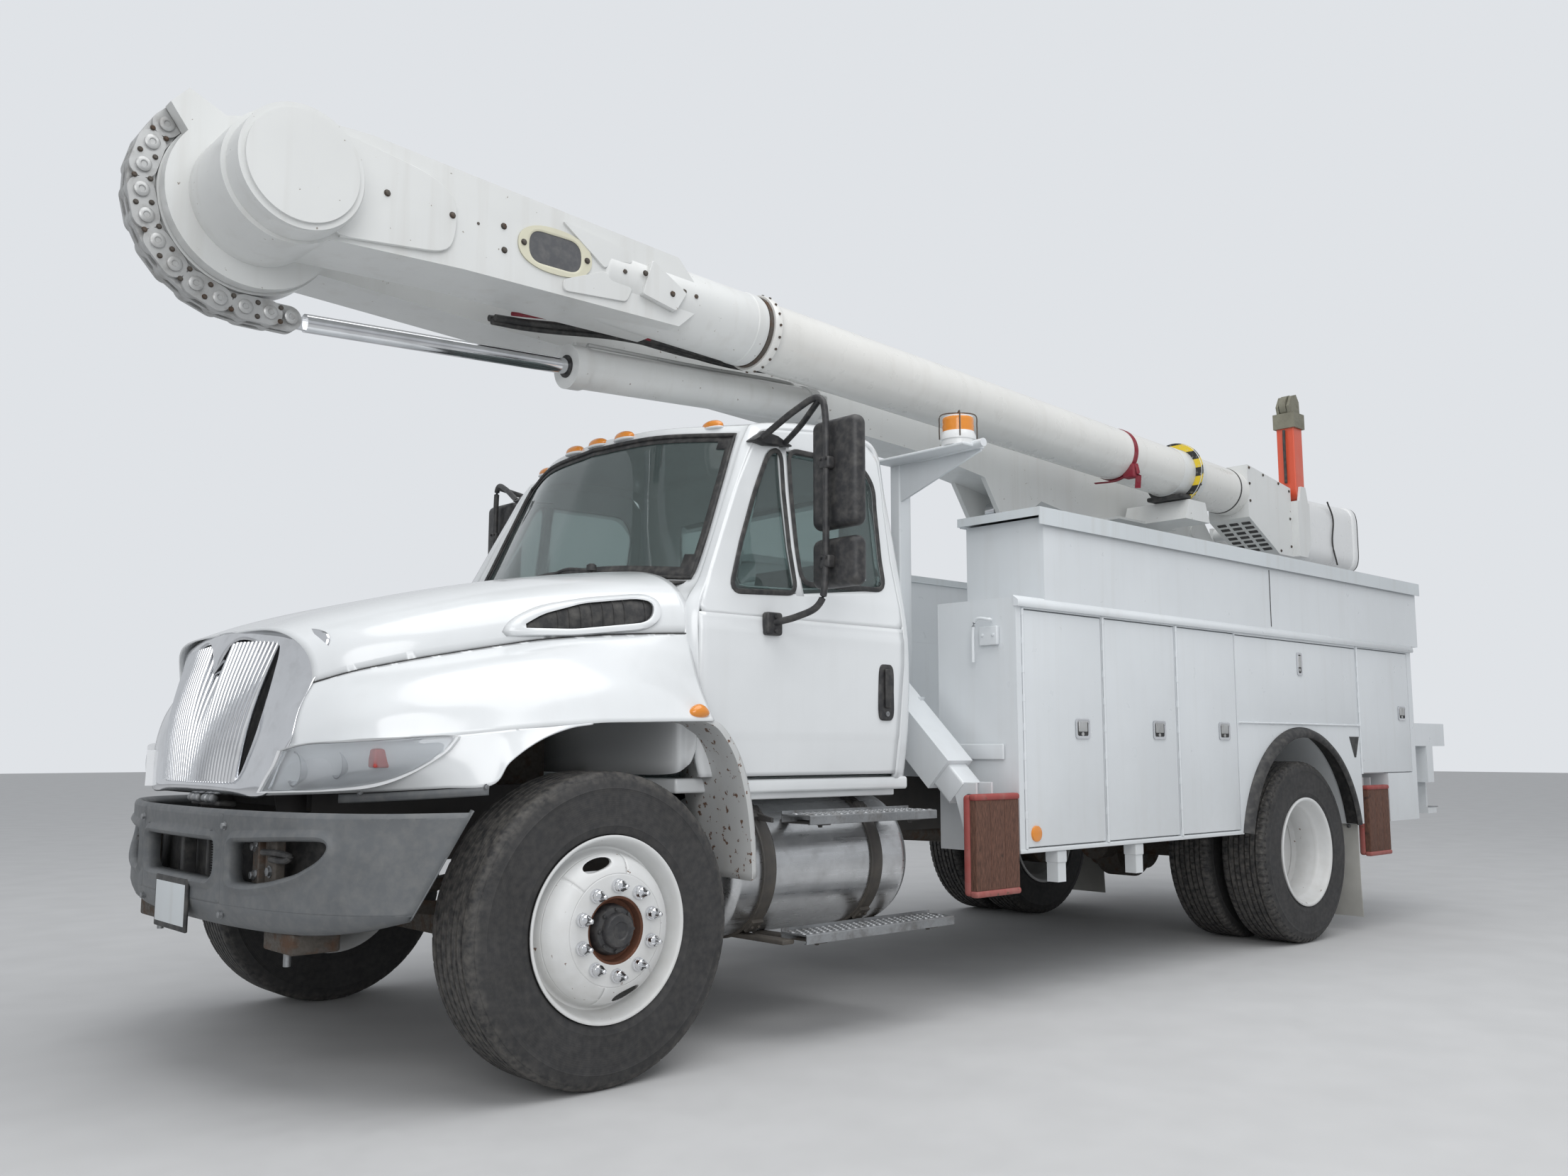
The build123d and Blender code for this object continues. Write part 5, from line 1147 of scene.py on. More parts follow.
@dataclass
class Cab:
    """Cab shell, doors with their windows, windscreen, roof lamps, wipers and mirrors."""

    heights: tuple[float, ...] = (0.95, 1.09, 1.134, 1.142, 1.45, 1.553, 1.568, 1.60, 1.70, 1.75,
                                  1.90, 2.13, 2.335, 2.43, 2.48)
    widths: tuple[float, ...] = (0.990, 1.000, 1.003, 1.006, 1.016, 1.017, 1.011, 1.009, 0.992, 0.978,
                                 0.942, 0.905, 0.884, 0.868, 0.860)
    # Half of the wrap, front to rear: four points from the middle outwards, then X and Z of a
    # point on the door's outline.
    wrap: tuple[tuple[float, ...], ...] = (
        (-0.41, 0, 1.00, -0.41, 0.45, 1.00, -0.42, 0.90, 1.00, -0.468, 0.972, 1.03, -0.487, 1.09),
        (-0.40, 0, 1.36, -0.40, 0.45, 1.36, -0.41, 0.93, 1.36, -0.462, 0.985, 1.36, -0.487, 1.36),
        (-0.42, 0, 1.66, -0.42, 0.42, 1.65, -0.455, 0.89, 1.62, -0.462, 0.972, 1.61, -0.487, 1.60),
        (-0.455, 0, 1.795, -0.485, 0.42, 1.785, -0.578, 0.850, 1.745, -0.560, 0.925, 1.745, -0.555, 1.745),
        (-0.515, 0, 1.95, -0.550, 0.42, 1.94, -0.662, 0.832, 1.91, -0.642, 0.898, 1.905, -0.640, 1.90),
        (-0.605, 0, 2.18, -0.645, 0.415, 2.175, -0.765, 0.802, 2.145, -0.752, 0.866, 2.138, -0.755, 2.13),
        (-0.700, 0, 2.412, -0.745, 0.40, 2.404, -0.868, 0.770, 2.372, -0.862, 0.838, 2.362, -0.870, 2.335),
        (-0.775, 0, 2.462, -0.820, 0.40, 2.455, -0.935, 0.760, 2.428, -0.948, 0.832, 2.422, -0.960, 2.395),
        (-1.20, 0, 2.508, -1.22, 0.40, 2.500, -1.25, 0.765, 2.476, -1.25, 0.834, 2.462, -1.25, 2.432),
        (-1.54, 0, 2.508, -1.54, 0.40, 2.500, -1.53, 0.765, 2.474, -1.528, 0.834, 2.460, -1.525, 2.430),
        (-1.655, 0, 2.44, -1.655, 0.50, 2.435, -1.640, 0.765, 2.415, -1.632, 0.842, 2.402, -1.600, 2.365),
        (-1.680, 0, 2.25, -1.680, 0.60, 2.25, -1.672, 0.800, 2.22, -1.655, 0.868, 2.20, -1.612, 2.20),
        (-1.684, 0, 1.85, -1.684, 0.60, 1.85, -1.680, 0.872, 1.87, -1.664, 0.928, 1.90, -1.614, 1.90),
        (-1.684, 0, 1.45, -1.684, 0.60, 1.45, -1.680, 0.930, 1.50, -1.664, 0.990, 1.55, -1.615, 1.60),
        (-1.684, 0, 1.20, -1.684, 0.60, 1.20, -1.680, 0.925, 1.20, -1.664, 0.984, 1.20, -1.595, 1.20),
        (-1.680, 0, 0.955, -1.680, 0.60, 0.955, -1.672, 0.905, 0.955, -1.650, 0.962, 0.96, -1.575, 0.975))
    gap: float = 0.005
    belt: float = 1.60
    panes_middle: tuple[float, float] = (-1.15, 2.0)
    door_rear: Outline = ((0.985, -1.575), (1.45, -1.615), (1.60, -1.615))
    door_front: Outline = ((0.985, -0.515), (1.05, -0.492), (1.18, -0.487),
                                                   (1.36, -0.487), (1.60, -0.487))
    frame_line: Outline = (
        (-1.615, 1.60), (-1.614, 1.90), (-1.612, 2.20), (-1.600, 2.365), (-1.525, 2.430),
        (-1.25, 2.432), (-0.96, 2.395), (-0.870, 2.335), (-0.755, 2.13), (-0.640, 1.90),
        (-0.555, 1.745), (-0.487, 1.60))
    window: Outline = (
        (-1.535, 1.765), (-1.555, 2.235), (-1.48, 2.318), (-1.055, 2.318), (-1.045, 1.752))
    vent: Outline = (
        (-1.005, 1.708), (-1.012, 2.312), (-0.945, 2.292), (-0.840, 2.09), (-0.655, 1.690))

    def width(self, z: np.ndarray) -> np.ndarray:
        """Half width of the cab's side at a height."""
        return np.interp(z, self.heights, self.widths)

    def on_side(self, flat: np.ndarray, side: int = 1, out: float = 0.0) -> np.ndarray:
        """Lays points given as (x, z) on the cab's side, or a little off it."""
        return np.stack([flat[..., 0] + FRONT_AXLE, side * (self.width(flat[..., 1]) + out),
                         flat[..., 1]], -1)

    def build(self) -> None:
        """Makes the cab and its doors, and hides the plain solids that they stand for."""
        shell, net = self.shell()
        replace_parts(shell, "cab_shell")
        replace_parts(self.screen(net), "cab_glass")
        for side, word in SIDES:
            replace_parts(self.door(side, word), f"door_{word}")
            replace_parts(self.windows(side, word), f"door_glass_{word}")
            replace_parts(self.mirror(side, word), f"mirror_{word}")
            self.handle(side, word)
        self.fittings()

    def net_rows(self) -> list[list[float]]:
        """Rows of the wrap, with the last point of each laid on the cab's side."""
        return [[*run[:-2], run[-2], float(self.width(run[-1])), run[-1]] for run in self.wrap]

    def shell(self) -> tuple[bpy.types.Object, np.ndarray]:
        """Cab wrap with the windscreen, the rear window and both doors left open."""
        net = smooth_net(self.net_rows(), 6, 8)
        keep = np.ones((net.shape[0] - 1, net.shape[1] - 1), bool)
        keep[SCREEN_CELLS] = False
        keep[REAR_PANE_CELLS] = False
        pile = Pile("cab_wrap").skin(net, station(-1.0, 0, 1.7), keep, both=True)
        shell = pile.make("chassis", CAB_WHITE, "cab_paint", smooth=35, wall=0.02)
        floor = Pile("cab_floor").block((-1.66, -0.93, 0.93), (-0.45, 0.93, 0.985), 0.012)
        for side in (1, -1):
            floor.block((-1.66, 0.90, 0.925), (-0.60, 0.985, 0.978), 0.012, side)
            floor.block((-1.60, 0.93, 0.90), (-0.70, 0.96, 0.93), 0.006, side)
        floor.make("chassis", CAB_WHITE, "cab_paint")
        return shell, net

    def screen(self, net: np.ndarray) -> bpy.types.Object:
        """Windscreen and rear glass on the wrap's own curve, with the black band at their rim."""
        back = np.array([-0.008, 0, -0.003])
        front, rear = corners_of(net, SCREEN_CELLS), corners_of(net, REAR_PANE_CELLS)
        inside = station(-1.0, 0, 2.0)
        glass = Pile("cab_panes").skin(front + back, inside, both=True)
        glass.skin(rear - back * [1, 1, 0], inside, both=True)
        panes = glass.make("chassis", WINDOW, "window_glass", wall=0.005)
        keep = np.zeros((front.shape[0] - 1, front.shape[1] - 1), bool)
        keep[:2], keep[-1:], keep[:, -1:] = True, True, True
        keep[2:4, -2], keep[-2, -2:] = True, True
        band = Pile("screen_band").skin(front + back * 0.5, inside, keep, both=True)
        band.make("chassis", TRIM_BLACK, "trim_rubber", wall=0.002)
        seal = Pile("screen_seals")
        line = np.concatenate([front[0], front[1:, -1], front[-1, -2::-1]])
        for side in (1, -1):
            seal.pipe(line * [1, side, 1], 0.009, 8, 1)
            rim = np.concatenate([rear[0], rear[1:, -1], rear[-1, -2::-1]])
            seal.pipe(rim * [1, side, 1], 0.012, 8, 1)
        seal.make("chassis", TRIM_BLACK, "trim_rubber")
        return panes

    def door(self, side: int, word: str) -> bpy.types.Object:
        """Door skin: a panel up to the belt and a frame round the windows, both on the side."""
        z = np.linspace(self.door_rear[0][0] + self.gap, self.belt, 36)
        rear = np.interp(z, *zip(*self.door_rear)) + self.gap
        front = np.interp(z, *zip(*self.door_front)) - self.gap
        across = np.linspace(0, 1, 30)
        flat = np.stack([rear[:, None] + (front - rear)[:, None] * across,
                         np.repeat(z[:, None], 30, 1)], -1)
        inside = station(-1.1, 0, 1.7)
        pile = Pile(f"door_skin_{word}").skin(self.on_side(flat, side), inside)
        centre = self.panes_middle
        outer = by_angle(rounded_outline(self.frame_line, 0.02), centre, 180)
        outer += (np.array(centre) - outer) * (self.gap / np.linalg.norm(outer - centre, axis=1,
                                                                          keepdims=True))
        outer[:, 1] = np.where(outer[:, 1] < self.belt + 0.012, self.belt, outer[:, 1])
        hole = by_angle(self.opening(), centre, 180)
        share = np.linspace(0, 1, 9)[:, None, None]
        ring = outer[None] * (1 - share) + hole[None] * share
        ring = closed(ring)
        pile.skin(self.on_side(ring, side), inside)
        post = np.array([[(-1.043, z), (-1.030, z), (-1.014, z), (-1.003, z)]
                         for z in np.linspace(1.70, 2.325, 12)])
        pile.skin(self.on_side(post, side, 0.001), inside)
        door = pile.make(f"door_{word}", CAB_WHITE, "cab_paint", smooth=25, wall=0.022)
        seal = Pile(f"door_seals_{word}")
        for outline in (self.window, self.vent):
            line = resample(rounded_outline(outline, 0.055, 8), 120)
            seal.loop(self.on_side(line, side, 0.002), 0.011, 8, 0.5)
        seal.make(f"door_{word}", TRIM_BLACK, "trim_rubber")
        return door

    def opening(self) -> np.ndarray:
        """Outline of the two side windows taken together."""
        return rounded_outline([(-1.535, 1.765), (-1.555, 2.235), (-1.48, 2.318), (-0.945, 2.312),
                                (-0.840, 2.09), (-0.655, 1.690), (-1.00, 1.705)], 0.05)

    def windows(self, side: int, word: str) -> bpy.types.Object:
        """Side window and vent window as one pane behind their shared opening."""
        centre = np.array(self.panes_middle)
        edge = by_angle(self.opening(), self.panes_middle, 120)
        share = np.linspace(1.01, 0, 10)[:, None, None]
        fan = centre + (edge[None] - centre) * share
        fan = closed(fan)
        pile = Pile(f"door_panes_{word}").skin(self.on_side(fan, side, -0.012), station(-1.1, 0, 1.7))
        return pile.make(f"door_{word}", WINDOW, "window_glass", wall=0.004)

    def handle(self, side: int, word: str) -> None:
        """Recessed pull handle: an oval cup, its paddle and the lock."""
        out = float(self.width(1.33))
        cup, paddle = Pile(f"handle_cup_{word}"), Pile(f"handle_paddle_{word}")
        rim = oval(0.046, 0.118, 5, 40) + np.array([-1.497 + FRONT_AXLE, 1.328])
        cup.plate(rim, side * (out - 0.006), side * (out + 0.007), Along.Y, 0.004)
        cup.make(f"door_{word}", MIRROR_BLACK, "mirror_plastic")
        paddle.block((-1.513, out + 0.006, 1.262), (-1.480, out + 0.020, 1.425), 0.007, side)
        paddle.make(f"door_{word}", TRIM_BLACK, "mirror_plastic")
        lock = Pile(f"door_lock_{word}")
        lock.lathe(outwards([(0.005, 0.012), (0.012, 0.011), (0.012, 0.003), (0.009, 0.002)], out, side),
                   station(-1.497, 0, 1.238), Along.Y, 20)
        lock.make(f"door_{word}", ZINC, "mirror_plastic")

    def mirror(self, side: int, word: str) -> bpy.types.Object:
        """Two mirror heads on a bent tube that runs down in front of them."""
        name = f"door_{word}"
        heads = Pile(f"mirror_heads_{word}")
        for low, high in ((1.938, 2.372), (1.708, 1.902)):
            heads.block((-1.030, 1.118, low), (-0.955, 1.368, high), 0.034, side, 6)
        piece = heads.make(name, MIRROR_BLACK, "mirror_plastic", smooth=50)
        faces = Pile(f"mirror_faces_{word}")
        for low, high in ((1.962, 2.348), (1.728, 1.882)):
            faces.block((-1.0325, 1.140, low), (-1.028, 1.346, high), 0.0022, side)
        faces.make(name, CHROME, "mirror_plastic")
        arm = Pile(f"mirror_arm_{word}")
        path = [(-0.835, 1.028, 1.575), (-0.885, 1.120, 1.598), (-0.922, 1.200, 1.640),
                (-0.930, 1.228, 1.740), (-0.932, 1.232, 2.050), (-0.932, 1.232, 2.360),
                (-0.925, 1.200, 2.452), (-0.905, 1.090, 2.420), (-0.875, 0.930, 2.335)]
        arm.pipe(stations(path, side), 0.0135, 14, 8)
        arm.pipe(stations([(-0.928, 1.205, 2.448), (-0.985, 1.04, 2.385), (-1.010, 0.915, 2.335)], side),
                 0.0125, 12, 6)
        for z in (1.805, 2.190):
            arm.block((-0.957, 1.205, z - 0.024), (-0.916, 1.260, z + 0.024), 0.010, side)
            arm.bolts(stations([(-0.914, 1.232 + d, z + 0.013) for d in (-0.014, 0.014)], side), Along.X,
                      0.006, 0.005)
        arm.block((-0.882, 1.008, 1.528), (-0.800, 1.046, 1.618), 0.012, side)
        arm.bolts(stations([(-0.842, 1.044, 1.600), (-0.842, 1.044, 1.545)], side), Along.Y, 0.009, 0.008,
                  side)
        base = [(-1.060, 2.330), (-0.985, 2.362), (-0.905, 2.372), (-0.835, 2.322), (-0.905, 2.312)]
        arm.plate(np.array(base) + [FRONT_AXLE, 0], side * 0.862, side * 0.915, Along.Y, 0.012)
        arm.make(name, MIRROR_BLACK, "mirror_plastic", smooth=50)
        return piece

    def fittings(self) -> None:
        """Roof marker lamps on their seats, wipers and the dark grille below the windscreen."""
        lamps, base = Pile("roof_markers"), Pile("roof_marker_seats")
        for y, x, z in ((0, -0.722, 2.437), (0.19, -0.728, 2.436), (-0.19, -0.728, 2.436),
                        (0.63, -0.862, 2.425), (-0.63, -0.862, 2.425)):
            for pile, grow, height, rise in ((base, 1.10, 0.012, -0.006), (lamps, 1.0, 0.026, 0.005)):
                ball = dome((0.030 * grow, 0.062 * grow, height), -0.5, 9)
                pile.grid(ball + [0, 0, rise] + stations((x, y, z)))
        lamps.make("chassis", AMBER, "lamp_glass", smooth=60)
        base.make("chassis", CAB_WHITE, "cab_paint", smooth=60)
        wipers = Pile("wipers")
        for side in (1, -1):
            root = (-0.452, side * 0.36, 1.812)
            tip = (-0.492, side * 0.36 - 0.40, 1.818)
            wipers.lathe([(0, 0.022), (0.022, 0.020), (0.028, 0.012)], station(*root), Along.Z, 20)
            middle = 0.5 * (np.array(root) + tip) + [0.012, 0, 0.022]
            wipers.pipe(stations([root, middle, tip]), 0.007, 8)
            wipers.sweep(stations([(-0.470, tip[1] - 0.26, 1.808), (tip[0] - 0.006, tip[1], 1.812),
                                   (-0.520, tip[1] + 0.26, 1.815)]), oval(0.005, 0.014, 3, 10))
        wipers.make("chassis", TRIM_BLACK, "trim_rubber", smooth=50)
        cowl = Pile("cowl_grille").skin(smooth_net([
            (-0.445, 0, 1.775, -0.450, 0.42, 1.765, -0.47, 0.80, 1.725),
            (-0.47, 0, 1.785, -0.50, 0.42, 1.775, -0.575, 0.842, 1.737),
            (-0.52, 0, 1.790, -0.54, 0.42, 1.780, -0.60, 0.842, 1.742)], 4, 8),
            station(-0.5, 0, 1.0), both=True)
        cowl.make("chassis", TRIM_BLACK, "trim_rubber", wall=0.01)


@dataclass
class Bumper:
    """Moulded bumper with rolled rims round its openings, and the parts and painted shade seen through them.
    """

    plan: Outline = (
        (0.985, 0.0), (0.975, 0.35), (0.93, 0.65), (0.85, 0.88), (0.72, 1.05), (0.485, 1.15))
    top_roll: Outline = (
        (0.874, -0.004), (0.885, 0.0), (0.895, -0.004), (0.900, -0.012), (0.898, -0.022),
        (0.887, -0.032), (0.870, -0.038))
    foot_roll: Outline = (
        (0.612, -0.004), (0.600, 0.0), (0.578, -0.006), (0.548, -0.020), (0.527, -0.042), (0.520, -0.075))
    inside: Point = station(0.3, 0, 0.72)
    line: np.ndarray = field(init=False)
    out: np.ndarray = field(init=False)
    reach: np.ndarray = field(init=False)

    def __post_init__(self) -> None:
        """Measures the plan curve: its points, outward directions and arc lengths."""
        half = np.array(self.plan)
        self.line = smooth(np.vstack([half[1:2] * [1, -1], half]), 12)[12:]
        ahead = np.gradient(self.line, axis=0)
        self.out = np.column_stack([ahead[:, 1], -ahead[:, 0]])
        self.out /= np.linalg.norm(ahead, axis=1, keepdims=True)
        step = np.linalg.norm(np.diff(self.line, axis=0), axis=1)
        self.reach = np.concatenate([[0], np.cumsum(step)])

    def at(self, flat: np.ndarray) -> np.ndarray:
        """Places points given as (arc length from the middle, height, rise over the face)."""
        s, z, rise = np.moveaxis(np.asarray(flat, float), -1, 0)
        x, y = (np.interp(np.abs(s), self.reach, self.line[:, k]) for k in (0, 1))
        nx, ny = (np.interp(np.abs(s), self.reach, self.out[:, k]) for k in (0, 1))
        return np.stack([x + nx * rise + FRONT_AXLE, np.where(s < 0, -1, 1) * (y + ny * rise), z], -1)

    def arc(self, y: float | np.ndarray) -> float | np.ndarray:
        """Arc length at which the face reaches a distance from the truck's middle."""
        return np.interp(y, self.line[:, 1], self.reach)

    def end(self, z: float | np.ndarray) -> float | np.ndarray:
        """Arc length of the bumper's end, which leans forward towards its foot."""
        return np.interp(-np.interp(z, (0.585, 0.915), (0.66, 0.49)), -self.line[:, 0], self.reach)

    def build(self) -> None:
        """Makes the bumper and what is fixed to it or stands behind it."""
        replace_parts(self.face(), "bumper")
        self.behind()
        self.fittings()

    def face(self) -> bpy.types.Object:
        """Three holed panels between a rolled top edge and a foot that turns under."""
        rim = [(0.0, -0.045), (0.0, -0.006), (0.005, 0.004), (0.015, 0.010), (0.026, 0.006), (0.036, 0.0)]
        inside = self.inside
        middle = np.array([(-0.385, 0.60), (0.385, 0.60), (0.385, 0.885), (-0.385, 0.885)])
        hole = rounded_outline([(-0.30, 0.674), (0.30, 0.674), (0.333, 0.70), (0.333, 0.797),
                                (-0.333, 0.797), (-0.333, 0.70)], 0.022)
        pile = Pile("bumper_face").skin(self.at(holed_panel(middle, hole, (0, 0.735), rim, 6, 360)), inside)
        flank = np.array([(0.385, 0.60), (float(self.end(0.60)), 0.60),
                          (float(self.end(0.885)), 0.885), (0.385, 0.885)])
        gill = rounded_outline([(self.arc(y), z) for y, z in (
            (0.440, 0.674), (0.440, 0.797), (0.74, 0.812), (0.875, 0.815), (0.893, 0.798), (0.86, 0.757),
            (0.78, 0.715), (0.66, 0.686), (0.55, 0.672))], 0.03)
        for side in (1, -1):
            panel = holed_panel(flank, gill, (float(self.arc(0.62)), 0.745), rim, 16, 360)
            pile.skin(self.at(panel * [side, 1, 1]), inside)
            z = np.linspace(0.585, 0.905, 24)
            cap = np.stack([np.stack([side * self.end(z), z, np.full(24, rise)], -1)
                            for rise in (0.0, -0.006, -0.03, -0.06)])
            pile.skin(self.at(cap), inside)
            strip = [[(side * s, z, -0.004) for z in np.linspace(0.59, 0.89, 8)] for s in (0.375, 0.395)]
            pile.skin(self.at(np.array(strip)), inside)
        share = np.linspace(-1, 1, 141)
        lift = 0.055 * np.clip((np.abs(share) - 0.55) / 0.45, 0, 1) ** 2
        for roll, rise_by in ((self.top_roll, 0.0), (self.foot_roll, 1.0)):
            rows = [np.stack([share * self.end(z), z + lift * rise_by * (z < 0.59) * (0.6 - z) / 0.08,
                              np.full(141, rise)], -1) for z, rise in roll]
            pile.skin(self.at(np.stack(rows)), inside)
        return pile.make("chassis", BUMPER_GREY, "bumper_plastic", smooth=40, wall=0.005)

    def behind(self) -> None:
        """Dark sheet of painted shade behind the openings, cooler fins, rail ends with their bolts and the
        tow hooks.
        """
        back = Pile("bumper_shade_and_brackets")
        # The dark sheet behind the openings is painted shade; the blocks and pipes added to it are parts.
        s = np.linspace(-0.98, 0.98, 61)
        back.skin(self.at(np.stack([np.stack([s, np.full(61, z), np.full(61, -0.11)], -1)
                                    for z in (0.60, 0.72, 0.84)])), self.inside)
        back.block((0.885, 0.085, 0.66), (0.915, 0.105, 0.815), 0.004)
        back.block((0.885, -0.12, 0.66), (0.93, -0.09, 0.815), 0.004)
        for side in (1, -1):
            back.pipe(stations([(0.915, 0.58, 0.772), (0.90, 0.66, 0.772), (0.885, 0.72, 0.764),
                                (0.893, 0.70, 0.750), (0.905, 0.62, 0.752)], side), 0.010, 10)
        back.make("chassis", TRIM_BLACK, "frame_steel")
        fins = Pile("cooler_fins")
        for k in range(16):
            fins.block((0.890, 0.105, 0.668 + k * 0.0088), (0.906, 0.345, 0.6715 + k * 0.0088), 0.001, 1, 2)
        fins.make("chassis", ZINC, "frame_steel")
        plates, bolts = Pile("rail_ends"), Pile("rail_end_bolts")
        for side in (1, -1):
            plates.block((0.885, 0.455, 0.655), (0.897, 0.532, 0.83), 0.003, side)
            plates.block((0.86, 0.540, 0.64), (0.915, 0.552, 0.84), 0.003, side)
            plates.block((0.87, 0.566, 0.64), (0.900, 0.650, 0.84), 0.003, side)
            bolts.bolts(stations([(0.897, y, z) for y, z in ((0.470, 0.782), (0.508, 0.795),
                                                             (0.470, 0.692), (0.512, 0.700))], side),
                        Along.X, 0.013, 0.014)
            bolts.bolts(stations([(0.900, 0.605, 0.712)], side), Along.X, 0.015, 0.012)
            plates.block((0.71, 0.50, 0.462), (0.87, 0.72, 0.530), 0.010, side)
            bolts.lathe([(-0.02, 0.012), (0.05, 0.012), (0.05, 0.018), (0.06, 0.018)],
                        station(0.83, side * 0.60, 0.435), Along.Z, 12)
        plates.make("chassis", CAST_IRON, "axle_iron")
        bolts.make("chassis", ZINC, "axle_iron")

    def fittings(self) -> None:
        """Bolts through the face, the hood's pins and bracket behind it and the blank plate."""
        bolts = Pile("bumper_bolts")
        for side in (1, -1):
            for y, z in ((0.40, 0.848), (0.385, 0.566)):
                place = self.at(np.array([side * self.arc(y), z, -0.001 if z > 0.6 else -0.010]))
                bolts.bolts([tuple(place)], Along.X, 0.011, 0.013)
            for y in (0.79, 1.09):
                x = float(np.interp(y, (0.735, 0.846, 0.997, 1.098), (0.745, 0.66, 0.53, 0.42)))
                bolts.bolts(stations([(x - 0.002, y + 0.004, 0.955 + 0.02 * (y > 1))], side), Along.Y, 0.008,
                            0.006, side)
        pins, hook = Pile("hood_pins"), Pile("hood_bracket")
        for y in (0.075, 0.125, 0.205, 0.255):
            pins.lathe([(-0.019, 0.010), (-0.016, 0.015), (0.016, 0.015), (0.019, 0.010)],
                       station(0.929, y - 0.1, 0.927), Along.Y, 20)
        bolts.make("chassis", ZINC, "frame_steel")
        pins.make("hood", ZINC, "frame_steel")
        hook.block((0.86, -0.06, 0.900), (0.925, 0.20, 0.918), 0.008)
        hook.make("hood", TRIM_BLACK, "frame_steel")
        frame_pile, plate = Pile("plate_frame"), Pile("plate_blank")
        frame_pile.block((0.985, -0.155, 0.487), (0.997, 0.155, 0.662), 0.005)
        plate.block((0.9965, -0.142, 0.506), (0.9985, 0.142, 0.643), 0.001)
        frame_pile.make("chassis", TRIM_BLACK, "bumper_plastic")
        plate.make("chassis", BOX_WHITE, "bumper_plastic")


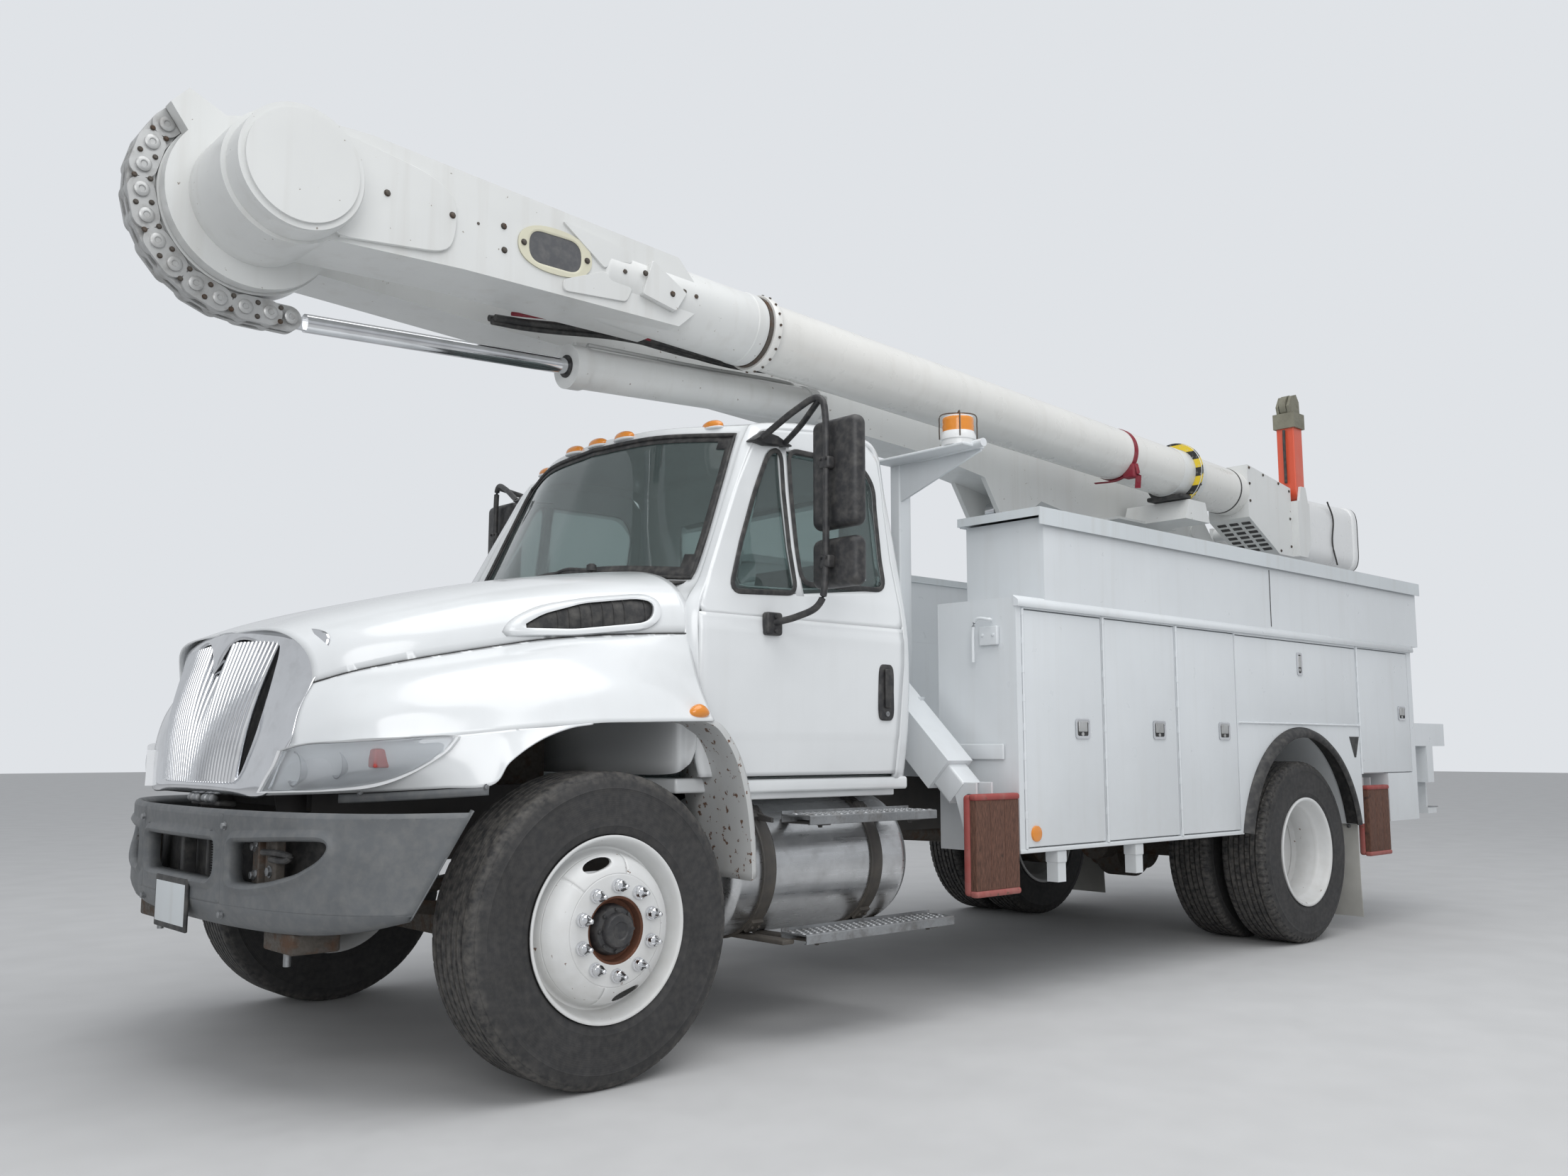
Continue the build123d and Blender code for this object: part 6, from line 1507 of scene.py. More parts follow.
@dataclass
class Wheels:
    """Steel wheels with hand holes, hubs and nuts, and the tyres with their ribs."""

    front_disc: Outline = (
        (0.296, 0.124), (0.3015, 0.129), (0.3025, 0.134), (0.297, 0.136), (0.290, 0.131), (0.284, 0.118),
        (0.278, 0.098), (0.270, 0.076), (0.263, 0.066), (0.256, 0.066), (0.251, 0.076), (0.243, 0.104),
        (0.231, 0.131), (0.214, 0.150), (0.196, 0.161), (0.180, 0.1665), (0.170, 0.1675), (0.114, 0.1675),
        (0.109, 0.164), (0.107, 0.155), (0.106, 0.10))
    rear_disc: Outline = (
        (0.296, 0.124), (0.3015, 0.129), (0.3025, 0.134), (0.297, 0.136), (0.290, 0.131), (0.283, 0.116),
        (0.276, 0.096), (0.268, 0.076), (0.261, 0.062), (0.257, 0.040), (0.255, -0.02), (0.253, -0.07),
        (0.246, -0.105), (0.228, -0.135), (0.200, -0.156), (0.178, -0.166), (0.168, -0.1675),
        (0.114, -0.1675), (0.109, -0.171), (0.107, -0.18), (0.106, -0.21))
    casing: Outline = ((0.262, -0.05), (0.286, -0.110), (0.301, -0.116), (0.306, -0.126), (0.318, -0.131),
                       (0.330, -0.1335), (0.333, -0.1355), (0.337, -0.1345), (0.36, -0.1355),
                       (0.40, -0.137), (0.44, -0.1355), (0.452, -0.1355), (0.455, -0.1370),
                       (0.459, -0.1350), (0.472, -0.1320), (0.484, -0.1285), (0.490, -0.1255),
                       (0.4915, -0.1225), (0.498, -0.1195), (0.504, -0.114), (0.508, -0.106),
                       (0.5095, -0.098))
    grooves: tuple[float, ...] = (-0.079, -0.047, -0.016, 0.016, 0.047, 0.079)
    hole_band: tuple[float, float] = (0.1805, 0.2505)
    hole_turns: tuple[float, float] = (74.0, 254.0)
    stud_circle: float = 0.1425
    cap_circle: float = 0.066
    front_seat_y: float = 1.2025

    def build(self) -> None:
        """Makes all six wheels and hides the plain solids that they stand for."""
        for side, word in SIDES:
            body = f"wheel_front_{word}"
            wheel = self.disc(body, FRONT_AXLE, [(FRONT_WHEEL_Y, 1)], self.front_disc, side)
            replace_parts(wheel, f"wheel_front_{word}")
            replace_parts(self.tyre(body, FRONT_AXLE, (FRONT_WHEEL_Y,), side, False), f"tyre_front_{word}")
            self.hub(body, FRONT_AXLE, side, self.front_seat_y, 0.055, True)
            body = f"wheels_rear_{word}"
            wheel = self.disc(body, REAR_AXLE, list(zip(TWIN_WHEELS_Y, (1, -1))), self.rear_disc, side)
            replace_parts(wheel, f"wheels_rear_{word}")
            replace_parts(self.tyre(body, REAR_AXLE, TWIN_WHEELS_Y, side, True), f"tyres_rear_{word}")
            self.hub(body, REAR_AXLE, side, TWIN_MIDDLE_Y, 0.090, False)

    def disc(self, body: str, x: float, places: list[tuple[float, int]],
             profile: Outline, side: int) -> bpy.types.Object:
        """Rim and disc: turned rings, with two hand holes in the band between them.

        Args:
            body: Body that carries the wheel; also names the piece.
            x: Station of the axle.
            places: Middle of each wheel across the truck and the way that it faces.
            profile: Radius and depth, from the rim's lip to the bore.
            side: 1 on the left, -1 on the right.

        Returns:
            The wheel's object.
        """
        pile = Pile(f"{body}_disc")
        table = np.array(profile)
        steps = 110
        radii, depth = resample(smooth(table, 5), steps, wrap=False).T
        inner, outer = self.hole_band
        band = (radii < outer) & (radii > inner) & (np.arange(steps) > 40)
        first, last = int(np.argmax(band)), int(steps - np.argmax(band[::-1]))
        for middle, facing in places:
            def place(turn: np.ndarray, at: np.ndarray, rise: np.ndarray = 0.0) -> np.ndarray:
                """Points at a turn round the axle and a row of the profile, raised off it."""
                r = np.interp(at, np.arange(steps), radii)
                w = np.interp(at, np.arange(steps), depth) + rise
                return np.stack([x + r * np.cos(turn), side * (middle + facing * w),
                                 AXLE_HEIGHT + r * np.sin(turn)], -1)

            turn = np.linspace(0, 2 * math.pi, 97)
            inside = (x, side * (middle - facing * 0.5), AXLE_HEIGHT)
            for start, stop in ((0, first), (last, steps - 1)):
                at = np.arange(start, stop + 1)
                pile.skin(place(*np.meshgrid(turn, at, indexing="xy")), inside)
            hole = oval(0.25, (last - first) * 0.27, 2.2, 60) + [0, (first + last) / 2]
            for spin in map(math.radians, self.hole_turns):
                box = np.array([(-0.5, first), (0.5, first), (0.5, last), (-0.5, last)], float)
                scale = np.array([last - first, 1.0])
                flat = holed_panel(box * scale, hole * scale, (0, (first + last) / 2),
                                   [(0.0, -0.016), (0.0, -0.002), (0.8, 0.0)], 6, 240)
                pile.skin(place(spin + flat[..., 0] / scale[0], flat[..., 1], flat[..., 2]), inside)
                rest = np.linspace(spin + 0.5, spin + math.pi - 0.5, 40)
                pile.skin(place(*np.meshgrid(rest, np.arange(first, last + 1), indexing="xy")), inside)
            pile.lathe([(side * (middle + facing * w), r) for r, w in
                        ((0.290, 0.120), (0.262, 0.05), (0.262, -0.06), (0.286, -0.112), (0.302, -0.118),
                         (0.302, -0.130), (0.292, -0.130), (0.272, -0.112), (0.250, -0.055), (0.250, 0.04))],
                       (x, 0, AXLE_HEIGHT), Along.Y, 64, wrap=True)
        return pile.make(body, WHEEL_WHITE, "wheel_paint", smooth=50, wall=0.0035)

    def hub(self, body: str, x: float, side: int, seat: float, depth: float, caps: bool) -> None:
        """Rusty bore, black hub with its cap, and ten nuts, under bright covers in front."""
        bore, hub = Pile(f"{body}_bore"), Pile(f"{body}_hub")
        axle = (x, 0, AXLE_HEIGHT)
        bore.lathe([(side * (seat - d), r) for d, r in
                    ((0.002, 0.109), (0.006, 0.101), (0.020, 0.099), (0.035, 0.097), (0.045, 0.070),
                     (0.06, 0.070), (0.06, 0.11))], axle, Along.Y, 48, wrap=True)
        bore.make(body, RUST, "axle_iron")
        out = 0.018 if caps else depth
        hub.lathe(outwards([(-0.05, 0.085), (out - 0.030, 0.078), (out - 0.022, 0.072),
                            (out - 0.018, 0.058), (out, 0.055), (out + 0.006, 0.050),
                            (out + 0.008, 0.030), (out + 0.004, 0.026), (out + 0.004, 0.004)],
                           seat, side), axle, Along.Y, 40)
        hub.bolts([(x + self.cap_circle * math.cos(a), side * (seat + out - 0.020),
                    AXLE_HEIGHT + self.cap_circle * math.sin(a))
                   for a in np.linspace(0, 2 * math.pi, 8, endpoint=False)], Along.Y, 0.006, 0.006, side)
        hub.make(body, MIRROR_BLACK, "axle_iron")
        nuts = Pile(f"{body}_nuts")
        for turn in np.radians(np.arange(10) * 36 + 90):
            place = (x + self.stud_circle * math.cos(turn), 0,
                     AXLE_HEIGHT + self.stud_circle * math.sin(turn))
            if caps:
                parts = ((20, ((0.0, 0.0225), (0.004, 0.0235), (0.012, 0.0225), (0.014, 0.0190),
                               (0.030, 0.0180), (0.032, 0.0160), (0.050, 0.0105), (0.058, 0.0075),
                               (0.061, 0.003))),)
            else:
                parts = ((16, ((0.0, 0.021), (0.006, 0.021))),
                         (6, ((0.005, 0.017), (0.026, 0.017), (0.028, 0.014))),
                         (12, ((0.02, 0.010), (0.044, 0.010), (0.046, 0.008))))
            for steps, profile in parts:
                nuts.lathe(outwards(profile, seat, side), place, Along.Y, steps)
        nuts.make(body, CHROME if caps else CAST_IRON, "rod_chrome" if caps else "axle_iron", smooth=30)

    def tyre(self, body: str, x: float, middles: tuple[float, ...], side: int,
             blocks: bool) -> bpy.types.Object:
        """Casing and grooved tread turned about the axle, with notches round the shoulders."""
        tread = []
        for w in self.grooves:
            tread += [(0.5100, w - 0.0050), (0.4985, w - 0.0036), (0.4985, w + 0.0036), (0.5100, w + 0.0050)]
        half = list(self.casing)
        profile = np.array(half + [(0.5098, -0.092)] + tread + [(0.5098, 0.092)]
                           + [(r, -w) for r, w in half[::-1]])
        steps = 480
        turn = np.linspace(0, 2 * math.pi, steps, endpoint=False)
        radii = np.repeat(profile[:, :1], steps, 1)
        shoulder = (np.abs(profile[:, 1]) > 0.086) & (profile[:, 0] > 0.489)
        pitch = 6 if blocks else 12
        notch = (np.arange(steps) % pitch) < (2 if blocks else 1)
        radii[np.ix_(shoulder, notch)] -= 0.007 if blocks else 0.002
        if blocks:
            rib = (np.abs(np.abs(profile[:, 1]) - 0.0315) < 0.0125) & (profile[:, 0] > 0.5095)
            sipe = ((np.arange(steps) + 3) % pitch) < 1
            radii[np.ix_(rib, sipe)] -= 0.006
        pile = Pile(f"{body}_tyre")
        for middle in middles:
            ring = np.stack([x + radii * np.cos(turn), side * (middle + np.repeat(profile[:, 1:], steps, 1)),
                             AXLE_HEIGHT + radii * np.sin(turn)], -1)
            pile.grid(ring, wrap_u=True, caps=False)
        word = "left" if side > 0 else "right"
        node = f"tyres_rear_{word}" if blocks else f"tyre_front_{word}"
        return pile.make(body, NODE_FINISHES[node], "tyre_rubber", smooth=28)


@dataclass
class Flank:
    """Fuel tank with its straps and filler, and the steps below the doors."""

    tank_y: float = 0.740
    tank_z: float = 0.640
    straps: tuple[float, ...] = (-0.84, -1.43)
    # Each tread's rear and front end, inner and outer edge, and top.
    treads: tuple[tuple[float, ...], ...] = (
        (-1.60, -0.88, 1.035, 1.195, 0.846), (-1.70, -0.86, 1.055, 1.195, 0.412))

    def build(self) -> None:
        """Makes the tank and the steps, and hides the plain solids that they stand for."""
        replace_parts(self.tank(), "fuel_tank")
        self.strap()
        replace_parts(self.steps(), "cab_steps")

    def tank(self) -> bpy.types.Object:
        """Drum with rolled ends, seam beads and a lobed filler cap."""
        pile = Pile("tank_drum")
        profile = [(-1.655, 0.004), (-1.655, 0.150), (-1.650, 0.205), (-1.640, 0.238), (-1.624, 0.259),
                   (-1.605, 0.268), (-1.596, 0.2715), (-1.588, 0.269), (-1.20, 0.269), (-0.712, 0.269),
                   (-0.704, 0.2715), (-0.695, 0.268), (-0.676, 0.259), (-0.660, 0.238), (-0.650, 0.205),
                   (-0.645, 0.150), (-0.645, 0.004)]
        pile.lathe(profile, station(0, self.tank_y, self.tank_z), Along.X, 96)
        drum = pile.make("chassis", TANK_ALLOY, "tank_aluminium", smooth=40)
        cap = Pile("tank_filler")
        foot, tip = np.array(station(-0.705, 0.880, 0.865)), np.array(station(-0.705, 0.925, 0.930))
        ahead = (tip - foot) / np.linalg.norm(tip - foot)
        across = np.cross(ahead, [1.0, 0, 0])
        turn = np.linspace(0, 2 * math.pi, 60, endpoint=False)
        rows = []
        for share, radius, lobe in ((0.0, 0.030, 0), (0.35, 0.030, 0), (0.38, 0.043, 0.04),
                                    (0.50, 0.046, 0.07), (0.92, 0.045, 0.07), (1.0, 0.040, 0.05),
                                    (1.03, 0.024, 0), (1.10, 0.020, 0), (1.12, 0.004, 0)):
            r = radius * (1 + lobe * np.cos(turn * 10))
            rows.append(foot + ahead * 0.079 * share + np.outer(r * np.cos(turn), [1.0, 0, 0])
                        + np.outer(r * np.sin(turn), across))
        cap.grid(np.stack(rows))
        cap.lathe([(-0.004, 0.020), (0.006, 0.020), (0.010, 0.012)], station(-0.78, 0.80, 0.905), Along.Z, 16)
        cap.make("chassis", ZINC, "tank_aluminium")
        return drum

    def strap(self) -> None:
        """Black bands with their rolled edges, buckles and upper brackets."""
        pile = Pile("tank_straps")
        for x in self.straps:
            band = [(x - 0.032, 0.268), (x - 0.032, 0.278), (x - 0.026, 0.280), (x - 0.020, 0.276),
                    (x + 0.020, 0.276), (x + 0.026, 0.280), (x + 0.032, 0.278), (x + 0.032, 0.268)]
            pile.lathe(band, station(0, self.tank_y, self.tank_z), Along.X, 96, wrap=True)
            for turn in (-50, 48):
                c, s = math.cos(math.radians(turn)), math.sin(math.radians(turn))
                y, z = self.tank_y + 0.283 * c, self.tank_z + 0.283 * s
                pile.sweep(stations([(x, y - 0.03 * s, z + 0.03 * c), (x, y + 0.03 * s, z - 0.03 * c)]),
                           rectangle(0.028, 0.008, 0.004, 3))
                pile.bolts(stations([(x + d, y + 0.006 * c, z + 0.006 * s) for d in (-0.016, 0.016)]),
                           Along.Y, 0.007, 0.010)
            hook = [(0.86, 0.880), (0.90, 0.885), (0.935, 0.850), (1.03, 0.832), (1.03, 0.815), (0.92, 0.822),
                    (0.87, 0.855)]
            pile.plate(hook, x + FRONT_AXLE - 0.006, x + FRONT_AXLE + 0.006, Along.X)
            pile.block((x - 0.035, 0.43, 0.40), (x + 0.035, 0.50, 0.90), 0.008)
            pile.block((x - 0.030, 0.44, 0.372), (x + 0.030, 1.12, 0.390), 0.006)
        pile.make("chassis", FRAME_BLACK, "frame_steel", smooth=40)

    def steps(self) -> bpy.types.Object:
        """Folded treads with lips and rows of raised grip rings, upper and lower, both sides."""
        pile, grip, arms = Pile("step_treads"), Pile("step_grips"), Pile("step_arms")
        for side in (1, -1):
            for rear, front, inner, outer, top in self.treads:
                fold = [(inner, top - 0.030), (inner, top + 0.012), (inner + 0.004, top + 0.012),
                        (inner + 0.005, top), (outer - 0.004, top), (outer, top - 0.004),
                        (outer, top - 0.034), (outer - 0.012, top - 0.036), (outer - 0.012, top - 0.032),
                        (outer - 0.004, top - 0.030), (outer - 0.004, top - 0.006),
                        (inner + 0.004, top - 0.006), (inner + 0.004, top - 0.030)]
                ring = np.array([[(x + FRONT_AXLE, side * y, z) for y, z in fold] for x in (rear, front)])
                pile.grid(ring)
                for x in np.arange(rear + 0.03, front - 0.02, 0.034):
                    for k, y in enumerate(np.arange(inner + 0.024, outer - 0.016, 0.030)):
                        grip.lathe([(0, 0.0125), (0.0035, 0.0105), (0.0035, 0.0075), (0, 0.006)],
                                   station(x + 0.017 * (k % 2), side * y, top), Along.Z, 8, wrap=True)
                for x in (rear + 0.11, front - 0.10):
                    arms.block((x - 0.022, 0.80, top - 0.040), (x + 0.022, outer - 0.01, top - 0.026),
                               0.005, side)
                    arms.bolts(stations([(x, outer - 0.05, top - 0.040)], side), Along.Z, 0.009, 0.01, -1)
                if side < 0:
                    arms.block((rear + 0.09, 0.80, 0.385), (rear + 0.13, 0.84, 0.95), 0.005, side)
                    arms.block((front - 0.12, 0.80, 0.385), (front - 0.08, 0.84, 0.95), 0.005, side)
        treads = pile.make("chassis", ZINC, "galvanised_steel")
        grip.make("chassis", ZINC, "galvanised_steel", smooth=60)
        arms.make("chassis", FRAME_BLACK, "frame_steel")
        return treads


DROP_DOOR = 4


@dataclass
class Body:
    """Compartment doors, rails, wheel arches, outriggers, beacon and tail of the utility body."""

    doors: tuple[tuple[int, float, float, float, float, float, float], ...] = (
        (1, -2.776, -2.163, 0.665, 1.710, -2.607, 1.185), (2, -3.430, -2.790, 0.665, 1.710, -3.265, 1.185),
        (3, -4.040, -3.445, 0.665, 1.710, -3.903, 1.185), (4, -5.530, -4.060, 1.235, 1.705, -4.790, 1.580),
        (5, -6.300, -5.545, 0.945, 1.710, -6.180, 1.320))
    legs: tuple[tuple[str, float, float], ...] = (("front", -1.950, 1.190), ("rear", -5.735, 1.155))
    leg_slope: float = math.radians(44)
    leg_top_y: float = 0.760
    leg_drop: float = 0.500
    arch_middle: tuple[float, float] = (REAR_AXLE + 0.037, 0.500)
    arch_radius: float = 0.70
    arch_foot: float = 0.145
    leaf_y: float = 1.220
    beacon_at: tuple[float, float] = (-2.134, 0.900)

    def build(self) -> None:
        """Makes the body's pieces and hides the plain solids that they stand for."""
        for number, *rest in self.doors:
            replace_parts(self.door(number, *rest), f"compartment_door_{number}")
        self.rails()
        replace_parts(self.arches(), "arch_trim")
        for side, word in SIDES:
            for end, x, top in self.legs:
                name = f"outrigger_{end}_{word}"
                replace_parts(self.outrigger(name, side, x, top), name)
        self.beacon()
        self.tail()

    def door(self, number: int, rear: float, front: float, low: float, high: float, latch_x: float,
             latch_z: float) -> bpy.types.Object:
        """Door leaf with a folded edge, its hinge rod and a bright recessed latch."""
        body = f"compartment_door_{number}"
        pile = Pile(f"door_leaf_{number}")
        pile.block((rear, self.leaf_y - 0.024, low), (front, self.leaf_y, high), 0.004)
        if number == DROP_DOOR:
            ends = [(rear + 0.010, low - 0.001), (front - 0.010, low - 0.001)]
        else:
            ends = [(front, low + 0.010), (front, high - 0.010)]
        pile.pipe(stations([(x, 1.224, z) for x, z in ends]), 0.0055, 12, 1)
        tilt = Along.X if number == DROP_DOOR else Along.Z
        for share in np.linspace(0, 1, 9):
            x, z = (a + (b - a) * share for a, b in zip(*ends))
            pile.lathe([(-0.016, 0.0055), (-0.015, 0.0068), (0.015, 0.0068), (0.016, 0.0055)],
                       station(x, 1.224, z), tilt, 12)
        leaf = pile.make(body, DOOR_WHITE, "body_paint")
        half_w, half_h = (0.030, 0.066) if number == DROP_DOOR else (0.055, 0.046)
        bezel, cup, pull = (Pile(f"latch_{part}_{number}") for part in ("rim", "cup", "pull"))
        centre = (latch_x + FRONT_AXLE, latch_z)
        outer = rectangle(half_w, half_h, 0.014)
        hole = outer * [1 - 0.013 / half_w, 1 - 0.013 / half_h]
        bezel.raised_rim(outer + centre, hole + centre, centre, 1.2205,
                         [(0, -0.002), (0, 0.004), (0.004, 0.006)], 4, 80)
        cup.plate(hole * 1.02 + centre, 1.2195, 1.2215, Along.Y, 0.0005)
        pull.rounded((centre[0] - half_w * 0.62, 1.2205, centre[1] - half_h * 0.30),
                     (centre[0] + half_w * 0.62, 1.2275, centre[1] + half_h * 0.72), 0.004)
        pull.lathe([(1.2205, 0.010), (1.2250, 0.009), (1.2250, 0.003)],
                   (centre[0], 0, centre[1] - half_h * 0.52), Along.Y, 16)
        bezel.make(body, CHROME, "rod_chrome", smooth=50, wall=0.001)
        cup.make(body, TRIM_BLACK, "trim_rubber")
        pull.make(body, CHAIN_STEEL, "rod_chrome")
        return leaf

    def rails(self) -> None:
        """Ledge above the doors, seams, a slot of painted shade, blank reflectors, hooks and the front wall's
        fittings.
        """
        white, dark, amber = Pile("body_rails"), Pile("body_slot_shade_and_seams"), Pile("body_reflectors")
        for side in (1, -1):
            ledge = [(1.212, 1.722), (1.238, 1.722), (1.242, 1.730), (1.240, 1.752), (1.212, 1.772)]
            white.plate([(side * y, z) for y, z in ledge], -6.372 + FRONT_AXLE, -2.114 + FRONT_AXLE, Along.X)
            white.block((-4.045, 1.214, 0.640), (-2.118, 1.226, 0.658), 0.004, side)
            white.block((-2.116, 0.78, 1.045), (-2.104, 1.15, 1.115), 0.010, side)
            white.pipe(stations([(-2.100, 1.10, 1.665), (-2.080, 1.10, 1.668), (-2.078, 1.02, 1.660),
                                 (-2.078, 1.01, 1.480)], side), 0.008, 10)
            white.block((-2.118, 1.03, 1.555), (-2.098, 1.13, 1.640), 0.004, side)
            white.bolts(stations([(-2.098, y, 1.60) for y in (1.05, 1.11)], side), Along.X, 0.007, 0.006)
            for x in (-2.434, -3.065):
                white.block((x - 0.034, 1.144, 0.585), (x + 0.034, 1.216, 0.640), 0.006, side)
            # The slot behind the arch is a thin dark plate, not an opening: painted shade.
            slot = np.array([(-5.395, 1.165), (-5.525, 1.165), (-5.475, 1.040), (-5.455, 1.040)])
            dark.plate(slot + [FRONT_AXLE, 0], side * 1.2195, side * 1.2225, Along.Y, 0.0008)
            dark.pipe(stations([(-4.475, 1.2205, 1.778), (-4.475, 1.2205, 2.100)], side), 0.003, 6, 1)
            amber.lathe(outwards([(1.218, 0.036), (1.228, 0.034), (1.230, 0.028), (1.230, 0.004)], 0, side),
                        station(-2.235, 0, 0.722), Along.Y, 28)
        white.make("chassis", DOOR_WHITE, "body_paint", smooth=40)
        dark.make("chassis", TRIM_BLACK, "trim_rubber")
        amber.make("chassis", AMBER, "lamp_glass")

    def arches(self) -> bpy.types.Object:
        """Rubber flares over the rear wheels; grey flaps hang behind them."""
        pile, flap, bolt = Pile("arch_flares"), Pile("mud_flaps"), Pile("flap_bolts")
        centre = self.arch_middle
        low = math.asin(self.arch_foot / self.arch_radius)
        turn = np.linspace(low, math.pi - low, 72)
        section = np.array([(0.712, 1.214), (0.716, 1.222), (0.708, 1.240), (0.690, 1.258), (0.672, 1.262),
                            (0.660, 1.256), (0.656, 1.244), (0.664, 1.236), (0.684, 1.228), (0.692, 1.160),
                            (0.698, 1.155)])
        for side in (1, -1):
            rings = np.stack([np.stack([centre[0] + section[:, 0] * math.cos(a), side * section[:, 1],
                                        centre[1] + section[:, 0] * math.sin(a)], -1) for a in turn])
            pile.grid(rings)
            flap.sweep(stations([(-5.494, 0.91, 0.660), (-5.496, 0.91, 0.45), (-5.500, 0.91, 0.25),
                                 (-5.512, 0.91, 0.085)], side), rectangle(0.004, 0.292, 0.003, 3), 5)
            bolt.bolts(stations([(-5.486, y, 0.625) for y in (0.68, 0.91, 1.15)], side), Along.X, 0.010,
                       0.008)
        trim = pile.make("chassis", TRIM_BLACK, "trim_rubber", smooth=50)
        flap.make("chassis", FLAP_GREY, "trim_rubber")
        bolt.make("chassis", ZINC, "frame_steel")
        return trim

    def outrigger(self, name: str, side: int, x: float, top: float) -> bpy.types.Object:
        """Sliding leg, its link plates, a red tray and the planks that it holds."""
        way = np.array([0.0, side * math.cos(self.leg_slope), -math.sin(self.leg_slope)])
        start = stations((x, self.leg_top_y, top), side)
        square = rectangle(0.062, 0.062, 0.012, 4)
        leg, tray, board, pins = (Pile(f"{name}_{part}") for part in ("leg", "tray", "planks", "pins"))
        leg.sweep([start - way * 0.24, start + way * 0.415], square)
        foot = top - self.leg_drop
        for dx in (-0.058, 0.046):
            leg.plate([(side * 1.03, foot + 0.26), (side * 1.165, foot + 0.26), (side * 1.165, foot + 0.04),
                       (side * 1.10, foot + 0.04)], x + FRONT_AXLE + dx, x + FRONT_AXLE + dx + 0.012, Along.X)
        pins.lathe([(-0.070, 0.016), (-0.070, 0.022), (-0.064, 0.022), (-0.064, 0.015), (0.064, 0.015),
                    (0.064, 0.022), (0.070, 0.022), (0.070, 0.016)],
                   station(x, side * 1.135, foot + 0.19), Along.X, 20)
        tray.block((x - 0.150, 1.162, foot - 0.210), (x + 0.150, 1.202, foot + 0.210), 0.016, side)
        for z0, z1 in ((foot + 0.186, foot + 0.214), (foot - 0.214, foot - 0.186)):
            tray.block((x - 0.152, 1.196, z0), (x + 0.152, 1.240, z1), 0.012, side)
        for k in range(3):
            rear = x - 0.146 + k * 0.0975
            board.block((rear, 1.200, foot - 0.187), (rear + 0.0965, 1.234, foot + 0.187), 0.003, side)
        piece = tray.make(name, PAD_RED, "outrigger_paint", smooth=40)
        leg.make(name, DOOR_WHITE, "outrigger_paint")
        board.make(name, PAD_TIMBER, "outrigger_paint")
        pins.make(name, ZINC, "outrigger_paint")
        return piece

    def beacon(self) -> None:
        """Amber rotating lamp with its base, wire guard and wedge bracket."""
        centre = station(*self.beacon_at, 0)
        lens, base, wire = Pile("beacon_lens"), Pile("beacon_base"), Pile("beacon_guard")
        lens.lathe([(2.566, 0.060), (2.566, 0.0745), (2.580, 0.0735), (2.592, 0.0755), (2.604, 0.0730),
                    (2.616, 0.0745), (2.630, 0.0735), (2.640, 0.0700), (2.645, 0.060), (2.647, 0.004)],
                   centre, Along.Z, 48)
        base.lathe([(2.498, 0.060), (2.500, 0.078), (2.515, 0.080), (2.525, 0.079), (2.528, 0.084),
                    (2.545, 0.084), (2.560, 0.078), (2.567, 0.076), (2.567, 0.004)], centre, Along.Z, 48)
        for turn in np.radians([45, 135]):
            c, n = math.cos(turn) * 0.088, math.sin(turn) * 0.088
            path = [(-c, -n, 2.535), (-c, -n, 2.60), (-c * 0.9, -n * 0.9, 2.652), (0, 0, 2.662),
                    (c * 0.9, n * 0.9, 2.652), (c, n, 2.60), (c, n, 2.535)]
            wire.pipe([(centre[0] + x, centre[1] + y, z) for x, y, z in path], 0.003, 8)
        lens.make("chassis", AMBER, "lamp_glass", smooth=50)
        base.make("chassis", BUCKET_WHITE, "body_paint", smooth=40)
        wire.make("chassis", CAST_IRON, "frame_steel")
        arm = Pile("beacon_bracket")
        arm.plate([(0.430, 2.300), (0.47, 2.300), (0.985, 2.478), (0.985, 2.500), (0.430, 2.500)],
                  -2.205 + FRONT_AXLE, -2.190 + FRONT_AXLE, Along.X)
        arm.block((-2.215, 0.42, 2.486), (-2.060, 0.990, 2.500), 0.005)
        arm.block((-2.268, 0.418, 1.10), (-2.182, 0.482, 2.505), 0.010)
        arm.make("chassis", DOOR_WHITE, "body_paint")

    def tail(self) -> None:
        """Round tail lamps in their rubber rings, and the shelf's tread strip."""
        lamp, ring, tread = Pile("tail_lamps"), Pile("tail_lamp_rings"), Pile("tail_treads")
        for side in (1, -1):
            for z in (1.067, 0.928):
                lamp.lathe([(-0.0, 0.044), (-0.012, 0.042), (-0.018, 0.030), (-0.020, 0.004)],
                           station(-6.716, side * 1.12, z), Along.X, 32)
                ring.lathe([(0.004, 0.056), (-0.008, 0.056), (-0.012, 0.050), (-0.008, 0.044),
                            (0.004, 0.044)], station(-6.712, side * 1.12, z), Along.X, 32, wrap=True)
        for k in range(24):
            y = -1.12 + k * 0.0974
            tread.block((-6.86, y - 0.034, 0.700), (-6.72, y + 0.034, 0.706), 0.002, 1, 2)
        lamp.make("chassis", MARKER_RED, "lamp_glass", smooth=60)
        ring.make("chassis", TRIM_BLACK, "trim_rubber", smooth=50)
        tread.make("chassis", ZINC, "galvanised_steel")


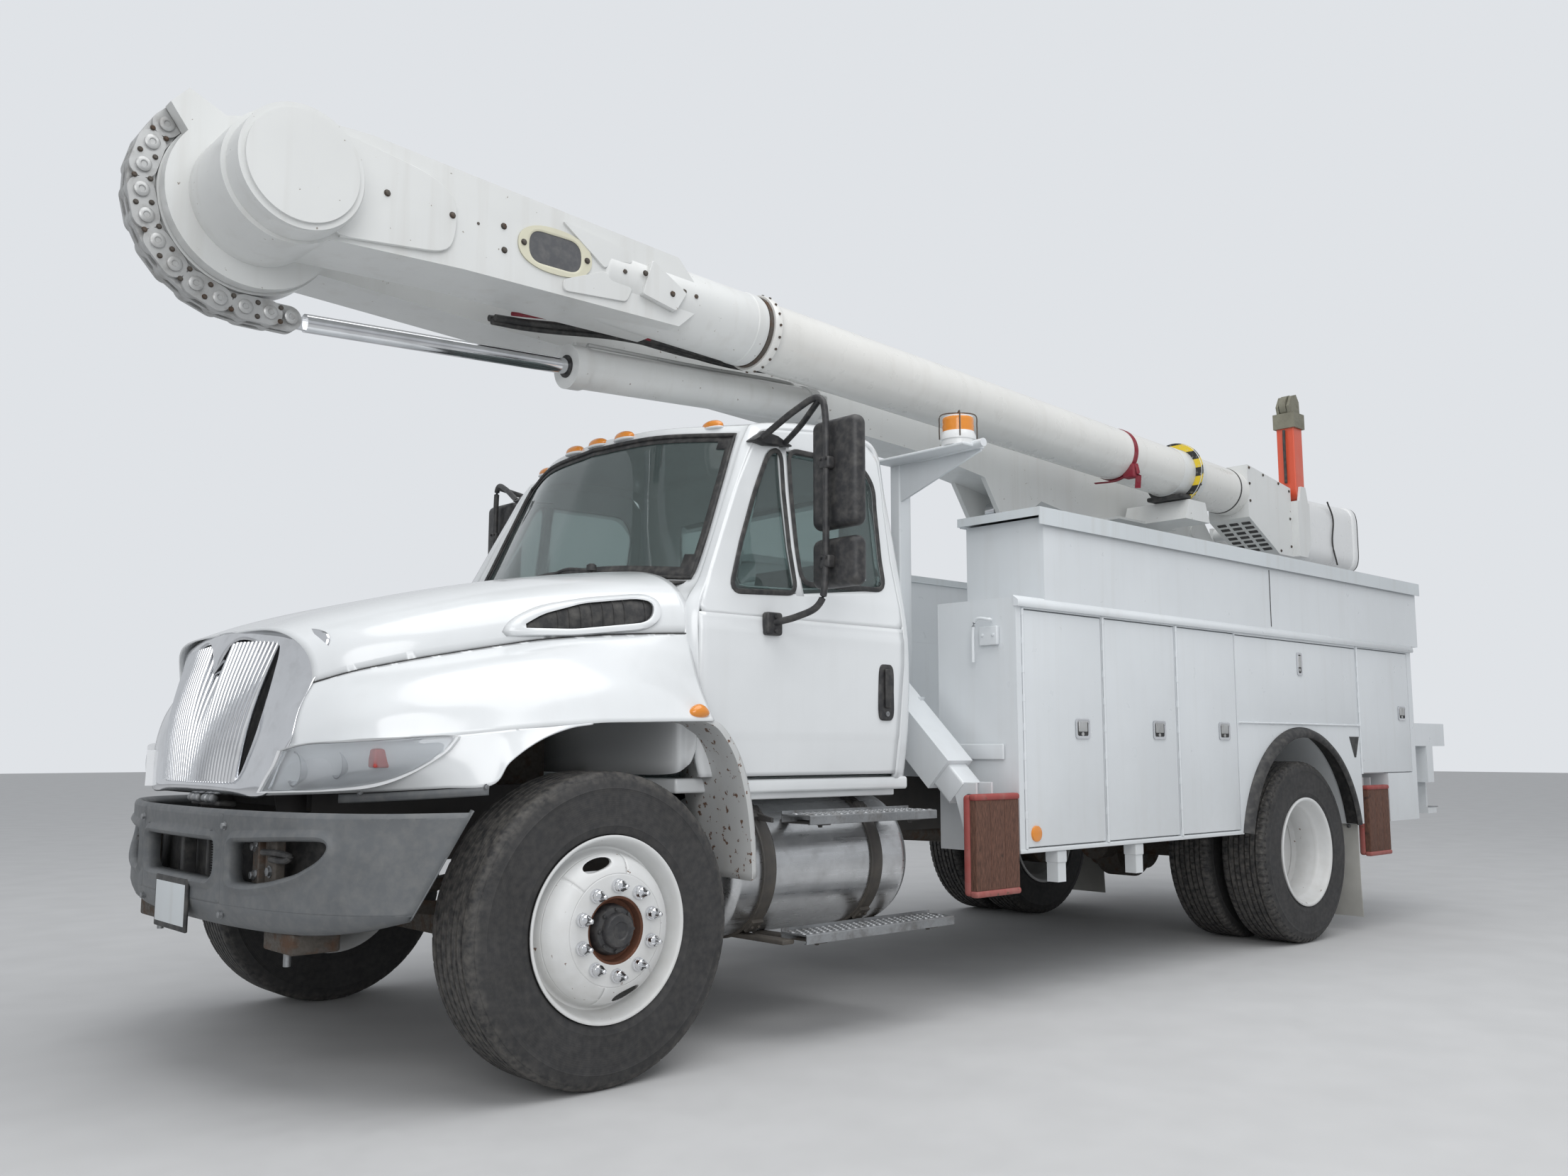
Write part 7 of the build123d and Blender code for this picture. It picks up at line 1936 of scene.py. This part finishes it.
@dataclass
class Boom:
    """Elbow box, chain, hoses, insulating tube with its collars, boom tip and bucket."""

    slope: float = math.radians(2.3)
    tube_y: float = 0.300
    side_y: float = 0.450
    axis_at: tuple[float, float] = (-1.25, 3.030)
    drum: tuple[float, float] = (0.880, 3.050)
    chain_reach: float = 0.372
    link_turn: int = 14
    rod_eye: tuple[float, float] = (0.712, 2.678)
    tub_middle: tuple[float, float] = (0.135, 2.690)

    def height(self, x: float) -> float:
        """Height of the upper boom's axis at a station."""
        return self.axis_at[1] + (x - self.axis_at[0]) * math.tan(self.slope)

    def turn(self, pile: Pile, rows: Line, wrap: bool = False) -> None:
        """Adds rings round the upper boom's own sloping axis, given as (station, radius)."""
        up = np.array([-math.sin(self.slope), 0.0, math.cos(self.slope)])
        flat = circle(1.0, 72)
        ring = flat[:, :1] * [0, 1, 0] + flat[:, 1:] * up
        rings = [stations((x, self.tube_y, self.height(x))) + r * ring for x, r in rows]
        pile.grid(np.stack(rings), wrap_u=wrap, caps=not wrap)

    def bolted(self, pile: Pile, x: float, radius: float, count: int, size: float = 0.008) -> None:
        """Adds small studs that stand out round the tube at a station."""
        for turn in np.linspace(0, 2 * math.pi, count, endpoint=False):
            c, n = math.cos(turn), math.sin(turn)
            foot = stations((x, self.tube_y + radius * c, self.height(x) + radius * n))
            pile.pipe([foot, foot + [0.0005, size * c, size * n]], size * 0.8, 8, 1)

    def build(self) -> None:
        """Makes the boom's pieces and hides the plain solids that they stand for."""
        self.elbow()
        self.chain()
        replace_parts(self.tube(), "boom_tube")
        self.lower()
        self.tip()
        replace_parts(self.bucket(), "bucket")

    def on_side(self, pile: Pile, outline: Line, thick: float, radius: float) -> None:
        """Adds a flat plate with rounded corners on the boom's left side."""
        flat = rounded_outline(np.array(outline) + [FRONT_AXLE, 0], radius, 5)
        pile.plate(flat, self.side_y - 0.004, self.side_y + thick, Along.Y, 0.0025)

    def elbow(self) -> None:
        """Cap, pad plate, gussets, oval window with a pane of painted shade, and bolts on the elbow box, and
        its adapter.
        """
        white, steel = Pile("elbow_plates"), Pile("elbow_bolts")
        white.lathe([(0.448, 0.222), (0.535, 0.221), (0.548, 0.217), (0.556, 0.208), (0.5595, 0.195),
                     (0.5595, 0.152), (0.5615, 0.148), (0.5615, 0.132), (0.5595, 0.128), (0.5595, 0.004)],
                    station(0.872, 0, 3.050), Along.Y, 96)
        self.on_side(white, [(0.74, 3.268), (0.36, 3.212), (0.252, 3.150), (0.256, 2.985), (0.30, 2.925),
                             (0.74, 2.876)], 0.017, 0.075)
        for outline in (((-0.215, 3.200), (-0.545, 3.162), (-0.567, 3.110), (-0.459, 3.095), (-0.428, 3.050)),
                        ((-0.432, 3.045), (-0.225, 2.958), (-0.228, 2.912), (-0.538, 2.938), (-0.567, 3.004),
                         (-0.455, 3.010))):
            self.on_side(white, outline, 0.010, 0.020)
        self.on_side(white, [(-0.655, 3.145), (-0.840, 3.041), (-0.783, 2.950), (-0.605, 2.985)], 0.030,
                     0.012)
        self.turn(white, [(-0.430, 0.100), (-0.432, 0.150), (-0.440, 0.160), (-0.455, 0.1655),
                          (-1.268, 0.1655), (-1.272, 0.1690), (-1.318, 0.1690), (-1.322, 0.1630),
                          (-1.335, 0.163), (-1.335, 0.12)])
        white.make("upper_boom", BOOM_WHITE, "boom_paint", smooth=35)
        rim, pane = Pile("elbow_window_rim"), Pile("elbow_window")
        centre = (-0.19 + FRONT_AXLE, 3.063)
        outer = oval(0.172, 0.094, 2.3, 90) + centre
        hole = rectangle(0.122, 0.066, 0.062, 10)
        rim.raised_rim(outer, hole + centre, centre, self.side_y,
                       [(0, 0.001), (0, 0.004), (0.005, 0.007)], 5, 160)
        # The pane is opaque dark trim: painted shade for the box's inside seen through the window.
        pane.plate(hole * 1.04 + centre, self.side_y - 0.004, self.side_y + 0.002, Along.Y, 0.0005)
        rim.make("upper_boom", WINDOW_CREAM, "boom_paint", smooth=50, wall=0.001)
        pane.make("upper_boom", CAB_TRIM, "window_glass")
        spots = [(-0.19 + d, 3.063, 0.457) for d in (-0.148, 0.148)]
        spots += [(0.534, 3.088, 0.467), (0.273, 3.079, 0.467), (0.045, 3.105, 0.450),
                  (0.040, 3.010, 0.450), (-0.520, 3.062, 0.463), (-0.615, 3.075, 0.480),
                  (-0.760, 3.020, 0.480), (-0.835, 3.052, 0.463), (-0.900, 3.046, 0.463)]
        steel.bolts(stations([(x, y, z) for x, z, y in spots]), Along.Y, 0.010, 0.009)
        steel.lathe([(0.449, 0.006), (0.4515, 0.006), (0.4515, 0.002)], station(0.155, 0, 3.085), Along.Y, 12)
        self.turn(steel, [(-1.337, 0.160), (-1.337, 0.1675), (-1.358, 0.1675), (-1.358, 0.160)], wrap=True)
        self.bolted(steel, -1.388, 0.176, 20)
        steel.make("upper_boom", CAST_IRON, "frame_steel")

    def chain(self) -> None:
        """Round pin heads and plate bolts on both faces of the elbow's link chain."""
        step = math.radians(self.link_turn)
        (drum_x, drum_z), reach = self.drum, self.chain_reach
        pins = [self.rod_eye, (drum_x - reach * step, self.rod_eye[1])]
        pins += [(drum_x + reach * math.cos(a), drum_z + reach * math.sin(a))
                 for a in np.radians(-90 + self.link_turn * np.arange(11))]
        heads, bolts = Pile("chain_pins"), Pile("chain_bolts")
        for face, sign in ((0.092, 1), (-0.012, -1)):
            for x, z in pins:
                heads.lathe([(face + d * sign, r) for d, r in
                             ((-0.004, 0.026), (0.004, 0.026), (0.007, 0.022), (0.007, 0.012),
                              (0.003, 0.009), (0.003, 0.003))], station(x, 0, z), Along.Y, 24)
            for (xa, za), (xb, zb) in zip(pins, pins[1:]):
                out = np.array([zb - za, xa - xb]) / math.hypot(xb - xa, zb - za)
                for away in (-0.026, 0.026):
                    x, z = (xa + xb) / 2 + out[0] * away, (za + zb) / 2 + out[1] * away
                    bolts.bolts(stations([(x, face - 0.004 * sign, z)]), Along.Y, 0.0075, 0.008, sign)
        heads.make("upper_boom", CHAIN_STEEL, "chain_steel", smooth=40)
        bolts.make("upper_boom", CAST_IRON, "chain_steel")

    def tube(self) -> bpy.types.Object:
        """Insulating tube with its end bands, ratchet strap and striped collar."""
        pile = Pile("tube_skin")
        self.turn(pile, [(-1.30, 0.150), (-1.360, 0.150), (-1.362, 0.176), (-1.366, 0.1785), (-1.402, 0.1785),
                         (-1.408, 0.172), (-1.425, 0.161), (-1.45, 0.160), (-4.96, 0.160), (-5.77, 0.157),
                         (-5.77, 0.145), (-1.5, 0.145)])
        skin = pile.make("upper_boom", TUBE_CREAM, "tube_fibreglass", smooth=40)
        ring = Pile("tube_collars")
        self.turn(ring, [(-4.93, 0.1605), (-4.94, 0.1650), (-5.050, 0.1650), (-5.052, 0.205), (-5.056, 0.209),
                         (-5.068, 0.209), (-5.072, 0.205), (-5.074, 0.168), (-5.19, 0.168), (-5.20, 0.160)],
                  wrap=True)
        ring.make("upper_boom", BOOM_WHITE, "boom_paint", smooth=35)
        stripe, bolts, dark = Pile("hazard_ring"), Pile("collar_bolts"), Pile("tube_bands")
        self.turn(stripe, [(-5.0475, 0.168), (-5.0475, 0.206), (-5.0515, 0.206), (-5.0515, 0.168)], wrap=True)
        self.turn(stripe, [(-5.055, 0.2092), (-5.055, 0.2105), (-5.069, 0.2105), (-5.069, 0.2092)], wrap=True)
        self.bolted(bolts, -5.13, 0.166, 14)
        self.turn(dark, [(-5.652, 0.1565), (-5.652, 0.1600), (-5.664, 0.1600), (-5.664, 0.1565)], wrap=True)
        stripe.make("upper_boom", HAZARD, "tube_fibreglass")
        bolts.make("upper_boom", CAST_IRON, "frame_steel")
        dark.make("upper_boom", TRIM_BLACK, "trim_rubber")
        strap = Pile("ratchet_strap")
        self.turn(strap, [(-4.345, 0.1602), (-4.345, 0.1632), (-4.385, 0.1632), (-4.385, 0.1602)], wrap=True)
        z = self.height(-4.365)
        strap.block((-4.40, 0.375, z - 0.165), (-4.335, 0.455, z - 0.08), 0.010)
        strap.sweep(stations([(-4.365, 0.455, z - 0.08), (-4.375, 0.462, z - 0.14),
                              (-4.40, 0.44, z - 0.225)]), oval(0.018, 0.003, 4, 12))
        strap.sweep(stations([(-4.365, 0.40, z - 0.14), (-4.34, 0.32, z - 0.172),
                              (-4.30, 0.20, z - 0.175)]), oval(0.018, 0.003, 4, 12))
        strap.make("upper_boom", STRAP_RED, "trim_rubber", smooth=50)
        return skin

    def lower(self) -> None:
        """Gland and pipe of the elbow cylinder, hoses between the booms, pads and seams."""
        def at(reach: float, rise: float = 0.0, y: float = 0.040) -> Point:
            """Place at a reach along the elbow cylinder's axis, raised over it."""
            return station(self.rod_eye[0] - reach, y, self.rod_eye[1] + reach * 0.0584 + rise)

        white, dark, red = Pile("cylinder_gland"), Pile("boom_hoses"), Pile("boom_hose_red")
        for start, stop, radius in ((1.232, 1.300, 0.098), (1.300, 1.312, 0.094), (2.64, 2.705, 0.096)):
            white.pipe([at(start), at(stop)], radius, 48, 1)
        white.pipe([at(1.34, 0.086), at(1.345, 0.108), at(1.40, 0.112), at(1.9, 0.104), at(2.5, 0.104),
                    at(2.60, 0.085)], 0.009, 10)
        white.make("lower_boom", BOOM_WHITE, "boom_paint", smooth=40)
        dark.pipe([at(1.236), at(1.228)], 0.050, 32, 1)
        for dy, dz, turn in ((0.0, 0.0, 0.0), (0.026, 0.012, 0.4), (-0.024, 0.020, 0.9)):
            dark.pipe([at(r, 0.150 + 0.018 * math.sin(r * 5 + turn) + dz, 0.06 + dy)
                       for r in np.arange(0.85, 2.9, 0.15)], 0.014, 10, 4)
        red.pipe([at(r, 0.178 + 0.014 * math.sin(r * 6), 0.10) for r in np.arange(0.92, 1.75, 0.12)],
                 0.009, 8, 4)
        dark.block((-4.93, 0.17, 2.60 + 0.095), (-5.05, 0.43, 2.725), 0.012)
        for x in (-0.35, -0.72):
            middle = [x + FRONT_AXLE, self.drum[1] + (x - self.drum[0]) * 0.044]
            dark.plate(oval(0.075, 0.016, 6, 24) + middle, -0.0605, -0.0580, Along.Y, 0.0005)
        dark.make("lower_boom", TRIM_BLACK, "trim_rubber", smooth=50)
        red.make("lower_boom", STRAP_RED, "trim_rubber", smooth=50)

    def tip(self) -> None:
        """Dark plates of painted shade at the slots in the tip's sloping underside, bolts along its edges and
        the jib's hose.
        """
        dark, bolts = Pile("tip_slot_shade_and_hose"), Pile("tip_bolts")
        start, stop = np.array([-5.761, 2.665]), np.array([-6.180, 2.450])
        way = (stop - start) / np.linalg.norm(stop - start)
        away = np.array([way[1], -way[0]])
        for k in range(7):
            middle = start + (stop - start) * (0.14 + 0.115 * k) + [FRONT_AXLE, 0]
            box = [middle + way * a + away * b for a, b in ((-0.013, -0.004), (0.013, -0.004), (0.013, 0.002),
                                                            (-0.013, 0.002))]
            # Each slot is a thin dark plate, not an opening: painted shade for its inside.
            for low in (0.185, 0.275, 0.365):
                dark.plate(box, low, low + 0.062, Along.Y, 0.0005)
        dark.pipe(stations([(-6.395, 0.415, 3.38), (-6.385, 0.418, 3.25), (-6.392, 0.415, 3.10),
                            (-6.388, 0.417, 2.99)]), 0.010, 10)
        dark.make("upper_boom", TRIM_BLACK, "trim_rubber")
        spots = ((-5.785, 3.010), (-5.785, 2.90), (-5.785, 2.78), (-5.98, 2.985), (-6.20, 2.955),
                 (-6.355, 2.92), (-6.355, 2.72), (-6.355, 2.52), (-6.20, 2.475))
        bolts.bolts(stations([(x, self.side_y, z) for x, z in spots]), Along.Y, 0.008, 0.007)
        bolts.make("upper_boom", CAST_IRON, "frame_steel")

    def bucket(self) -> bpy.types.Object:
        """Moulded tub with a rounded foot, a rolled rim and a hollow inside."""
        rows = [(-6.622, 0.60), (-6.624, 0.74), (-6.634, 0.83), (-6.655, 0.895), (-6.69, 0.935),
                (-6.75, 0.960), (-6.90, 0.975), (-7.30, 0.992), (-7.385, 0.996), (-7.390, 1.022),
                (-7.400, 1.036), (-7.430, 1.040), (-7.446, 1.032), (-7.450, 1.012), (-7.449, 0.965),
                (-7.440, 0.945), (-7.30, 0.938), (-6.76, 0.905), (-6.70, 0.87), (-6.682, 0.80),
                (-6.680, 0.3)]
        flat = oval(0.305, 0.255, 5.5, 96)
        pile = Pile("bucket_tub")
        pile.grid(np.stack([np.column_stack([np.full(96, x + FRONT_AXLE), flat * k + self.tub_middle])
                            for x, k in rows]))
        tub = pile.make("bucket", BUCKET_WHITE, "bucket_fibreglass", smooth=40)
        rim = Pile("bucket_edge")
        line = np.column_stack([np.full(96, -7.452 + FRONT_AXLE), flat + self.tub_middle])
        rim.grid(np.stack([line + [dx, 0, 0] + (line - [0, *self.tub_middle]) * [0, k, k]
                           for dx, k in ((0.0, 0.035), (-0.010, 0.030), (-0.014, 0.0), (-0.010, -0.030),
                                         (0.0, -0.035))]), wrap_u=True, caps=False)
        rim.pipe(stations([(-6.98, 0.441, 2.925), (-7.06, 0.443, 2.80), (-7.03, 0.443, 2.62),
                           (-7.10, 0.440, 2.46)]), 0.006, 8)
        rim.make("bucket", TRIM_BLACK, "trim_rubber", smooth=50)
        return tub


def main() -> None:
    """Builds the stage, dresses the CAD nodes and adds every sub-assembly's pieces."""
    logging.basicConfig(level=logging.INFO, format="%(message)s")
    Studio().build()
    dress_nodes()
    Nose().build()
    Cab().build()
    Bumper().build()
    Wheels().build()
    Flank().build()
    Body().build()
    Boom().build()


if __name__ == "__main__":
    main()
